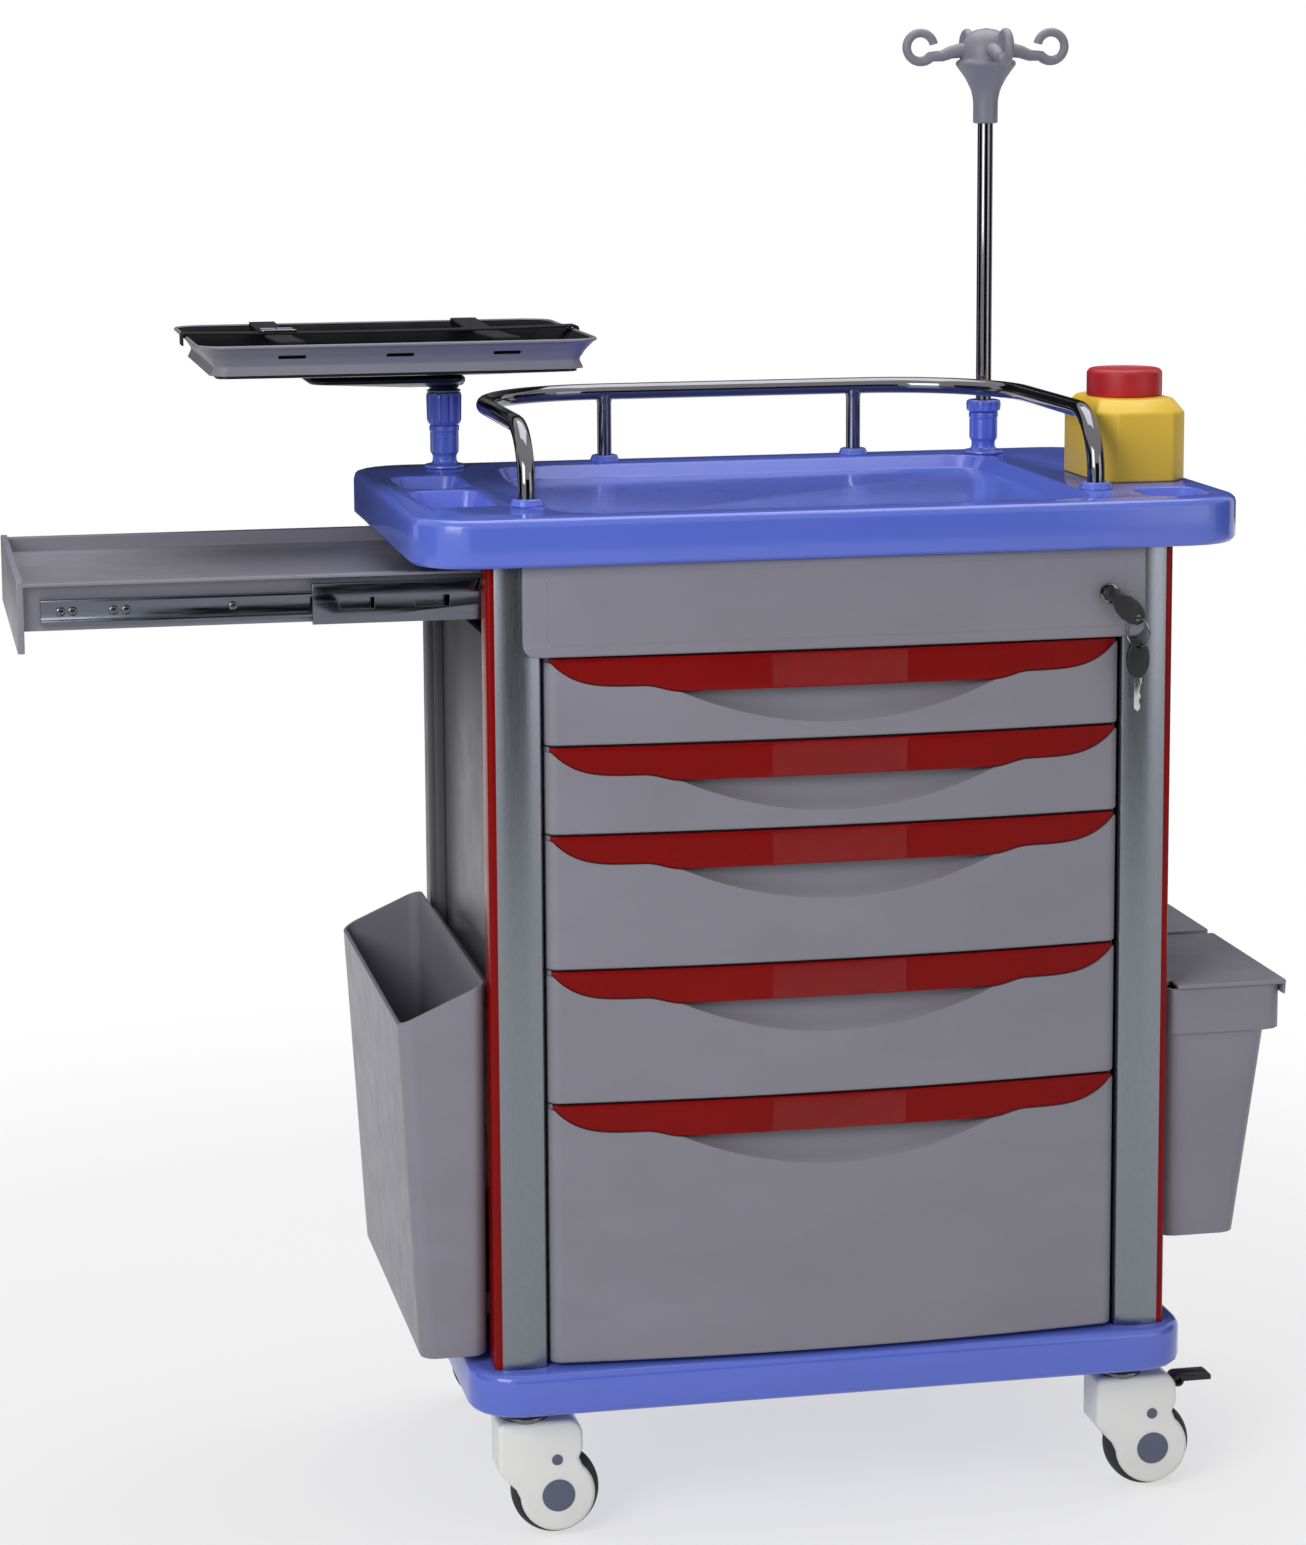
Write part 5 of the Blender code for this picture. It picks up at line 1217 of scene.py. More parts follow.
@dataclass
class Drawer:
    """One drawer: bowed front with a finger scoop, red strip, clear label pocket and open box."""

    frame: Frame
    number: int
    width: float = 0.521
    edge_y: float = -0.214
    bow: float = 0.013
    end_round: float = 0.010
    foot_round: float = 0.003
    thick: float = 0.024
    split: float = 0.001
    wave_end: float = 0.005
    wave_drop: float = 0.027
    wave_shoulder: float = 0.086
    wave_power: int = 4
    strip_drop: float = 0.033
    strip_rebate: float = 0.006
    strip_set: float = 0.0015
    strip_end: float = 0.0035
    strip_roll: float = 0.0012
    strip_gap: float = 0.0004
    strip_back: float = 0.0003
    scoop_half: float = 0.142
    scoop_rise: float = 0.031
    scoop_depth: float = 0.018
    scoop_power: float = 2.2
    rebate_power: int = 4
    pocket_half: float = 0.061
    pocket_thick: float = 0.0009
    pocket_top: float = 0.0014
    pocket_foot: float = 0.0022
    pocket_sink: float = 0.0004
    pocket_grid: tuple[int, int] = (24, 4)
    across: int = 150
    crowd: float = 1.7
    round_rows: int = 6
    face_rows: int = 16
    scoop_rows: int = 16
    rebate_rows: int = 8
    roll_rows: int = 4
    flat_rows: int = 6

    @property
    def node(self) -> str:
        """The drawer's node."""
        return f"drawer_{self.number}"

    @property
    def high(self) -> float:
        """The front's upper edge."""
        return self.frame.high(self.node).z

    @property
    def top(self) -> float:
        """The line that the strip's waves are measured from."""
        return self.high + self.split

    def face(self, x: float) -> float:
        """Find how far forward the front lies.

        Args:
            x: A place across it.

        Returns:
            The face's y there.
        """
        half = self.width / 2
        face = self.edge_y - self.bow * (1 - (x / half) ** 2)
        past = abs(x) - (half - self.end_round)
        if past > 0:
            face += self.end_round - math.sqrt(max(self.end_round**2 - past**2, 0.0))
        return face

    def drop(self, x: float) -> float:
        """Find how far the strip's lower edge lies below the upper line.

        Args:
            x: A place across the front.

        Returns:
            The drop there.
        """
        across = abs(x)
        shoulder = self.width / 2 - self.wave_shoulder
        if across > shoulder:
            share = (across - shoulder) / self.wave_shoulder
            return max(self.wave_end, self.wave_drop * (1 - share**self.wave_power))
        if across > self.scoop_half:
            share = (shoulder - across) / (shoulder - self.scoop_half)
            return self.wave_drop + (self.strip_drop - self.wave_drop) * share * share * (3 - 2 * share)
        return self.strip_drop

    def station(self, share: float, half: float) -> float:
        """A place across the front, with places crowded towards its ends."""
        way = 2 * share - 1
        return math.copysign(half * (1 - (1 - abs(way)) ** self.crowd), way)

    def build(self) -> None:
        """Build the front, strip, pocket and box."""
        self.frame.place(self.build_front(), self.node, GREY, self.node)
        self.frame.place(self.build_strip(), self.node, RED, f"drawer_handle_{self.number}")
        self.frame.place(self.build_pocket(), self.node, CLEAR)
        self.frame.hand_over(self.build_box(), self.node, GREY, self.node)

    def build_front(self) -> Piece:
        """Build the bowed front, with the scoop running up behind the strip.

        Returns:
            The front.
        """
        top = self.top
        high = self.high
        foot = self.frame.low(self.node).z
        face_end = self.round_rows + self.face_rows
        scoop_end = face_end + self.scoop_rows
        rows = scoop_end + self.rebate_rows

        def place(u: float, v: float) -> Point:
            """Find a point of the front: foot, face, scoop and rebate in turn.

            Args:
                u: Its share across the front.
                v: Its share of the way up.

            Returns:
                The point.
            """
            x = self.station(u, self.width / 2)
            face = self.face(x)
            share = max(0.0, 1 - (x / self.scoop_half) ** 2)
            brow = top - self.drop(x)
            edge = brow - self.scoop_rise * share
            sink = self.strip_rebate + (self.scoop_depth - self.strip_rebate) * math.sqrt(share)
            row = v * rows
            if row <= self.round_rows:
                turn = RIGHT_ANGLE * row / self.round_rows
                back = self.foot_round * (1 - math.sin(turn))
                return (x, face + back, foot + self.foot_round * (1 - math.cos(turn)))
            if row <= face_end:
                low = foot + self.foot_round
                return (x, face, low + (edge - low) * (row - self.round_rows) / self.face_rows)
            if row <= scoop_end:
                part = (row - face_end) / self.scoop_rows
                return (x, face + sink * (1 - (1 - part) ** self.scoop_power), edge + (brow - edge) * part)
            part = (row - scoop_end) / self.rebate_rows
            back = sink + (self.strip_rebate - sink) * part**self.rebate_power
            return (x, face + back, brow + (high - brow) * part)

        front = shaped_sheet(f"{self.node}_front", self.across, rows, place)
        backed(front, self.edge_y + self.thick)
        smooth(front)
        return front

    def build_strip(self) -> Piece:
        """Build the red strip, with its face rolled over at the top and bottom.

        Returns:
            The strip.
        """
        top = self.top
        high = self.high
        roll = self.strip_roll
        rows = 2 * self.roll_rows + self.flat_rows

        def place(u: float, v: float) -> Point:
            """Find a point of the strip: lower roll, face or upper roll.

            Args:
                u: Its share across the front.
                v: Its share of the way up.

            Returns:
                The point.
            """
            x = self.station(u, self.width / 2 - self.strip_end)
            low = top - self.drop(x) + self.strip_gap
            face = self.face(x) + self.strip_set
            row = v * rows
            if row <= self.roll_rows:
                turn = RIGHT_ANGLE * row / self.roll_rows
                return (x, face + roll * (1 - math.sin(turn)), low + roll * (1 - math.cos(turn)))
            if row >= rows - self.roll_rows:
                turn = RIGHT_ANGLE * (rows - row) / self.roll_rows
                return (x, face + roll * (1 - math.sin(turn)), high - roll * (1 - math.cos(turn)))
            part = (row - self.roll_rows) / self.flat_rows
            return (x, face, low + roll + (high - low - 2 * roll) * part)

        strip = shaped_sheet(f"drawer_strip_{self.number}", self.across, rows, place)
        deepened(strip, self.strip_rebate - self.strip_set - self.strip_back)
        smooth(strip)
        return strip

    def build_pocket(self) -> Piece:
        """Build the clear label pocket that lies on the strip.

        Returns:
            The pocket.
        """
        high = self.high - self.pocket_top
        low = self.top - self.strip_drop + self.pocket_foot
        lift = self.strip_set - self.pocket_sink

        def place(u: float, v: float) -> Point:
            """A point of the pocket, along the strip's face."""
            x = self.pocket_half * (2 * u - 1)
            return (x, self.face(x) + lift, low + (high - low) * v)

        pocket = shaped_sheet(f"label_pocket_{self.number}", *self.pocket_grid, place)
        apply_modifier(pocket, "SOLIDIFY", thickness=self.pocket_thick, offset=1.0)
        rounded_edges(pocket, self.pocket_thick * SHEET_EDGE)
        return pocket

    def build_box(self) -> Piece:
        """Cut the node's own box away from its plain front.

        Returns:
            The box.
        """
        back = self.frame.middle.y + self.edge_y + self.thick
        box = self.frame.rest_of(self.node, f"{self.node}_box", (0.0, back, 0.0), (0.0, 1.0, 0.0))
        smooth(box)
        return box


@dataclass
class WorkTop:
    """The moulded top and the guard rail that stands on it."""

    frame: Frame
    top_edge: float = 0.0012
    rail_half: float = 0.262
    rail_front: float = -0.135
    rail_back: float = 0.212
    rail_radius: float = 0.008
    rail_bend: float = 0.055
    rail_corner: float = 0.130
    post_half: float = 0.125
    post_radius: float = 0.007
    weld: float = 0.012
    weld_places: tuple[float, ...] = (1.0, 0.8, 0.6)
    weld_swell: tuple[float, ...] = (1.0, 1.0, 1.05, 1.12, 1.12)
    sink: float = 0.014
    ring_bore: tuple[Flat, ...] = ((0.0002, 0.0), (0.0002, 0.0065))
    ring_side: tuple[Flat, ...] = ((0.0052, 0.0065), (0.0068, 0.002275), (0.0078, 0.0))
    ring_soft: float = 0.0016

    def build(self) -> None:
        """Dress the top and build the rail, its posts and its foot rings."""
        self.frame.refine("top_board", BLUE, self.top_edge, segments=3)
        rail = joined("guard_rail_tube", self.build_rail(), *self.build_posts())
        self.frame.place(rail, "guard_rail", CHROME, "guard_rail")
        self.build_rings()

    @property
    def face(self) -> float:
        """The level of the top's flat face."""
        return self.frame.low("guard_rail").z + self.sink

    @property
    def level(self) -> float:
        """The level of the rail's middle."""
        return self.frame.high("guard_rail").z - self.rail_radius

    def build_rail(self) -> Piece:
        """Bend the tube from front foot to front foot.

        Returns:
            The rail.
        """
        right = [(self.rail_half, self.rail_front, self.frame.low("guard_rail").z)]
        bend = (self.rail_front + self.rail_bend, self.level - self.rail_bend)
        right += [(self.rail_half, y, z) for y, z in arc(bend, self.rail_bend, 180.0, 90.0, steps=16)]
        corner = (self.rail_half - self.rail_corner, self.rail_back - self.rail_corner)
        right += [(x, y, self.level) for x, y in arc(corner, self.rail_corner, 0.0, 90.0, steps=24)]
        left = [(-x, y, z) for x, y, z in reversed(right)]
        return tube("rail_run", right + left, self.rail_radius)

    def build_posts(self) -> list[Piece]:
        """Build the two posts under the rear run, each with a weld swelling at its head.

        Returns:
            The posts.
        """
        heights = [self.level - self.weld * share for share in self.weld_places]
        heights = [self.frame.low("guard_rail").z, *heights, self.level]
        posts = []
        for side in (-1, 1):
            path = [(side * self.post_half, self.rail_back, z) for z in heights]
            posts.append(tube("rail_post", path, self.post_radius, swell=self.weld_swell))
        return posts

    def build_rings(self) -> None:
        """Turn a soft blue ring round each foot of the rail."""
        curve = [*self.ring_bore, *self.ring_side, self.ring_bore[0]]
        feet = [(side * self.rail_half, self.rail_front, self.rail_radius) for side in (-1, 1)]
        feet += [(side * self.post_half, self.rail_back, self.post_radius) for side in (-1, 1)]
        for count, (x, y, radius) in enumerate(feet, 1):
            sharp = [(radius + out, up) for out, up in curve]
            ring = turned(f"rail_foot_ring_{count}", soft_profile(sharp, self.ring_soft))
            settle(ring, Matrix.Translation((x, y, self.face)))
            self.frame.place(ring, "top_board", BLUE)


@dataclass
class PoleMount:
    """A pole socket on the work top with the fluted collar that clamps it."""

    frame: Frame
    socket: str
    collar: str
    bore: float
    flange: tuple[Flat, ...] = ((0.0200, 0.0), (0.0192, 0.0032), (0.0135, 0.0040))
    neck: tuple[Flat, ...] = ((0.0115, 0.0065), (0.0115, 0.0118), (0.0137, 0.0150))
    band: tuple[Flat, ...] = ((0.0137, -0.006), (0.0143, -0.005), (0.0143, 0.0))
    socket_soft: float = 0.0012
    collet_wall: float = 0.0040
    run: float = 0.0003
    collar_foot: float = 0.0035
    collar_taper: float = 0.0005
    collar_waist: float = 0.12
    collar_head: tuple[Flat, ...] = ((0.0, -0.004), (-0.0006, -0.001), (-0.003, 0.0))
    collar_soft: float = 0.002
    collar_angle: float = math.radians(50.0)
    flutes: int = 14
    flute_depth: float = 0.0017
    flute_share: float = 0.45
    flute_power: float = 0.7
    flute_end: float = 0.004
    flute_reach: float = 0.004

    def build(self) -> None:
        """Build the socket and its collar."""
        shift = self.frame.over(self.socket)
        for piece, node in ((self.build_socket(), self.socket), (self.build_collar(), self.collar)):
            settle(piece, shift)
            self.frame.place(piece, node, BLUE, node)

    def build_socket(self) -> Piece:
        """Turn the flange, neck, sleeve and collet in one.

        Returns:
            The socket.
        """
        low = self.frame.low(self.socket).z
        shoulder = self.frame.low(self.collar).z - self.run
        high = self.frame.high(self.socket).z
        collet = self.bore + self.collet_wall
        sharp = [(self.bore, low)]
        sharp += [(radius, low + up) for radius, up in (*self.flange, *self.neck)]
        sharp += [(radius, shoulder + up) for radius, up in self.band]
        sharp += [(collet, shoulder), (collet, high), (self.bore, high), (self.bore, low)]
        return turned(self.socket + "_turned", soft_profile(sharp, self.socket_soft))

    def build_collar(self) -> Piece:
        """Turn the collar and let round-bottomed flutes into its side.

        Returns:
            The collar.
        """
        low = self.frame.low(self.collar).z
        high = self.frame.high(self.collar).z
        outer = self.frame.high(self.collar).x - self.frame.centre(self.collar).x
        inner = self.bore + self.collet_wall + self.run
        sharp = [
            (inner, low),
            (outer - self.collar_foot, low),
            (outer - self.collar_taper, low + (high - low) * self.collar_waist),
        ]
        sharp += [(outer + out, high + up) for out, up in self.collar_head]
        sharp += [(inner, high), (inner, low)]
        profile = soft_profile(sharp, self.collar_soft, steps=5)
        collar = turned(self.collar + "_fluted", profile, steps=168)
        for point in collar.data.vertices:
            radius = math.hypot(point.co.x, point.co.y)
            if radius < outer - self.flute_reach:
                continue
            angle = math.atan2(point.co.y, point.co.x)
            wave = 0.5 + 0.5 * math.cos(self.flutes * angle)
            share = max(0.0, (wave - self.flute_share) / (1 - self.flute_share))
            bite = self.flute_depth * share**self.flute_power
            end = min(1.0, (high - point.co.z) / self.flute_end, (point.co.z - low) / self.flute_end)
            kept = (radius - bite * max(end, 0.0)) / radius
            point.co.x *= kept
            point.co.y *= kept
        smooth(collar, self.collar_angle)
        return collar


@dataclass
class DripPole:
    """The plated rod and its moulded head with four pigtail hooks."""

    frame: Frame
    rod_soft: float = 0.0015
    run: float = 0.0003
    neck: float = 0.012
    neck_height: float = 0.026
    neck_curve: tuple[Flat, ...] = ((0.0, -0.004), (0.002, 0.006), (0.008, 0.018))
    cone: float = 0.0295
    cone_height: float = 0.034
    cone_curve: tuple[Flat, ...] = ((0.0, -0.003), (-0.001, 0.0004))
    dome: float = 0.0250
    dome_foot: float = 0.0018
    dome_curve: tuple[Flat, ...] = ((1.0, 0.34), (0.93, 0.58), (0.74, 0.80), (0.42, 0.95))
    head_soft: float = 0.004
    hub: float = 0.022
    hooks: int = 4
    hook_drop: float = 0.0182
    wire: float = 0.00425
    reach: float = 0.066
    ring: float = 0.0137
    root_curve: tuple[Flat, ...] = ((0.0, -0.0035), (0.009, -0.0035), (0.018, -0.0052), (0.027, -0.0086))
    root_swell: float = 1.75
    root_taper: tuple[float, ...] = (1.0, 0.96, 0.84, 0.74)
    curl: Flat = (-138.0, 168.0)
    curl_steps: int = 40
    curl_swell: float = 0.22
    swell_steps: int = 12

    def build(self) -> None:
        """Build the rod and the head."""
        self.build_rod()
        self.build_head()

    @property
    def radius(self) -> float:
        """The rod's radius."""
        return (self.frame.high("iv_pole").x - self.frame.low("iv_pole").x) / 2

    def build_rod(self) -> None:
        """Turn the rod, with rounded ends."""
        low = self.frame.low("iv_pole").z
        high = self.frame.high("iv_pole").z
        sharp = [(0.0, low), (self.radius, low), (self.radius, high), (0.0, high)]
        rod = turned("iv_pole_rod", soft_profile(sharp, self.rod_soft))
        settle(rod, self.frame.over("iv_pole"))
        self.frame.place(rod, "iv_pole", CHROME, "iv_pole")

    def build_head(self) -> None:
        """Join the turned hub with a hook on each of four sides."""
        head = joined("iv_head_moulding", self.build_hub(), *self.build_hooks())
        settle(head, self.frame.over("iv_pole"))
        self.frame.place(head, "iv_head", GREY, "iv_head")

    def build_hub(self) -> Piece:
        """Turn the neck, the flaring cone and the dome, bored for the rod.

        Returns:
            The hub.
        """
        foot = self.frame.low("iv_head").z
        crown = self.frame.high("iv_head").z
        cone_foot = foot + self.neck_height
        hub_foot = cone_foot + self.cone_height
        rise = crown - hub_foot
        ceiling = self.frame.high("iv_pole").z + self.run
        bore = self.radius + self.run
        sharp = [(0.0, ceiling), (bore, ceiling), (bore, foot), (self.neck, foot)]
        sharp += [(self.neck + out, cone_foot + up) for out, up in self.neck_curve]
        sharp += [(self.cone + out, hub_foot + up) for out, up in self.cone_curve]
        sharp.append((self.dome, hub_foot + self.dome_foot))
        sharp += [(self.dome * out, hub_foot + rise * up) for out, up in self.dome_curve]
        sharp.append((0.0, crown))
        return turned("iv_head_hub", soft_profile(sharp, self.head_soft, steps=5))

    def build_hooks(self) -> list[Piece]:
        """Curl a hook for each side, swelling towards its root.

        Returns:
            The hooks.
        """
        level = self.frame.high("iv_head").z - self.hook_drop
        start = self.hub - self.wire
        path = [(start + out, up) for out, up in self.root_curve]
        path += arc((self.reach, 0.0), self.ring, *self.curl, self.curl_steps)
        swell = [self.root_swell * share for share in self.root_taper]
        for step in range(self.curl_steps + 1):
            swell.append(1.0 + self.curl_swell * max(0.0, 1 - step / self.swell_steps))
        hooks = []
        for turn in range(self.hooks):
            hook = tube("iv_hook", [(x, 0.0, level + z) for x, z in path], self.wire, swell=swell)
            settle(hook, Matrix.Rotation(math.tau * turn / self.hooks, 4, "Z"))
            hooks.append(hook)
        return hooks


@dataclass
class MonitorTray:
    """The swivelling tray, its arm and the webbing that holds a monitor on it."""

    frame: Frame
    arm_edge: float = 0.0030
    corner: float = 0.030
    depth: float = 0.0285
    waist_depth: float = 0.0205
    waist_inset: float = 0.0165
    foot_inset: float = 0.0128
    wall: float = 0.0030
    wall_curve: tuple[Flat, ...] = ((0.0112, 0.0125), (0.0030, 0.0040), (0.0, 0.0026), (0.0, 0.0010))
    wall_soft: float = 0.0018
    rim_shares: Flat = (0.3, 0.8)
    sole_inset: float = 0.019
    sole_half: float = 0.040
    slot_pitch: float = 0.100
    slot_length: float = 0.026
    slot_height: float = 0.0034
    slot_round: float = 0.45
    slot_edge: float = 0.0003
    slot_inset: float = 0.0108
    slot_lift: float = 0.0118
    lining_top: float = 0.0015
    lining_thick: float = 0.0012
    lining_gap: float = 0.0002
    strap_half: float = 0.0125
    strap_thick: float = 0.0018
    strap_round: float = 0.003
    strap_grid: tuple[int, int] = (180, 8)
    ripple: float = 0.0003
    ripple_rate: float = 90.0
    long_sag: float = 0.002
    cross_sag: float = 0.003
    cross_drop: float = 0.0004
    cross_inset: float = 0.0135
    buckle_wire: float = 0.0013
    buckle_left: float = 0.099
    buckle_lift: float = 0.0005
    buckle_size: Flat = (0.034, 0.022)
    buckle_corner: float = 0.004
    neck_radius: float = 0.014
    disc_radius: float = 0.0162
    disc_thick: float = 0.0015
    disc_soft: float = 0.0004

    def build(self) -> None:
        """Build the tray, dress the arm, and lay the straps."""
        self.build_tray()
        self.build_sole()
        self.build_lining()
        self.frame.refine("tray_arm", BLACK, self.arm_edge, segments=3)
        self.build_straps()
        self.build_buckle()
        self.build_washer()

    @property
    def outer(self) -> list[Flat]:
        """The wall's outer side from its foot to its rim, as inset and depth below the rim."""
        foot = [(self.foot_inset, self.depth), (self.waist_inset, self.waist_depth)]
        return soft_profile([*foot, *self.wall_curve], self.wall_soft)

    @property
    def floor(self) -> float:
        """The depth of the tray's floor below its rim."""
        return self.depth - self.wall

    def ring(self, inset: float, depth: float) -> list[Point]:
        """Lay a loop round the tray.

        Args:
            inset: How far inside the tray's outline.
            depth: How far below its rim.

        Returns:
            The loop's points.
        """
        low = self.frame.low("defib_tray")
        high = self.frame.high("defib_tray")
        middle = (low + high) / 2
        width = high.x - low.x - 2 * inset
        length = high.y - low.y - 2 * inset
        outline = rounded_outline(width, length, max(self.corner - inset, self.wall), steps=10)
        return [(middle.x + x, middle.y + y, high.z - depth) for x, y in outline]

    def build_tray(self) -> None:
        """Loft the shell, with walls that curve out to the rim, and cut slim slots along both sides."""
        outer = self.outer
        inner = [(inset + self.wall, depth) for inset, depth in reversed(outer) if depth < self.floor]
        loops = [self.ring(self.foot_inset + self.wall, self.depth)]
        loops += [self.ring(inset, depth) for inset, depth in outer]
        loops += [self.ring(self.wall * share, 0.0) for share in self.rim_shares]
        loops += [self.ring(inset, depth) for inset, depth in inner]
        loops.append(self.ring(self.waist_inset + 2 * self.wall, self.floor))
        tray = lofted("defib_tray_shell", loops)
        high = self.frame.high("defib_tray")
        middle = self.frame.centre("defib_tray")
        half = high.y - middle.y - self.slot_inset
        gap = rounded_outline(self.slot_length, self.slot_height, self.slot_height * self.slot_round)
        for side in (-1, 1):
            for slot in (-1, 0, 1):
                cutter = plate("slot_gap", gap, 4 * self.wall, self.slot_edge, Plane.XZ)
                across = middle.x + slot * self.slot_pitch
                settle(cutter, Matrix.Translation((across, middle.y + side * half, high.z - self.slot_lift)))
                carve(tray, cutter)
        smooth(tray)
        self.frame.place(tray, "defib_tray", GREY, "defib_tray")

    def build_sole(self) -> None:
        """Loft a black sole that deepens from the tray's edges to the arm's head; its black is painted shadow
        for the shaded underside.
        """
        low = self.frame.low("defib_tray")
        post = self.frame.centre("tray_socket")
        upper = self.ring(self.sole_inset, self.depth - self.lining_gap)
        edge = self.ring(self.sole_inset, self.depth + self.wall)
        side = 2 * self.sole_half
        lower = rounded_outline(side, side, self.sole_half / 2, steps=10)
        foot = [(post.x + x, post.y + y, low.z + self.lining_gap) for x, y in lower]
        sole = lofted("tray_sole", [upper, edge, foot])
        # The sole's black is painted shadow under the tray.
        self.frame.place(sole, "defib_tray", BLACK)

    def build_lining(self) -> None:
        """Lay a thin black lining over the tray's floor and the inside of its walls."""
        inner = []
        for inset, depth in reversed(self.outer):
            if self.lining_top < depth < self.floor:
                inner.append((inset + self.wall, depth))
        inner.append((self.waist_inset + self.wall, self.floor))
        thick = self.lining_gap + self.lining_thick
        under = [(inset + self.lining_gap, depth - self.lining_gap) for inset, depth in inner]
        over = [(inset + thick, depth - self.lining_thick / 2) for inset, depth in inner]
        over[-1] = (inner[-1][0] + thick, self.floor - thick)
        loops = [self.ring(inset, depth) for inset, depth in [*reversed(under), *over]]
        self.frame.place(lofted("tray_lining", loops), "defib_tray", MAT_BLACK)

    def strap(self, name: str, half_run: float, high: float, hang: float, sag: float) -> Piece:
        """Lay one strap along X, over both rims and down outside them.

        Args:
            name: The piece's name.
            half_run: Half its run from rim to rim.
            high: The level of its upper side at the rims.
            hang: How far its ends hang.
            sag: How far its middle sinks.

        Returns:
            The strap, about the tray's middle.
        """
        bend = self.strap_round
        quarter = bend * RIGHT_ANGLE
        flat = half_run - bend
        length = flat + quarter + hang

        def place(u: float, v: float) -> Point:
            """Find a point of the strap: its run, its bend over the rim or its hanging end.

            Args:
                u: Its share along the strap.
                v: Its share across it.

            Returns:
                The point.
            """
            way = (2 * u - 1) * length
            side = math.copysign(1.0, way)
            reach = abs(way)
            ripple = self.ripple * math.sin(reach * self.ripple_rate) * (1 - abs(2 * v - 1))
            width = self.strap_half * (2 * v - 1)
            if reach <= flat:
                share = reach / flat
                return (side * reach, width, high - sag * (1 - share**2) + ripple)
            if reach <= flat + quarter:
                turn = (reach - flat) / bend
                return (side * (flat + bend * math.sin(turn)), width, high - bend * (1 - math.cos(turn)))
            return (side * half_run, width, high - bend - (reach - flat - quarter))

        strap = shaped_sheet(name, *self.strap_grid, place)
        apply_modifier(strap, "SOLIDIFY", thickness=self.strap_thick, offset=-1.0)
        mend(strap)
        rounded_edges(strap, self.strap_thick * SHEET_EDGE)
        return strap

    def build_straps(self) -> None:
        """Lay one strap along the tray and two across it."""
        low = self.frame.low("tray_strap")
        high = self.frame.high("tray_strap")
        middle = self.frame.centre("tray_strap")
        hang = high.z - low.z - self.strap_round
        along = self.strap("strap_long", (high.x - low.x) / 2, high.z, hang, self.long_sag)
        settle(along, self.frame.over("tray_strap"))
        straps = [along]
        run = (high.y - low.y) / 2 - self.cross_inset
        for side in (-1, 1):
            cross = self.strap("strap_cross", run, high.z - self.cross_drop, hang, self.cross_sag)
            settle(cross, Matrix.Rotation(RIGHT_ANGLE, 4, "Z"))
            settle(cross, Matrix.Translation((middle.x + side * self.slot_pitch, middle.y, 0.0)))
            straps.append(cross)
        self.frame.place(joined("tray_webbing", *straps), "tray_strap", ELASTIC, "tray_strap")

    def build_buckle(self) -> None:
        """Bend a wire buckle with a centre bar, where the long strap meets a cross strap."""
        high = self.frame.high("tray_strap").z + self.buckle_lift
        middle = self.frame.centre("tray_strap")
        half = self.buckle_size[1] / 2
        outline = rounded_outline(*self.buckle_size, self.buckle_corner)
        ring = tube("buckle_ring", [(x, y, 0.0) for x, y in outline], self.buckle_wire, cyclic=True)
        bar = tube("buckle_bar", [(0.0, -half, 0.0), (0.0, half, 0.0)], self.buckle_wire)
        buckle = joined("strap_buckle", ring, bar)
        settle(buckle, Matrix.Translation((middle.x - self.buckle_left, middle.y, high)))
        self.frame.place(buckle, "tray_strap", CHROME)

    def build_washer(self) -> None:
        """Turn the grey bearing disc round the arm's neck, just above the collar."""
        foot = self.frame.high("tray_collar").z + 2 * self.lining_gap
        head = foot + self.disc_thick
        inner = self.neck_radius + self.lining_gap
        outer = self.disc_radius
        profile = [(inner, foot), (outer, foot), (outer, head), (inner, head), (inner, foot)]
        washer = turned("tray_bearing_disc", soft_profile(profile, self.disc_soft))
        settle(washer, self.frame.over("tray_socket"))
        self.frame.place(washer, "tray_arm", GREY)


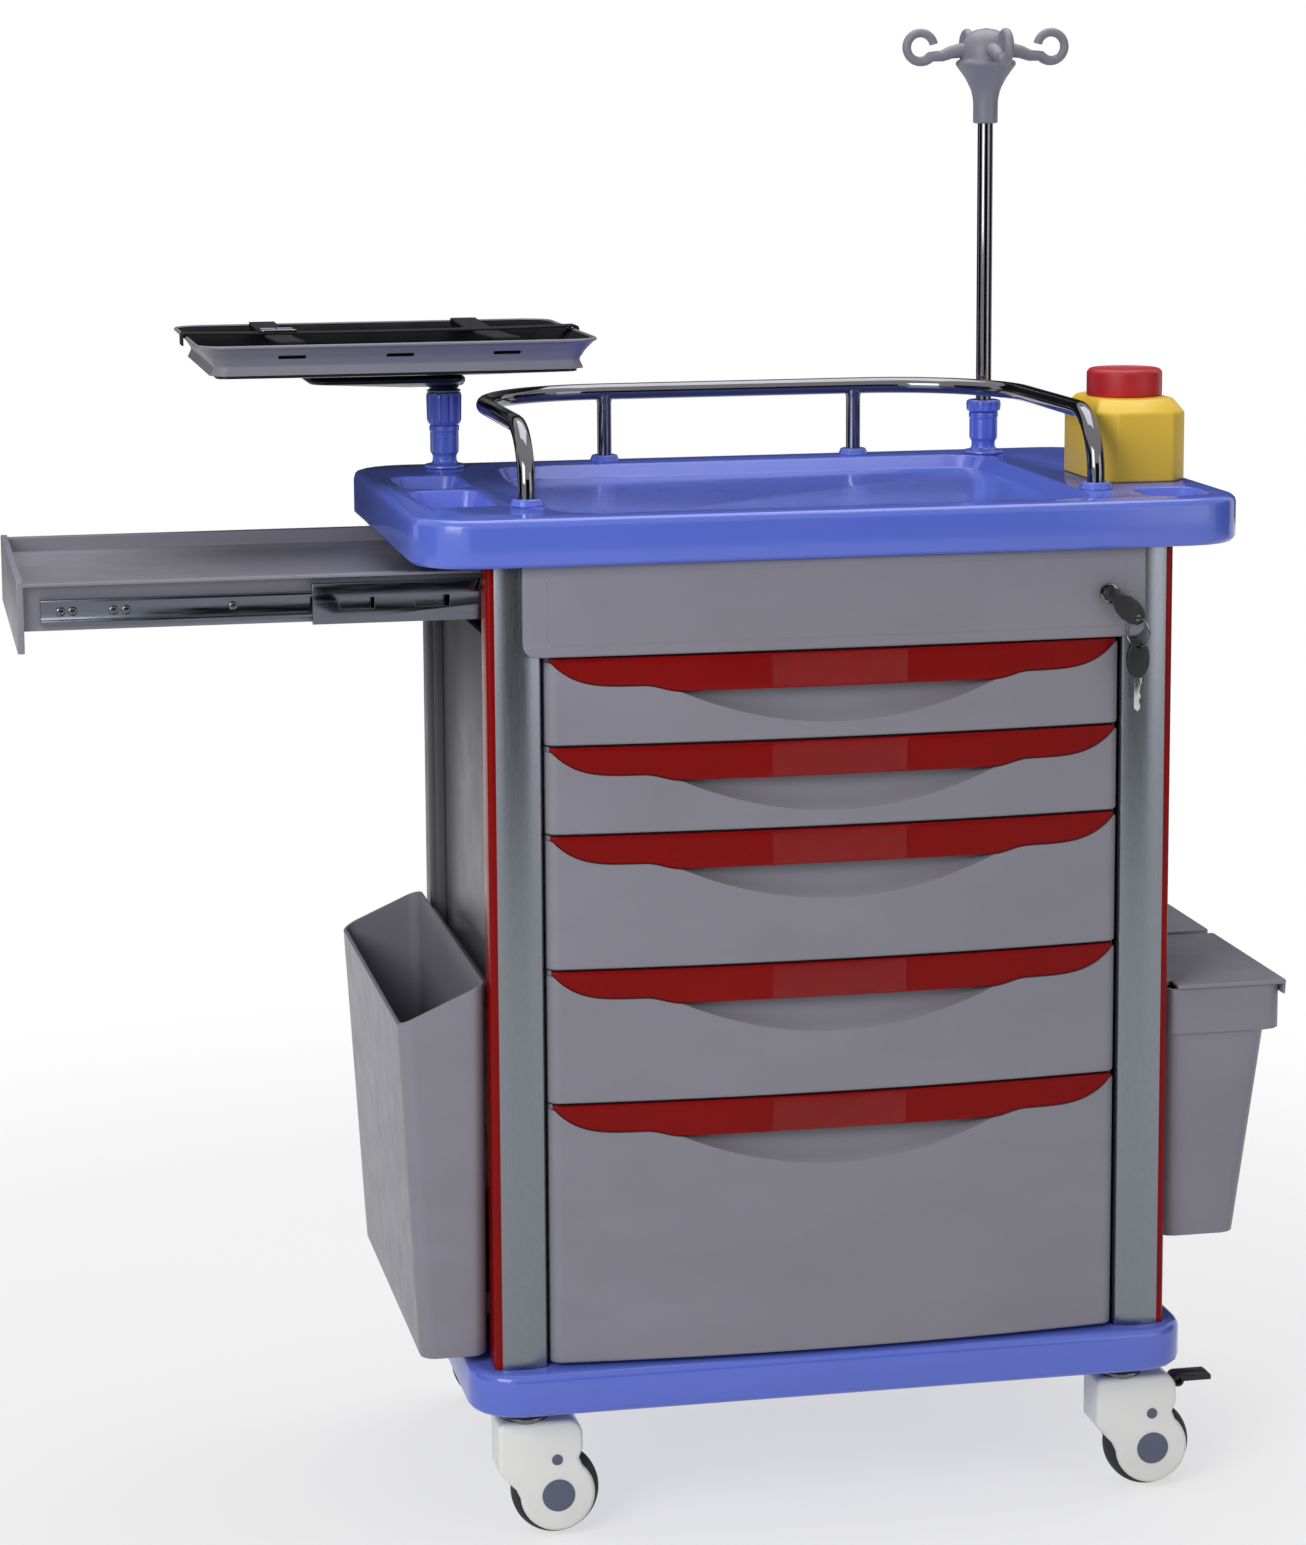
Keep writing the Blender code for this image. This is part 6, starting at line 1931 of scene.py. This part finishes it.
@dataclass
class SideShelf:
    """The sliding shelf and its two telescopic slides, with screws and slots."""

    frame: Frame
    pan_edge: float = 0.0007
    outer_edge: float = 0.0002
    slide_edge: float = 0.0003
    screw_radius: float = 0.0040
    screw_height: float = 0.0016
    screw_sink: float = 0.0004
    screw_side: float = 0.35
    dome_turns: tuple[float, ...] = (0.4, 0.8, 1.2)
    screw_offsets: tuple[float, ...] = (0.017, 0.027, 0.062, 0.073, 0.165)
    cross_width: float = 0.0008
    cross_over: float = 1.1

    def build(self) -> None:
        """Dress the shelf and slides, and drive the screws."""
        self.frame.refine("shelf_pan", GREY, self.pan_edge)
        self.frame.refine("slide_outer_frame", SLIDE, self.outer_edge, segments=1)
        for end in ("front", "rear"):
            self.frame.refine(f"slide_middle_{end}", SLIDE, self.slide_edge)
            self.frame.refine(f"slide_inner_{end}", SLIDE, self.slide_edge)
        self.build_screws()

    def screw(self) -> Piece:
        """Turn a pan-head screw with a cross recess, its axis along -Y.

        Returns:
            The screw's head.
        """
        radius = self.screw_radius
        high = self.screw_height
        side = high * self.screw_side
        profile = [(0.0, -self.screw_sink), (radius, -self.screw_sink), (radius, side)]
        for turn in self.dome_turns:
            profile.append((radius * math.cos(turn), side + (high - side) * math.sin(turn)))
        profile.append((0.0, high))
        head = turned("screw_head", profile, steps=24)
        for turn in (0.0, RIGHT_ANGLE):
            bpy.ops.mesh.primitive_cube_add(size=1.0, location=(0.0, 0.0, high))
            slot = newest("screw_slot")
            slot.scale = (radius * self.cross_over, self.cross_width, high * self.cross_over)
            slot.rotation_euler.z = turn
            settle(slot, Matrix.Identity(4))
            carve(head, slot)
        smooth(head)
        settle(head, Matrix.Rotation(RIGHT_ANGLE, 4, "X"))
        return head

    def build_screws(self) -> None:
        """Drive screws through both inner slides into the shelf's skirts."""
        model = self.screw()
        inner = self.frame.low("slide_inner_front")
        level = self.frame.centre("slide_inner_front").z
        depth = self.frame.high("slide_inner_front").y
        half_turn = Matrix.Rotation(math.pi, 4, "Z")
        heads = []
        for offset in self.screw_offsets:
            across = inner.x + offset
            near = Matrix.Translation((across, depth - self.screw_height, level))
            far = half_turn @ Matrix.Translation((-across, depth - self.screw_height, level))
            heads.append(twin(model, "screw", near))
            heads.append(twin(model, "screw", far))
        screws = joined("slide_screws", *heads)
        bpy.data.objects.remove(model)
        self.frame.place(screws, "slide_inner_front", CHROME)


@dataclass
class LockSet:
    """The lock's face with its key, and the spare key on its wire ring."""

    frame: Frame
    barrel_edge: float = 0.0004
    key_edge: float = 0.0008
    ring_diameter: float = 0.026
    ring_wire: float = 0.0018
    ring_turn: float = math.radians(33.0)
    ring_split: float = 8.0
    bow_length: float = 0.034
    bow_width: float = 0.021
    bow_thick: float = 0.005
    bow_edge: float = 0.0012
    hole_inset: float = 0.006
    hole_radius: float = 0.0027
    blade_width: float = 0.007
    blade_thick: float = 0.002
    blade_length: float = 0.030
    blade_tip: float = 0.003
    blade_edge: float = 0.0002
    cuts: tuple[float, ...] = (0.0012, 0.0024, 0.0008, 0.0020, 0.0014)
    cut_pitch: float = 0.0042
    cut_start: float = 0.35
    cut_width: float = 0.4
    cut_end: float = 0.5

    def build(self) -> None:
        """Dress the lock and its key, and build the spare key."""
        self.frame.refine("lock_barrel", CHROME, self.barrel_edge)
        self.frame.refine("lock_key", BLACK, self.key_edge, segments=3)
        middle = self.frame.centre("spare_key_ring")
        hold = Vector((middle.x, middle.y, self.frame.high("spare_key_ring").z - self.ring_wire / 2))
        pieces = (
            (self.build_ring(), CHROME),
            (self.build_bow(), BLACK),
            (self.build_blade(), STEEL),
        )
        for piece, finish in pieces:
            settle(piece, Matrix.Translation(hold))
            self.frame.place(piece, "spare_key_ring", finish, "spare_key_ring")

    def build_ring(self) -> Piece:
        """Bend the split wire ring, hanging from its highest point.

        Returns:
            The ring.
        """
        radius = self.ring_diameter / 2
        end = 90.0 + 360.0 - self.ring_split
        path = [(0.0, y, z) for y, z in arc((0.0, -radius), radius, 90.0, end, steps=48)]
        ring = tube("spare_ring_wire", path, self.ring_wire / 2)
        settle(ring, Matrix.Rotation(self.ring_turn, 4, "Z"))
        return ring

    def build_bow(self) -> Piece:
        """Mould the key's bow, with the hole that the ring passes through.

        Returns:
            The bow.
        """
        circle = arc((0.0, 0.0), 1.0, 0.0, 360.0, steps=48)[:-1]
        outline = [(self.bow_width / 2 * x, self.bow_length / 2 * z) for x, z in circle]
        bow = plate("spare_key_bow", outline, self.bow_thick, self.bow_edge, Plane.XZ)
        middle = self.hole_inset - self.ring_diameter - self.bow_length / 2
        settle(bow, Matrix.Translation((0.0, 0.0, middle)))
        hole = (0.0, 0.0, -self.ring_diameter)
        carve(bow, round_cutter(self.hole_radius, 3 * self.bow_thick, hole, steps=32))
        smooth(bow)
        return bow

    def build_blade(self) -> Piece:
        """Cut the flat blade with its bitting down one side.

        Returns:
            The blade.
        """
        half = self.blade_width / 2
        low = self.blade_tip - self.blade_length
        outline = [(half, 0.0), (-half, 0.0), (-half, low), (0.0, -self.blade_length)]
        outline.append((half - self.cuts[0], low))
        for count, depth in enumerate(self.cuts):
            foot = low + self.cut_pitch * (count + self.cut_start)
            outline.append((half - depth, foot))
            outline.append((half - depth, foot + self.cut_pitch * self.cut_width))
        outline.append((half, low + self.cut_pitch * (len(self.cuts) + self.cut_end)))
        blade = plate("spare_key_blade", outline, self.blade_thick, self.blade_edge, Plane.XZ)
        settle(blade, Matrix.Translation((0.0, 0.0, self.hole_inset - self.ring_diameter - self.bow_length)))
        return blade


@dataclass
class Caster:
    """One caster: white shell, hub caps, swivel race, wheel with tyre, and a pedal where it has a brake."""

    frame: Frame
    corner: Corner
    height: float = 0.125
    trail: float = 0.027
    pedal_edge: float = 0.0008
    wheel_radius: float = 0.040
    wheel_half: float = 0.014
    clear: float = 0.003
    side_clear: float = 0.002
    shell_half: float = 0.022
    shell_front: float = 0.027
    shell_back: float = 0.050
    waist: float = 0.062
    brow_round: float = 0.006
    crown_round: float = 0.015
    foot_round: float = 0.004
    foot_swing: float = 55.0
    throat: tuple[Flat, ...] = ((0.45, 0.42), (0.80, 0.78))
    cheek: float = 0.034
    cheek_swing: Flat = (184.0, 408.0)
    heel: tuple[Flat, ...] = ((-0.0035, 0.011), (0.0, 0.020))
    edge: float = 0.0042
    cap_radius: float = 0.0150
    cap_sink: float = 0.0003
    cap_curve: tuple[Flat, ...] = ((0.0, 0.0), (1.0, 0.0), (1.0, 0.0011), (0.86, 0.0014), (0.0, 0.0017))
    cap_soft: float = 0.0006
    bolt_radius: float = 0.0050
    bolt_place: Flat = (-0.001, 0.0335)
    race_thick: float = 0.015
    race_cup: tuple[Flat, ...] = ((0.0, -0.017), (0.0216, -0.017), (0.02256, -0.012), (0.0192, -0.0095))
    race_plate: tuple[Flat, ...] = ((0.0192, -0.005), (0.024, -0.004), (0.024, -0.0012), (0.02208, -0.0004))
    race_stem: tuple[Flat, ...] = ((0.006, -0.0004), (0.006, 0.020), (0.0, 0.020))
    race_soft: float = 0.0012
    tyre: tuple[Flat, ...] = ((0.029, 0.001), (0.031, 0.0), (0.036, 0.0), (0.040, 0.008))
    tyre_soft: float = 0.0045
    boss: tuple[Flat, ...] = ((0.0053, 0.0), (0.010, 0.0), (0.013, 0.004))
    rim: tuple[Flat, ...] = ((0.0252, 0.004), (0.0292, 0.0015))
    core_soft: float = 0.001

    @property
    def fork(self) -> str:
        """The fork's node."""
        return f"caster_fork_{self.corner.label}"

    @property
    def wheel(self) -> str:
        """The wheel's node."""
        return f"caster_wheel_{self.corner.label}"

    @property
    def pivot(self) -> Matrix:
        """The move from the swivel axis at the origin to this corner."""
        middle = self.frame.centre(self.wheel)
        return Matrix.Translation((middle.x - self.trail, middle.y, 0.0))

    def build(self) -> None:
        """Build every piece of the caster."""
        pieces = (
            (self.build_shell(), WHITE, self.fork),
            (self.build_caps(), CAP_GREY, self.fork),
            (self.build_race(), CHROME, self.fork),
            (self.build_tyre(), TYRE, self.wheel),
            (self.build_core(), CAP_GREY, self.wheel),
        )
        for piece, finish, node in pieces:
            settle(piece, self.pivot)
            self.frame.place(piece, node, finish, node)
        pedal = f"brake_pedal_{self.corner.label}"
        if pedal in self.frame.nodes:
            self.frame.refine(pedal, BLACK, self.pedal_edge)

    def build_shell(self) -> Piece:
        """Mould the shell and hollow it for the wheel.

        Returns:
            The shell.
        """
        top = self.height - self.race_thick
        brow = self.brow_round
        crown = self.crown_round
        round_foot = self.foot_round
        step = self.shell_front - self.cheek + self.trail
        foot = (-self.shell_front, self.waist)
        hub = (self.trail, self.wheel_radius)
        outline = arc((brow - self.shell_front, top - brow), brow, 90.0, 180.0, steps=6)
        bend = (foot[0] + round_foot, foot[1] + round_foot)
        outline += arc(bend, round_foot, 180.0, 180.0 + self.foot_swing, steps=4)
        outline += [(foot[0] + step * back, foot[1] - step * down) for back, down in self.throat]
        outline += arc(hub, self.cheek, *self.cheek_swing, steps=48)
        outline += [(self.shell_back + back, self.waist + up) for back, up in self.heel]
        outline += arc((self.shell_back - crown, top - crown), crown, 0.0, 90.0, steps=10)
        shell = plate(f"caster_shell_{self.corner.label}", outline, 2 * self.shell_half, self.edge, Plane.XZ)
        gap = 2 * (self.wheel_half + self.side_clear)
        carve(shell, round_cutter(self.wheel_radius + self.clear, gap, (hub[0], 0.0, hub[1]), steps=72))
        smooth(shell)
        return shell

    def build_caps(self) -> Piece:
        """Turn hub caps and small bolt caps for both cheeks.

        Returns:
            The caps.
        """
        bolt = (self.trail + self.bolt_place[0], self.wheel_radius + self.bolt_place[1])
        places = ((self.trail, self.wheel_radius, self.cap_radius), (*bolt, self.bolt_radius))
        discs = []
        for side in (-1, 1):
            turn = Matrix.Rotation(-RIGHT_ANGLE * side, 4, "X")
            for x, z, radius in places:
                sharp = [(radius * share, up) for share, up in self.cap_curve]
                disc = turned("cap", soft_profile(sharp, self.cap_soft), steps=48)
                settle(disc, Matrix.Translation((x, side * (self.shell_half - self.cap_sink), z)) @ turn)
                discs.append(disc)
        return joined(f"caster_caps_{self.corner.label}", *discs)

    def build_race(self) -> Piece:
        """Turn the plated swivel race: a plate under the base, a waist, a lower cup and the stem.

        Returns:
            The race.
        """
        curve = (*self.race_cup, *self.race_plate, *self.race_stem)
        sharp = [(radius, self.height + up) for radius, up in curve]
        return turned(f"caster_race_{self.corner.label}", soft_profile(sharp, self.race_soft))

    def build_tyre(self) -> Piece:
        """Turn the tyre, with a round tread and a shoulder on each side."""
        profile = soft_profile(self.both_sides(self.tyre), self.tyre_soft, steps=6)
        return self.on_axle(turned(f"tyre_{self.corner.label}", profile, steps=96))

    def build_core(self) -> Piece:
        """Turn the wheel's plastic core, dished on both sides."""
        profile = soft_profile(self.both_sides((*self.boss, *self.rim)), self.core_soft)
        return self.on_axle(turned(f"wheel_core_{self.corner.label}", profile, steps=72))

    def both_sides(self, curve: Sequence[Flat]) -> list[Flat]:
        """Close one side's profile with its mirror image.

        Args:
            curve: Points of radius and depth from the wheel's face.

        Returns:
            The whole profile about the wheel's middle.
        """
        near = [(radius, depth - self.wheel_half) for radius, depth in curve]
        far = [(radius, -across) for radius, across in reversed(near)]
        return [*near, *far, near[0]]

    def on_axle(self, piece: Piece) -> Piece:
        """Lay a turned piece along the wheel's axle.

        Args:
            piece: The piece, turned about Z.

        Returns:
            The same piece.
        """
        lay = Matrix.Rotation(RIGHT_ANGLE, 4, "X")
        settle(piece, Matrix.Translation((self.trail, 0.0, self.wheel_radius)) @ lay)
        return piece


@dataclass
class HungBins:
    """The lidded waste bins on the right and the open bucket on the left."""

    frame: Frame
    bin_edge: float = 0.0008
    lid_edge: float = 0.0014
    hook_edge: float = 0.0006
    back: float = 0.314
    reach: float = 0.078
    foot_reach: float = 0.061
    half: float = 0.200
    taper: float = 0.010
    foot: float = 0.172
    top: float = 0.515
    rim_drop: float = 0.034
    rim_power: float = 1.1
    rim_shares: Flat = (0.25, 0.75)
    rim_rise: float = 0.25
    wall: float = 0.003
    wall_steps: int = 12
    corner: float = 0.014
    foot_round: float = 0.004
    round_share: float = 0.3

    def build(self) -> None:
        """Dress the bins and lids, and build the bucket."""
        for end in ("front", "rear"):
            self.frame.refine(f"waste_bin_{end}", GREY, self.bin_edge)
            self.frame.refine(f"waste_lid_{end}", GREY, self.lid_edge, segments=3)
        self.build_bucket()
        self.build_hook()

    def ring(self, share: float, inset: float, lift: float) -> list[Point]:
        """Lay a loop round the bucket.

        Args:
            share: How far up the walls it lies, from 0 at the foot to 1 at the sloping rim.
            inset: How far inside the outer face.
            lift: How far above that level.

        Returns:
            The loop's points.
        """
        reach = self.foot_reach + (self.reach - self.foot_reach) * share
        ends = self.half - self.taper * (1 - share)
        middle = -self.back - reach / 2
        corner = self.corner - inset
        loop = []
        for x, y in rounded_outline(reach - 2 * inset, 2 * (ends - inset), corner, steps=10):
            out = max(0.0, -self.back - middle - x) / self.reach
            rim = self.top - self.rim_drop * out**self.rim_power
            loop.append((middle + x, y, self.foot + lift + (rim - self.foot) * share))
        return loop

    def build_bucket(self) -> None:
        """Loft the open bucket: a thin shell whose rim falls from its back to its outer side."""
        steps = self.wall_steps
        foot = self.foot_round
        round_half = foot * self.round_share
        rise = self.wall * self.rim_rise
        loops = [self.ring(0.0, foot, 0.0), self.ring(0.0, round_half, round_half), self.ring(0.0, 0.0, foot)]
        loops += [self.ring(step / steps, 0.0, 0.0) for step in range(1, steps + 1)]
        loops += [self.ring(1.0, self.wall * share, rise) for share in self.rim_shares]
        loops += [self.ring(step / steps, self.wall, 0.0) for step in range(steps, 0, -1)]
        loops.append(self.ring(0.0, self.wall, foot + self.wall))
        loops.append(self.ring(0.0, foot + self.wall, self.wall))
        self.frame.place(lofted("bucket_shell", loops), "left_bucket", GREY, "left_bucket")

    def build_hook(self) -> None:
        """Cut the node's own hook away from its walls."""
        across = self.frame.middle.x - self.back - self.wall / 3
        hook = self.frame.rest_of("left_bucket", "bucket_hook", (across, 0.0, 0.0), (1.0, 0.0, 0.0))
        rounded_edges(hook, self.hook_edge)
        self.frame.hand_over(hook, "left_bucket", GREY, "left_bucket")


@dataclass
class SharpsBox:
    """The sharps box and its smooth screw lid."""

    frame: Frame
    box_edge: float = 0.0022
    wall: float = 0.0025
    rim_width: float = 0.0030
    dish_inset: float = 0.0075
    dish_depth: float = 0.0012
    lid_soft: float = 0.0018

    def build(self) -> None:
        """Dress the box and turn the lid."""
        self.frame.refine("sharps_box", YELLOW, self.box_edge, segments=3)
        low = self.frame.low("sharps_lid")
        high = self.frame.high("sharps_lid")
        outer = (high.x - low.x) / 2
        floor = high.z - self.dish_depth
        sharp = [
            (0.0, floor - self.wall),
            (outer - self.wall, floor - self.wall),
            (outer - self.wall, low.z),
            (outer, low.z),
            (outer, high.z - self.rim_width),
            (outer - self.rim_width, high.z),
            (outer - 2 * self.rim_width, high.z),
            (outer - self.dish_inset, floor),
            (0.0, floor),
        ]
        lid = turned("sharps_screw_lid", soft_profile(sharp, self.lid_soft), 2 * FINE_TURN)
        settle(lid, self.frame.over("sharps_lid"))
        self.frame.place(lid, "sharps_lid", RED_CAP, "sharps_lid")


# Stage and camera


def seen_rays(tree: bpy.types.NodeTree) -> Socket:
    """Tell rays from the camera, off a mirror or through glass from the rest.

    Args:
        tree: The node tree to add to.

    Returns:
        A value of 1 for those rays and of 0 for the rest.
    """
    path = tree.nodes.new("ShaderNodeLightPath")
    seen = path.outputs["Is Camera Ray"]
    for kind in ("Is Glossy Ray", "Is Transmission Ray"):
        node = tree.nodes.new("ShaderNodeMath")
        node.operation = "MAXIMUM"
        tree.links.new(seen, node.inputs[0])
        tree.links.new(path.outputs[kind], node.inputs[1])
        seen = node.outputs["Value"]
    return seen


@dataclass(frozen=True)
class Softbox:
    """A square lamp, with its place from the middle of the base and its power in watts."""

    name: str
    place: Point
    size: float
    power: float


@dataclass(frozen=True)
class Card:
    """A dark card, with its middle from the middle of the base, its size, and its turn in degrees."""

    name: str
    place: Point
    size: Flat
    turn: float


@dataclass(frozen=True)
class Studio:
    """A pale floor that fades to white, soft lamps and dark cards that only reflections see."""

    frame: Frame
    floor_colour: Colour = (0.90, 0.90, 0.90)
    floor_half: float = 40.0
    floor_mottle: Pattern = Pattern(3.0)
    floor_roughness: Flat = (0.7, 0.9)
    fade_start: float = 0.7
    fade_end: float = 1.9
    fade_low: float = 0.62
    world_level: float = 0.27
    aim_height: float = 0.65
    card_colour: Colour = (0.02, 0.02, 0.024)
    card_roughness: float = 0.9
    lamps: tuple[Softbox, ...] = (
        Softbox("key", (-2.3, -2.5, 2.1), 1.8, 66.0),
        Softbox("fill", (2.8, -3.4, 1.6), 2.0, 14.0),
        Softbox("overhead", (0.2, 0.6, 3.4), 2.4, 54.0),
    )
    cards: tuple[Card, ...] = (
        Card("dark_card_front", (0.6, -6.0, 1.2), (5.0, 2.4), 0.0),
        Card("dark_card_back", (0.0, 4.0, 2.0), (9.0, 3.4), 0.0),
        Card("dark_card_left", (-5.0, 0.4, 1.3), (4.0, 2.6), 90.0),
        Card("dark_card_right", (5.0, -0.4, 1.3), (4.0, 2.6), 90.0),
    )

    def build(self) -> None:
        """Lay the floor, set the world, and hang the lamps and cards."""
        self.build_floor()
        self.build_world()
        for lamp in self.lamps:
            self.hang_lamp(lamp)
        for card in self.cards:
            self.stand_card(card)

    def build_floor(self) -> None:
        """Lay a wide pale floor, which is plain white to the eye away from the cart."""
        bpy.ops.mesh.primitive_plane_add(size=2 * self.floor_half)
        floor = newest("floor")
        paint = Shader("studio_floor")
        paint.surface.inputs["Base Color"].default_value = (*self.floor_colour, 1.0)
        mottle = paint.noise(self.floor_mottle)
        paint.link(paint.ranged(mottle, *self.floor_roughness), paint.surface, "Roughness")
        tree = paint.tree
        reach = tree.nodes.new("ShaderNodeVectorMath")
        reach.operation = "LENGTH"
        tree.links.new(paint.place, reach.inputs[0])
        fade = tree.nodes.new("ShaderNodeMapRange")
        fade.interpolation_type = "SMOOTHSTEP"
        fade.inputs["From Min"].default_value = self.fade_start
        fade.inputs["From Max"].default_value = self.fade_end
        fade.inputs["To Min"].default_value = self.fade_low
        tree.links.new(reach.outputs["Value"], fade.inputs["Value"])
        glow = tree.nodes.new("ShaderNodeEmission")
        blend = tree.nodes.new("ShaderNodeMixShader")
        tree.links.new(paint.product(fade.outputs["Result"], seen_rays(tree)), blend.inputs[0])
        tree.links.new(paint.surface.outputs["BSDF"], blend.inputs[1])
        tree.links.new(glow.outputs["Emission"], blend.inputs[2])
        tree.links.new(blend.outputs["Shader"], tree.nodes["Material Output"].inputs["Surface"])
        floor.data.materials.append(paint.material)
        floor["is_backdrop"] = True

    def build_world(self) -> None:
        """Set an even grey world that is white where it is seen or reflected."""
        world = bpy.data.worlds.new("studio")
        bpy.context.scene.world = world
        world.use_nodes = True
        tree = world.node_tree
        level = tree.nodes.new("ShaderNodeMapRange")
        level.inputs["To Min"].default_value = self.world_level
        level.inputs["To Max"].default_value = 1.0
        tree.links.new(seen_rays(tree), level.inputs["Value"])
        back = tree.nodes["Background"]
        back.inputs["Color"].default_value = (1.0, 1.0, 1.0, 1.0)
        tree.links.new(level.outputs["Result"], back.inputs["Strength"])

    def hang_lamp(self, softbox: Softbox) -> None:
        """Hang a softbox that faces the cart.

        Args:
            softbox: The lamp.
        """
        data = bpy.data.lights.new(softbox.name, "AREA")
        data.size = softbox.size
        data.energy = softbox.power
        lamp = bpy.data.objects.new(softbox.name, data)
        bpy.context.scene.collection.objects.link(lamp)
        place = Vector(softbox.place)
        lamp.location = self.frame.middle + place
        aim = Vector((0.0, 0.0, self.aim_height)) - place
        lamp.rotation_euler = aim.to_track_quat("-Z", "Y").to_euler()

    def stand_card(self, card: Card) -> None:
        """Stand a dark upright card that gives bright metal something to reflect.

        Args:
            card: The card.
        """
        bpy.ops.mesh.primitive_plane_add(
            size=1.0,
            location=self.frame.middle + Vector(card.place),
            rotation=(RIGHT_ANGLE, 0.0, math.radians(card.turn)),
        )
        board = newest(card.name)
        board.scale = (*card.size, 1.0)
        paint = Shader(card.name)
        paint.surface.inputs["Base Color"].default_value = (*self.card_colour, 1.0)
        paint.constant("Roughness", self.card_roughness)
        board.data.materials.append(paint.material)
        board.visible_camera = False
        board.visible_diffuse = False
        board.visible_shadow = False
        board.visible_transmission = False
        board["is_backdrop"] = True


@dataclass(frozen=True)
class PhotoCamera:
    """The camera that took the photograph, as fitted to the cart's landmarks."""

    frame: Frame
    yaw: float = 0.1956
    pitch: float = 0.1479
    roll: float = -0.0069
    place: Point = (-0.8359, -3.4743, 1.3293)
    focal_px: float = 3867.0
    centre_px: Flat = (625.2, 623.2)
    image_px: Flat = (1306.0, 1545.0)
    sensor: float = 36.0
    far: float = 200.0

    def build(self) -> None:
        """Put the camera in the scene."""
        data = bpy.data.cameras.new("photo_camera")
        camera = bpy.data.objects.new("photo_camera", data)
        bpy.context.scene.collection.objects.link(camera)
        aim = Matrix.Rotation(-self.yaw, 4, "Z") @ Matrix.Rotation(RIGHT_ANGLE - self.pitch, 4, "X")
        turn = aim @ Matrix.Rotation(self.roll, 4, "Z")
        camera.matrix_world = Matrix.Translation(self.frame.middle + Vector(self.place)) @ turn
        long_side = max(self.image_px)
        data.sensor_width = self.sensor
        data.lens = self.focal_px / long_side * self.sensor
        data.shift_x = (self.image_px[0] / 2 - self.centre_px[0]) / long_side
        data.shift_y = (self.centre_px[1] - self.image_px[1] / 2) / long_side
        data.clip_end = self.far
        bpy.context.scene.camera = camera


def main() -> None:
    """Dress the cart, light it and aim the camera."""
    logging.basicConfig(level=logging.INFO, format="%(name)s: %(message)s")
    for item in list(bpy.data.objects):
        bpy.data.objects.remove(item)
    frame = Frame()
    bpy.context.scene.view_settings.view_transform = "Standard"
    Carcass(frame).build()
    for number in range(1, DRAWER_COUNT + 1):
        Drawer(frame, number).build()
    WorkTop(frame).build()
    PoleMount(frame, "tray_socket", "tray_collar", bore=0.0083).build()
    PoleMount(frame, "iv_socket", "iv_collar", bore=0.0078).build()
    DripPole(frame).build()
    MonitorTray(frame).build()
    SideShelf(frame).build()
    LockSet(frame).build()
    for corner in Corner:
        Caster(frame, corner).build()
    HungBins(frame).build()
    SharpsBox(frame).build()
    Studio(frame).build()
    PhotoCamera(frame).build()
    boxes = {"cad": frame.box, "visual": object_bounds()}
    {name: [list(corner) for corner in box] for name, box in boxes.items()}


if __name__ == "__main__":
    main()
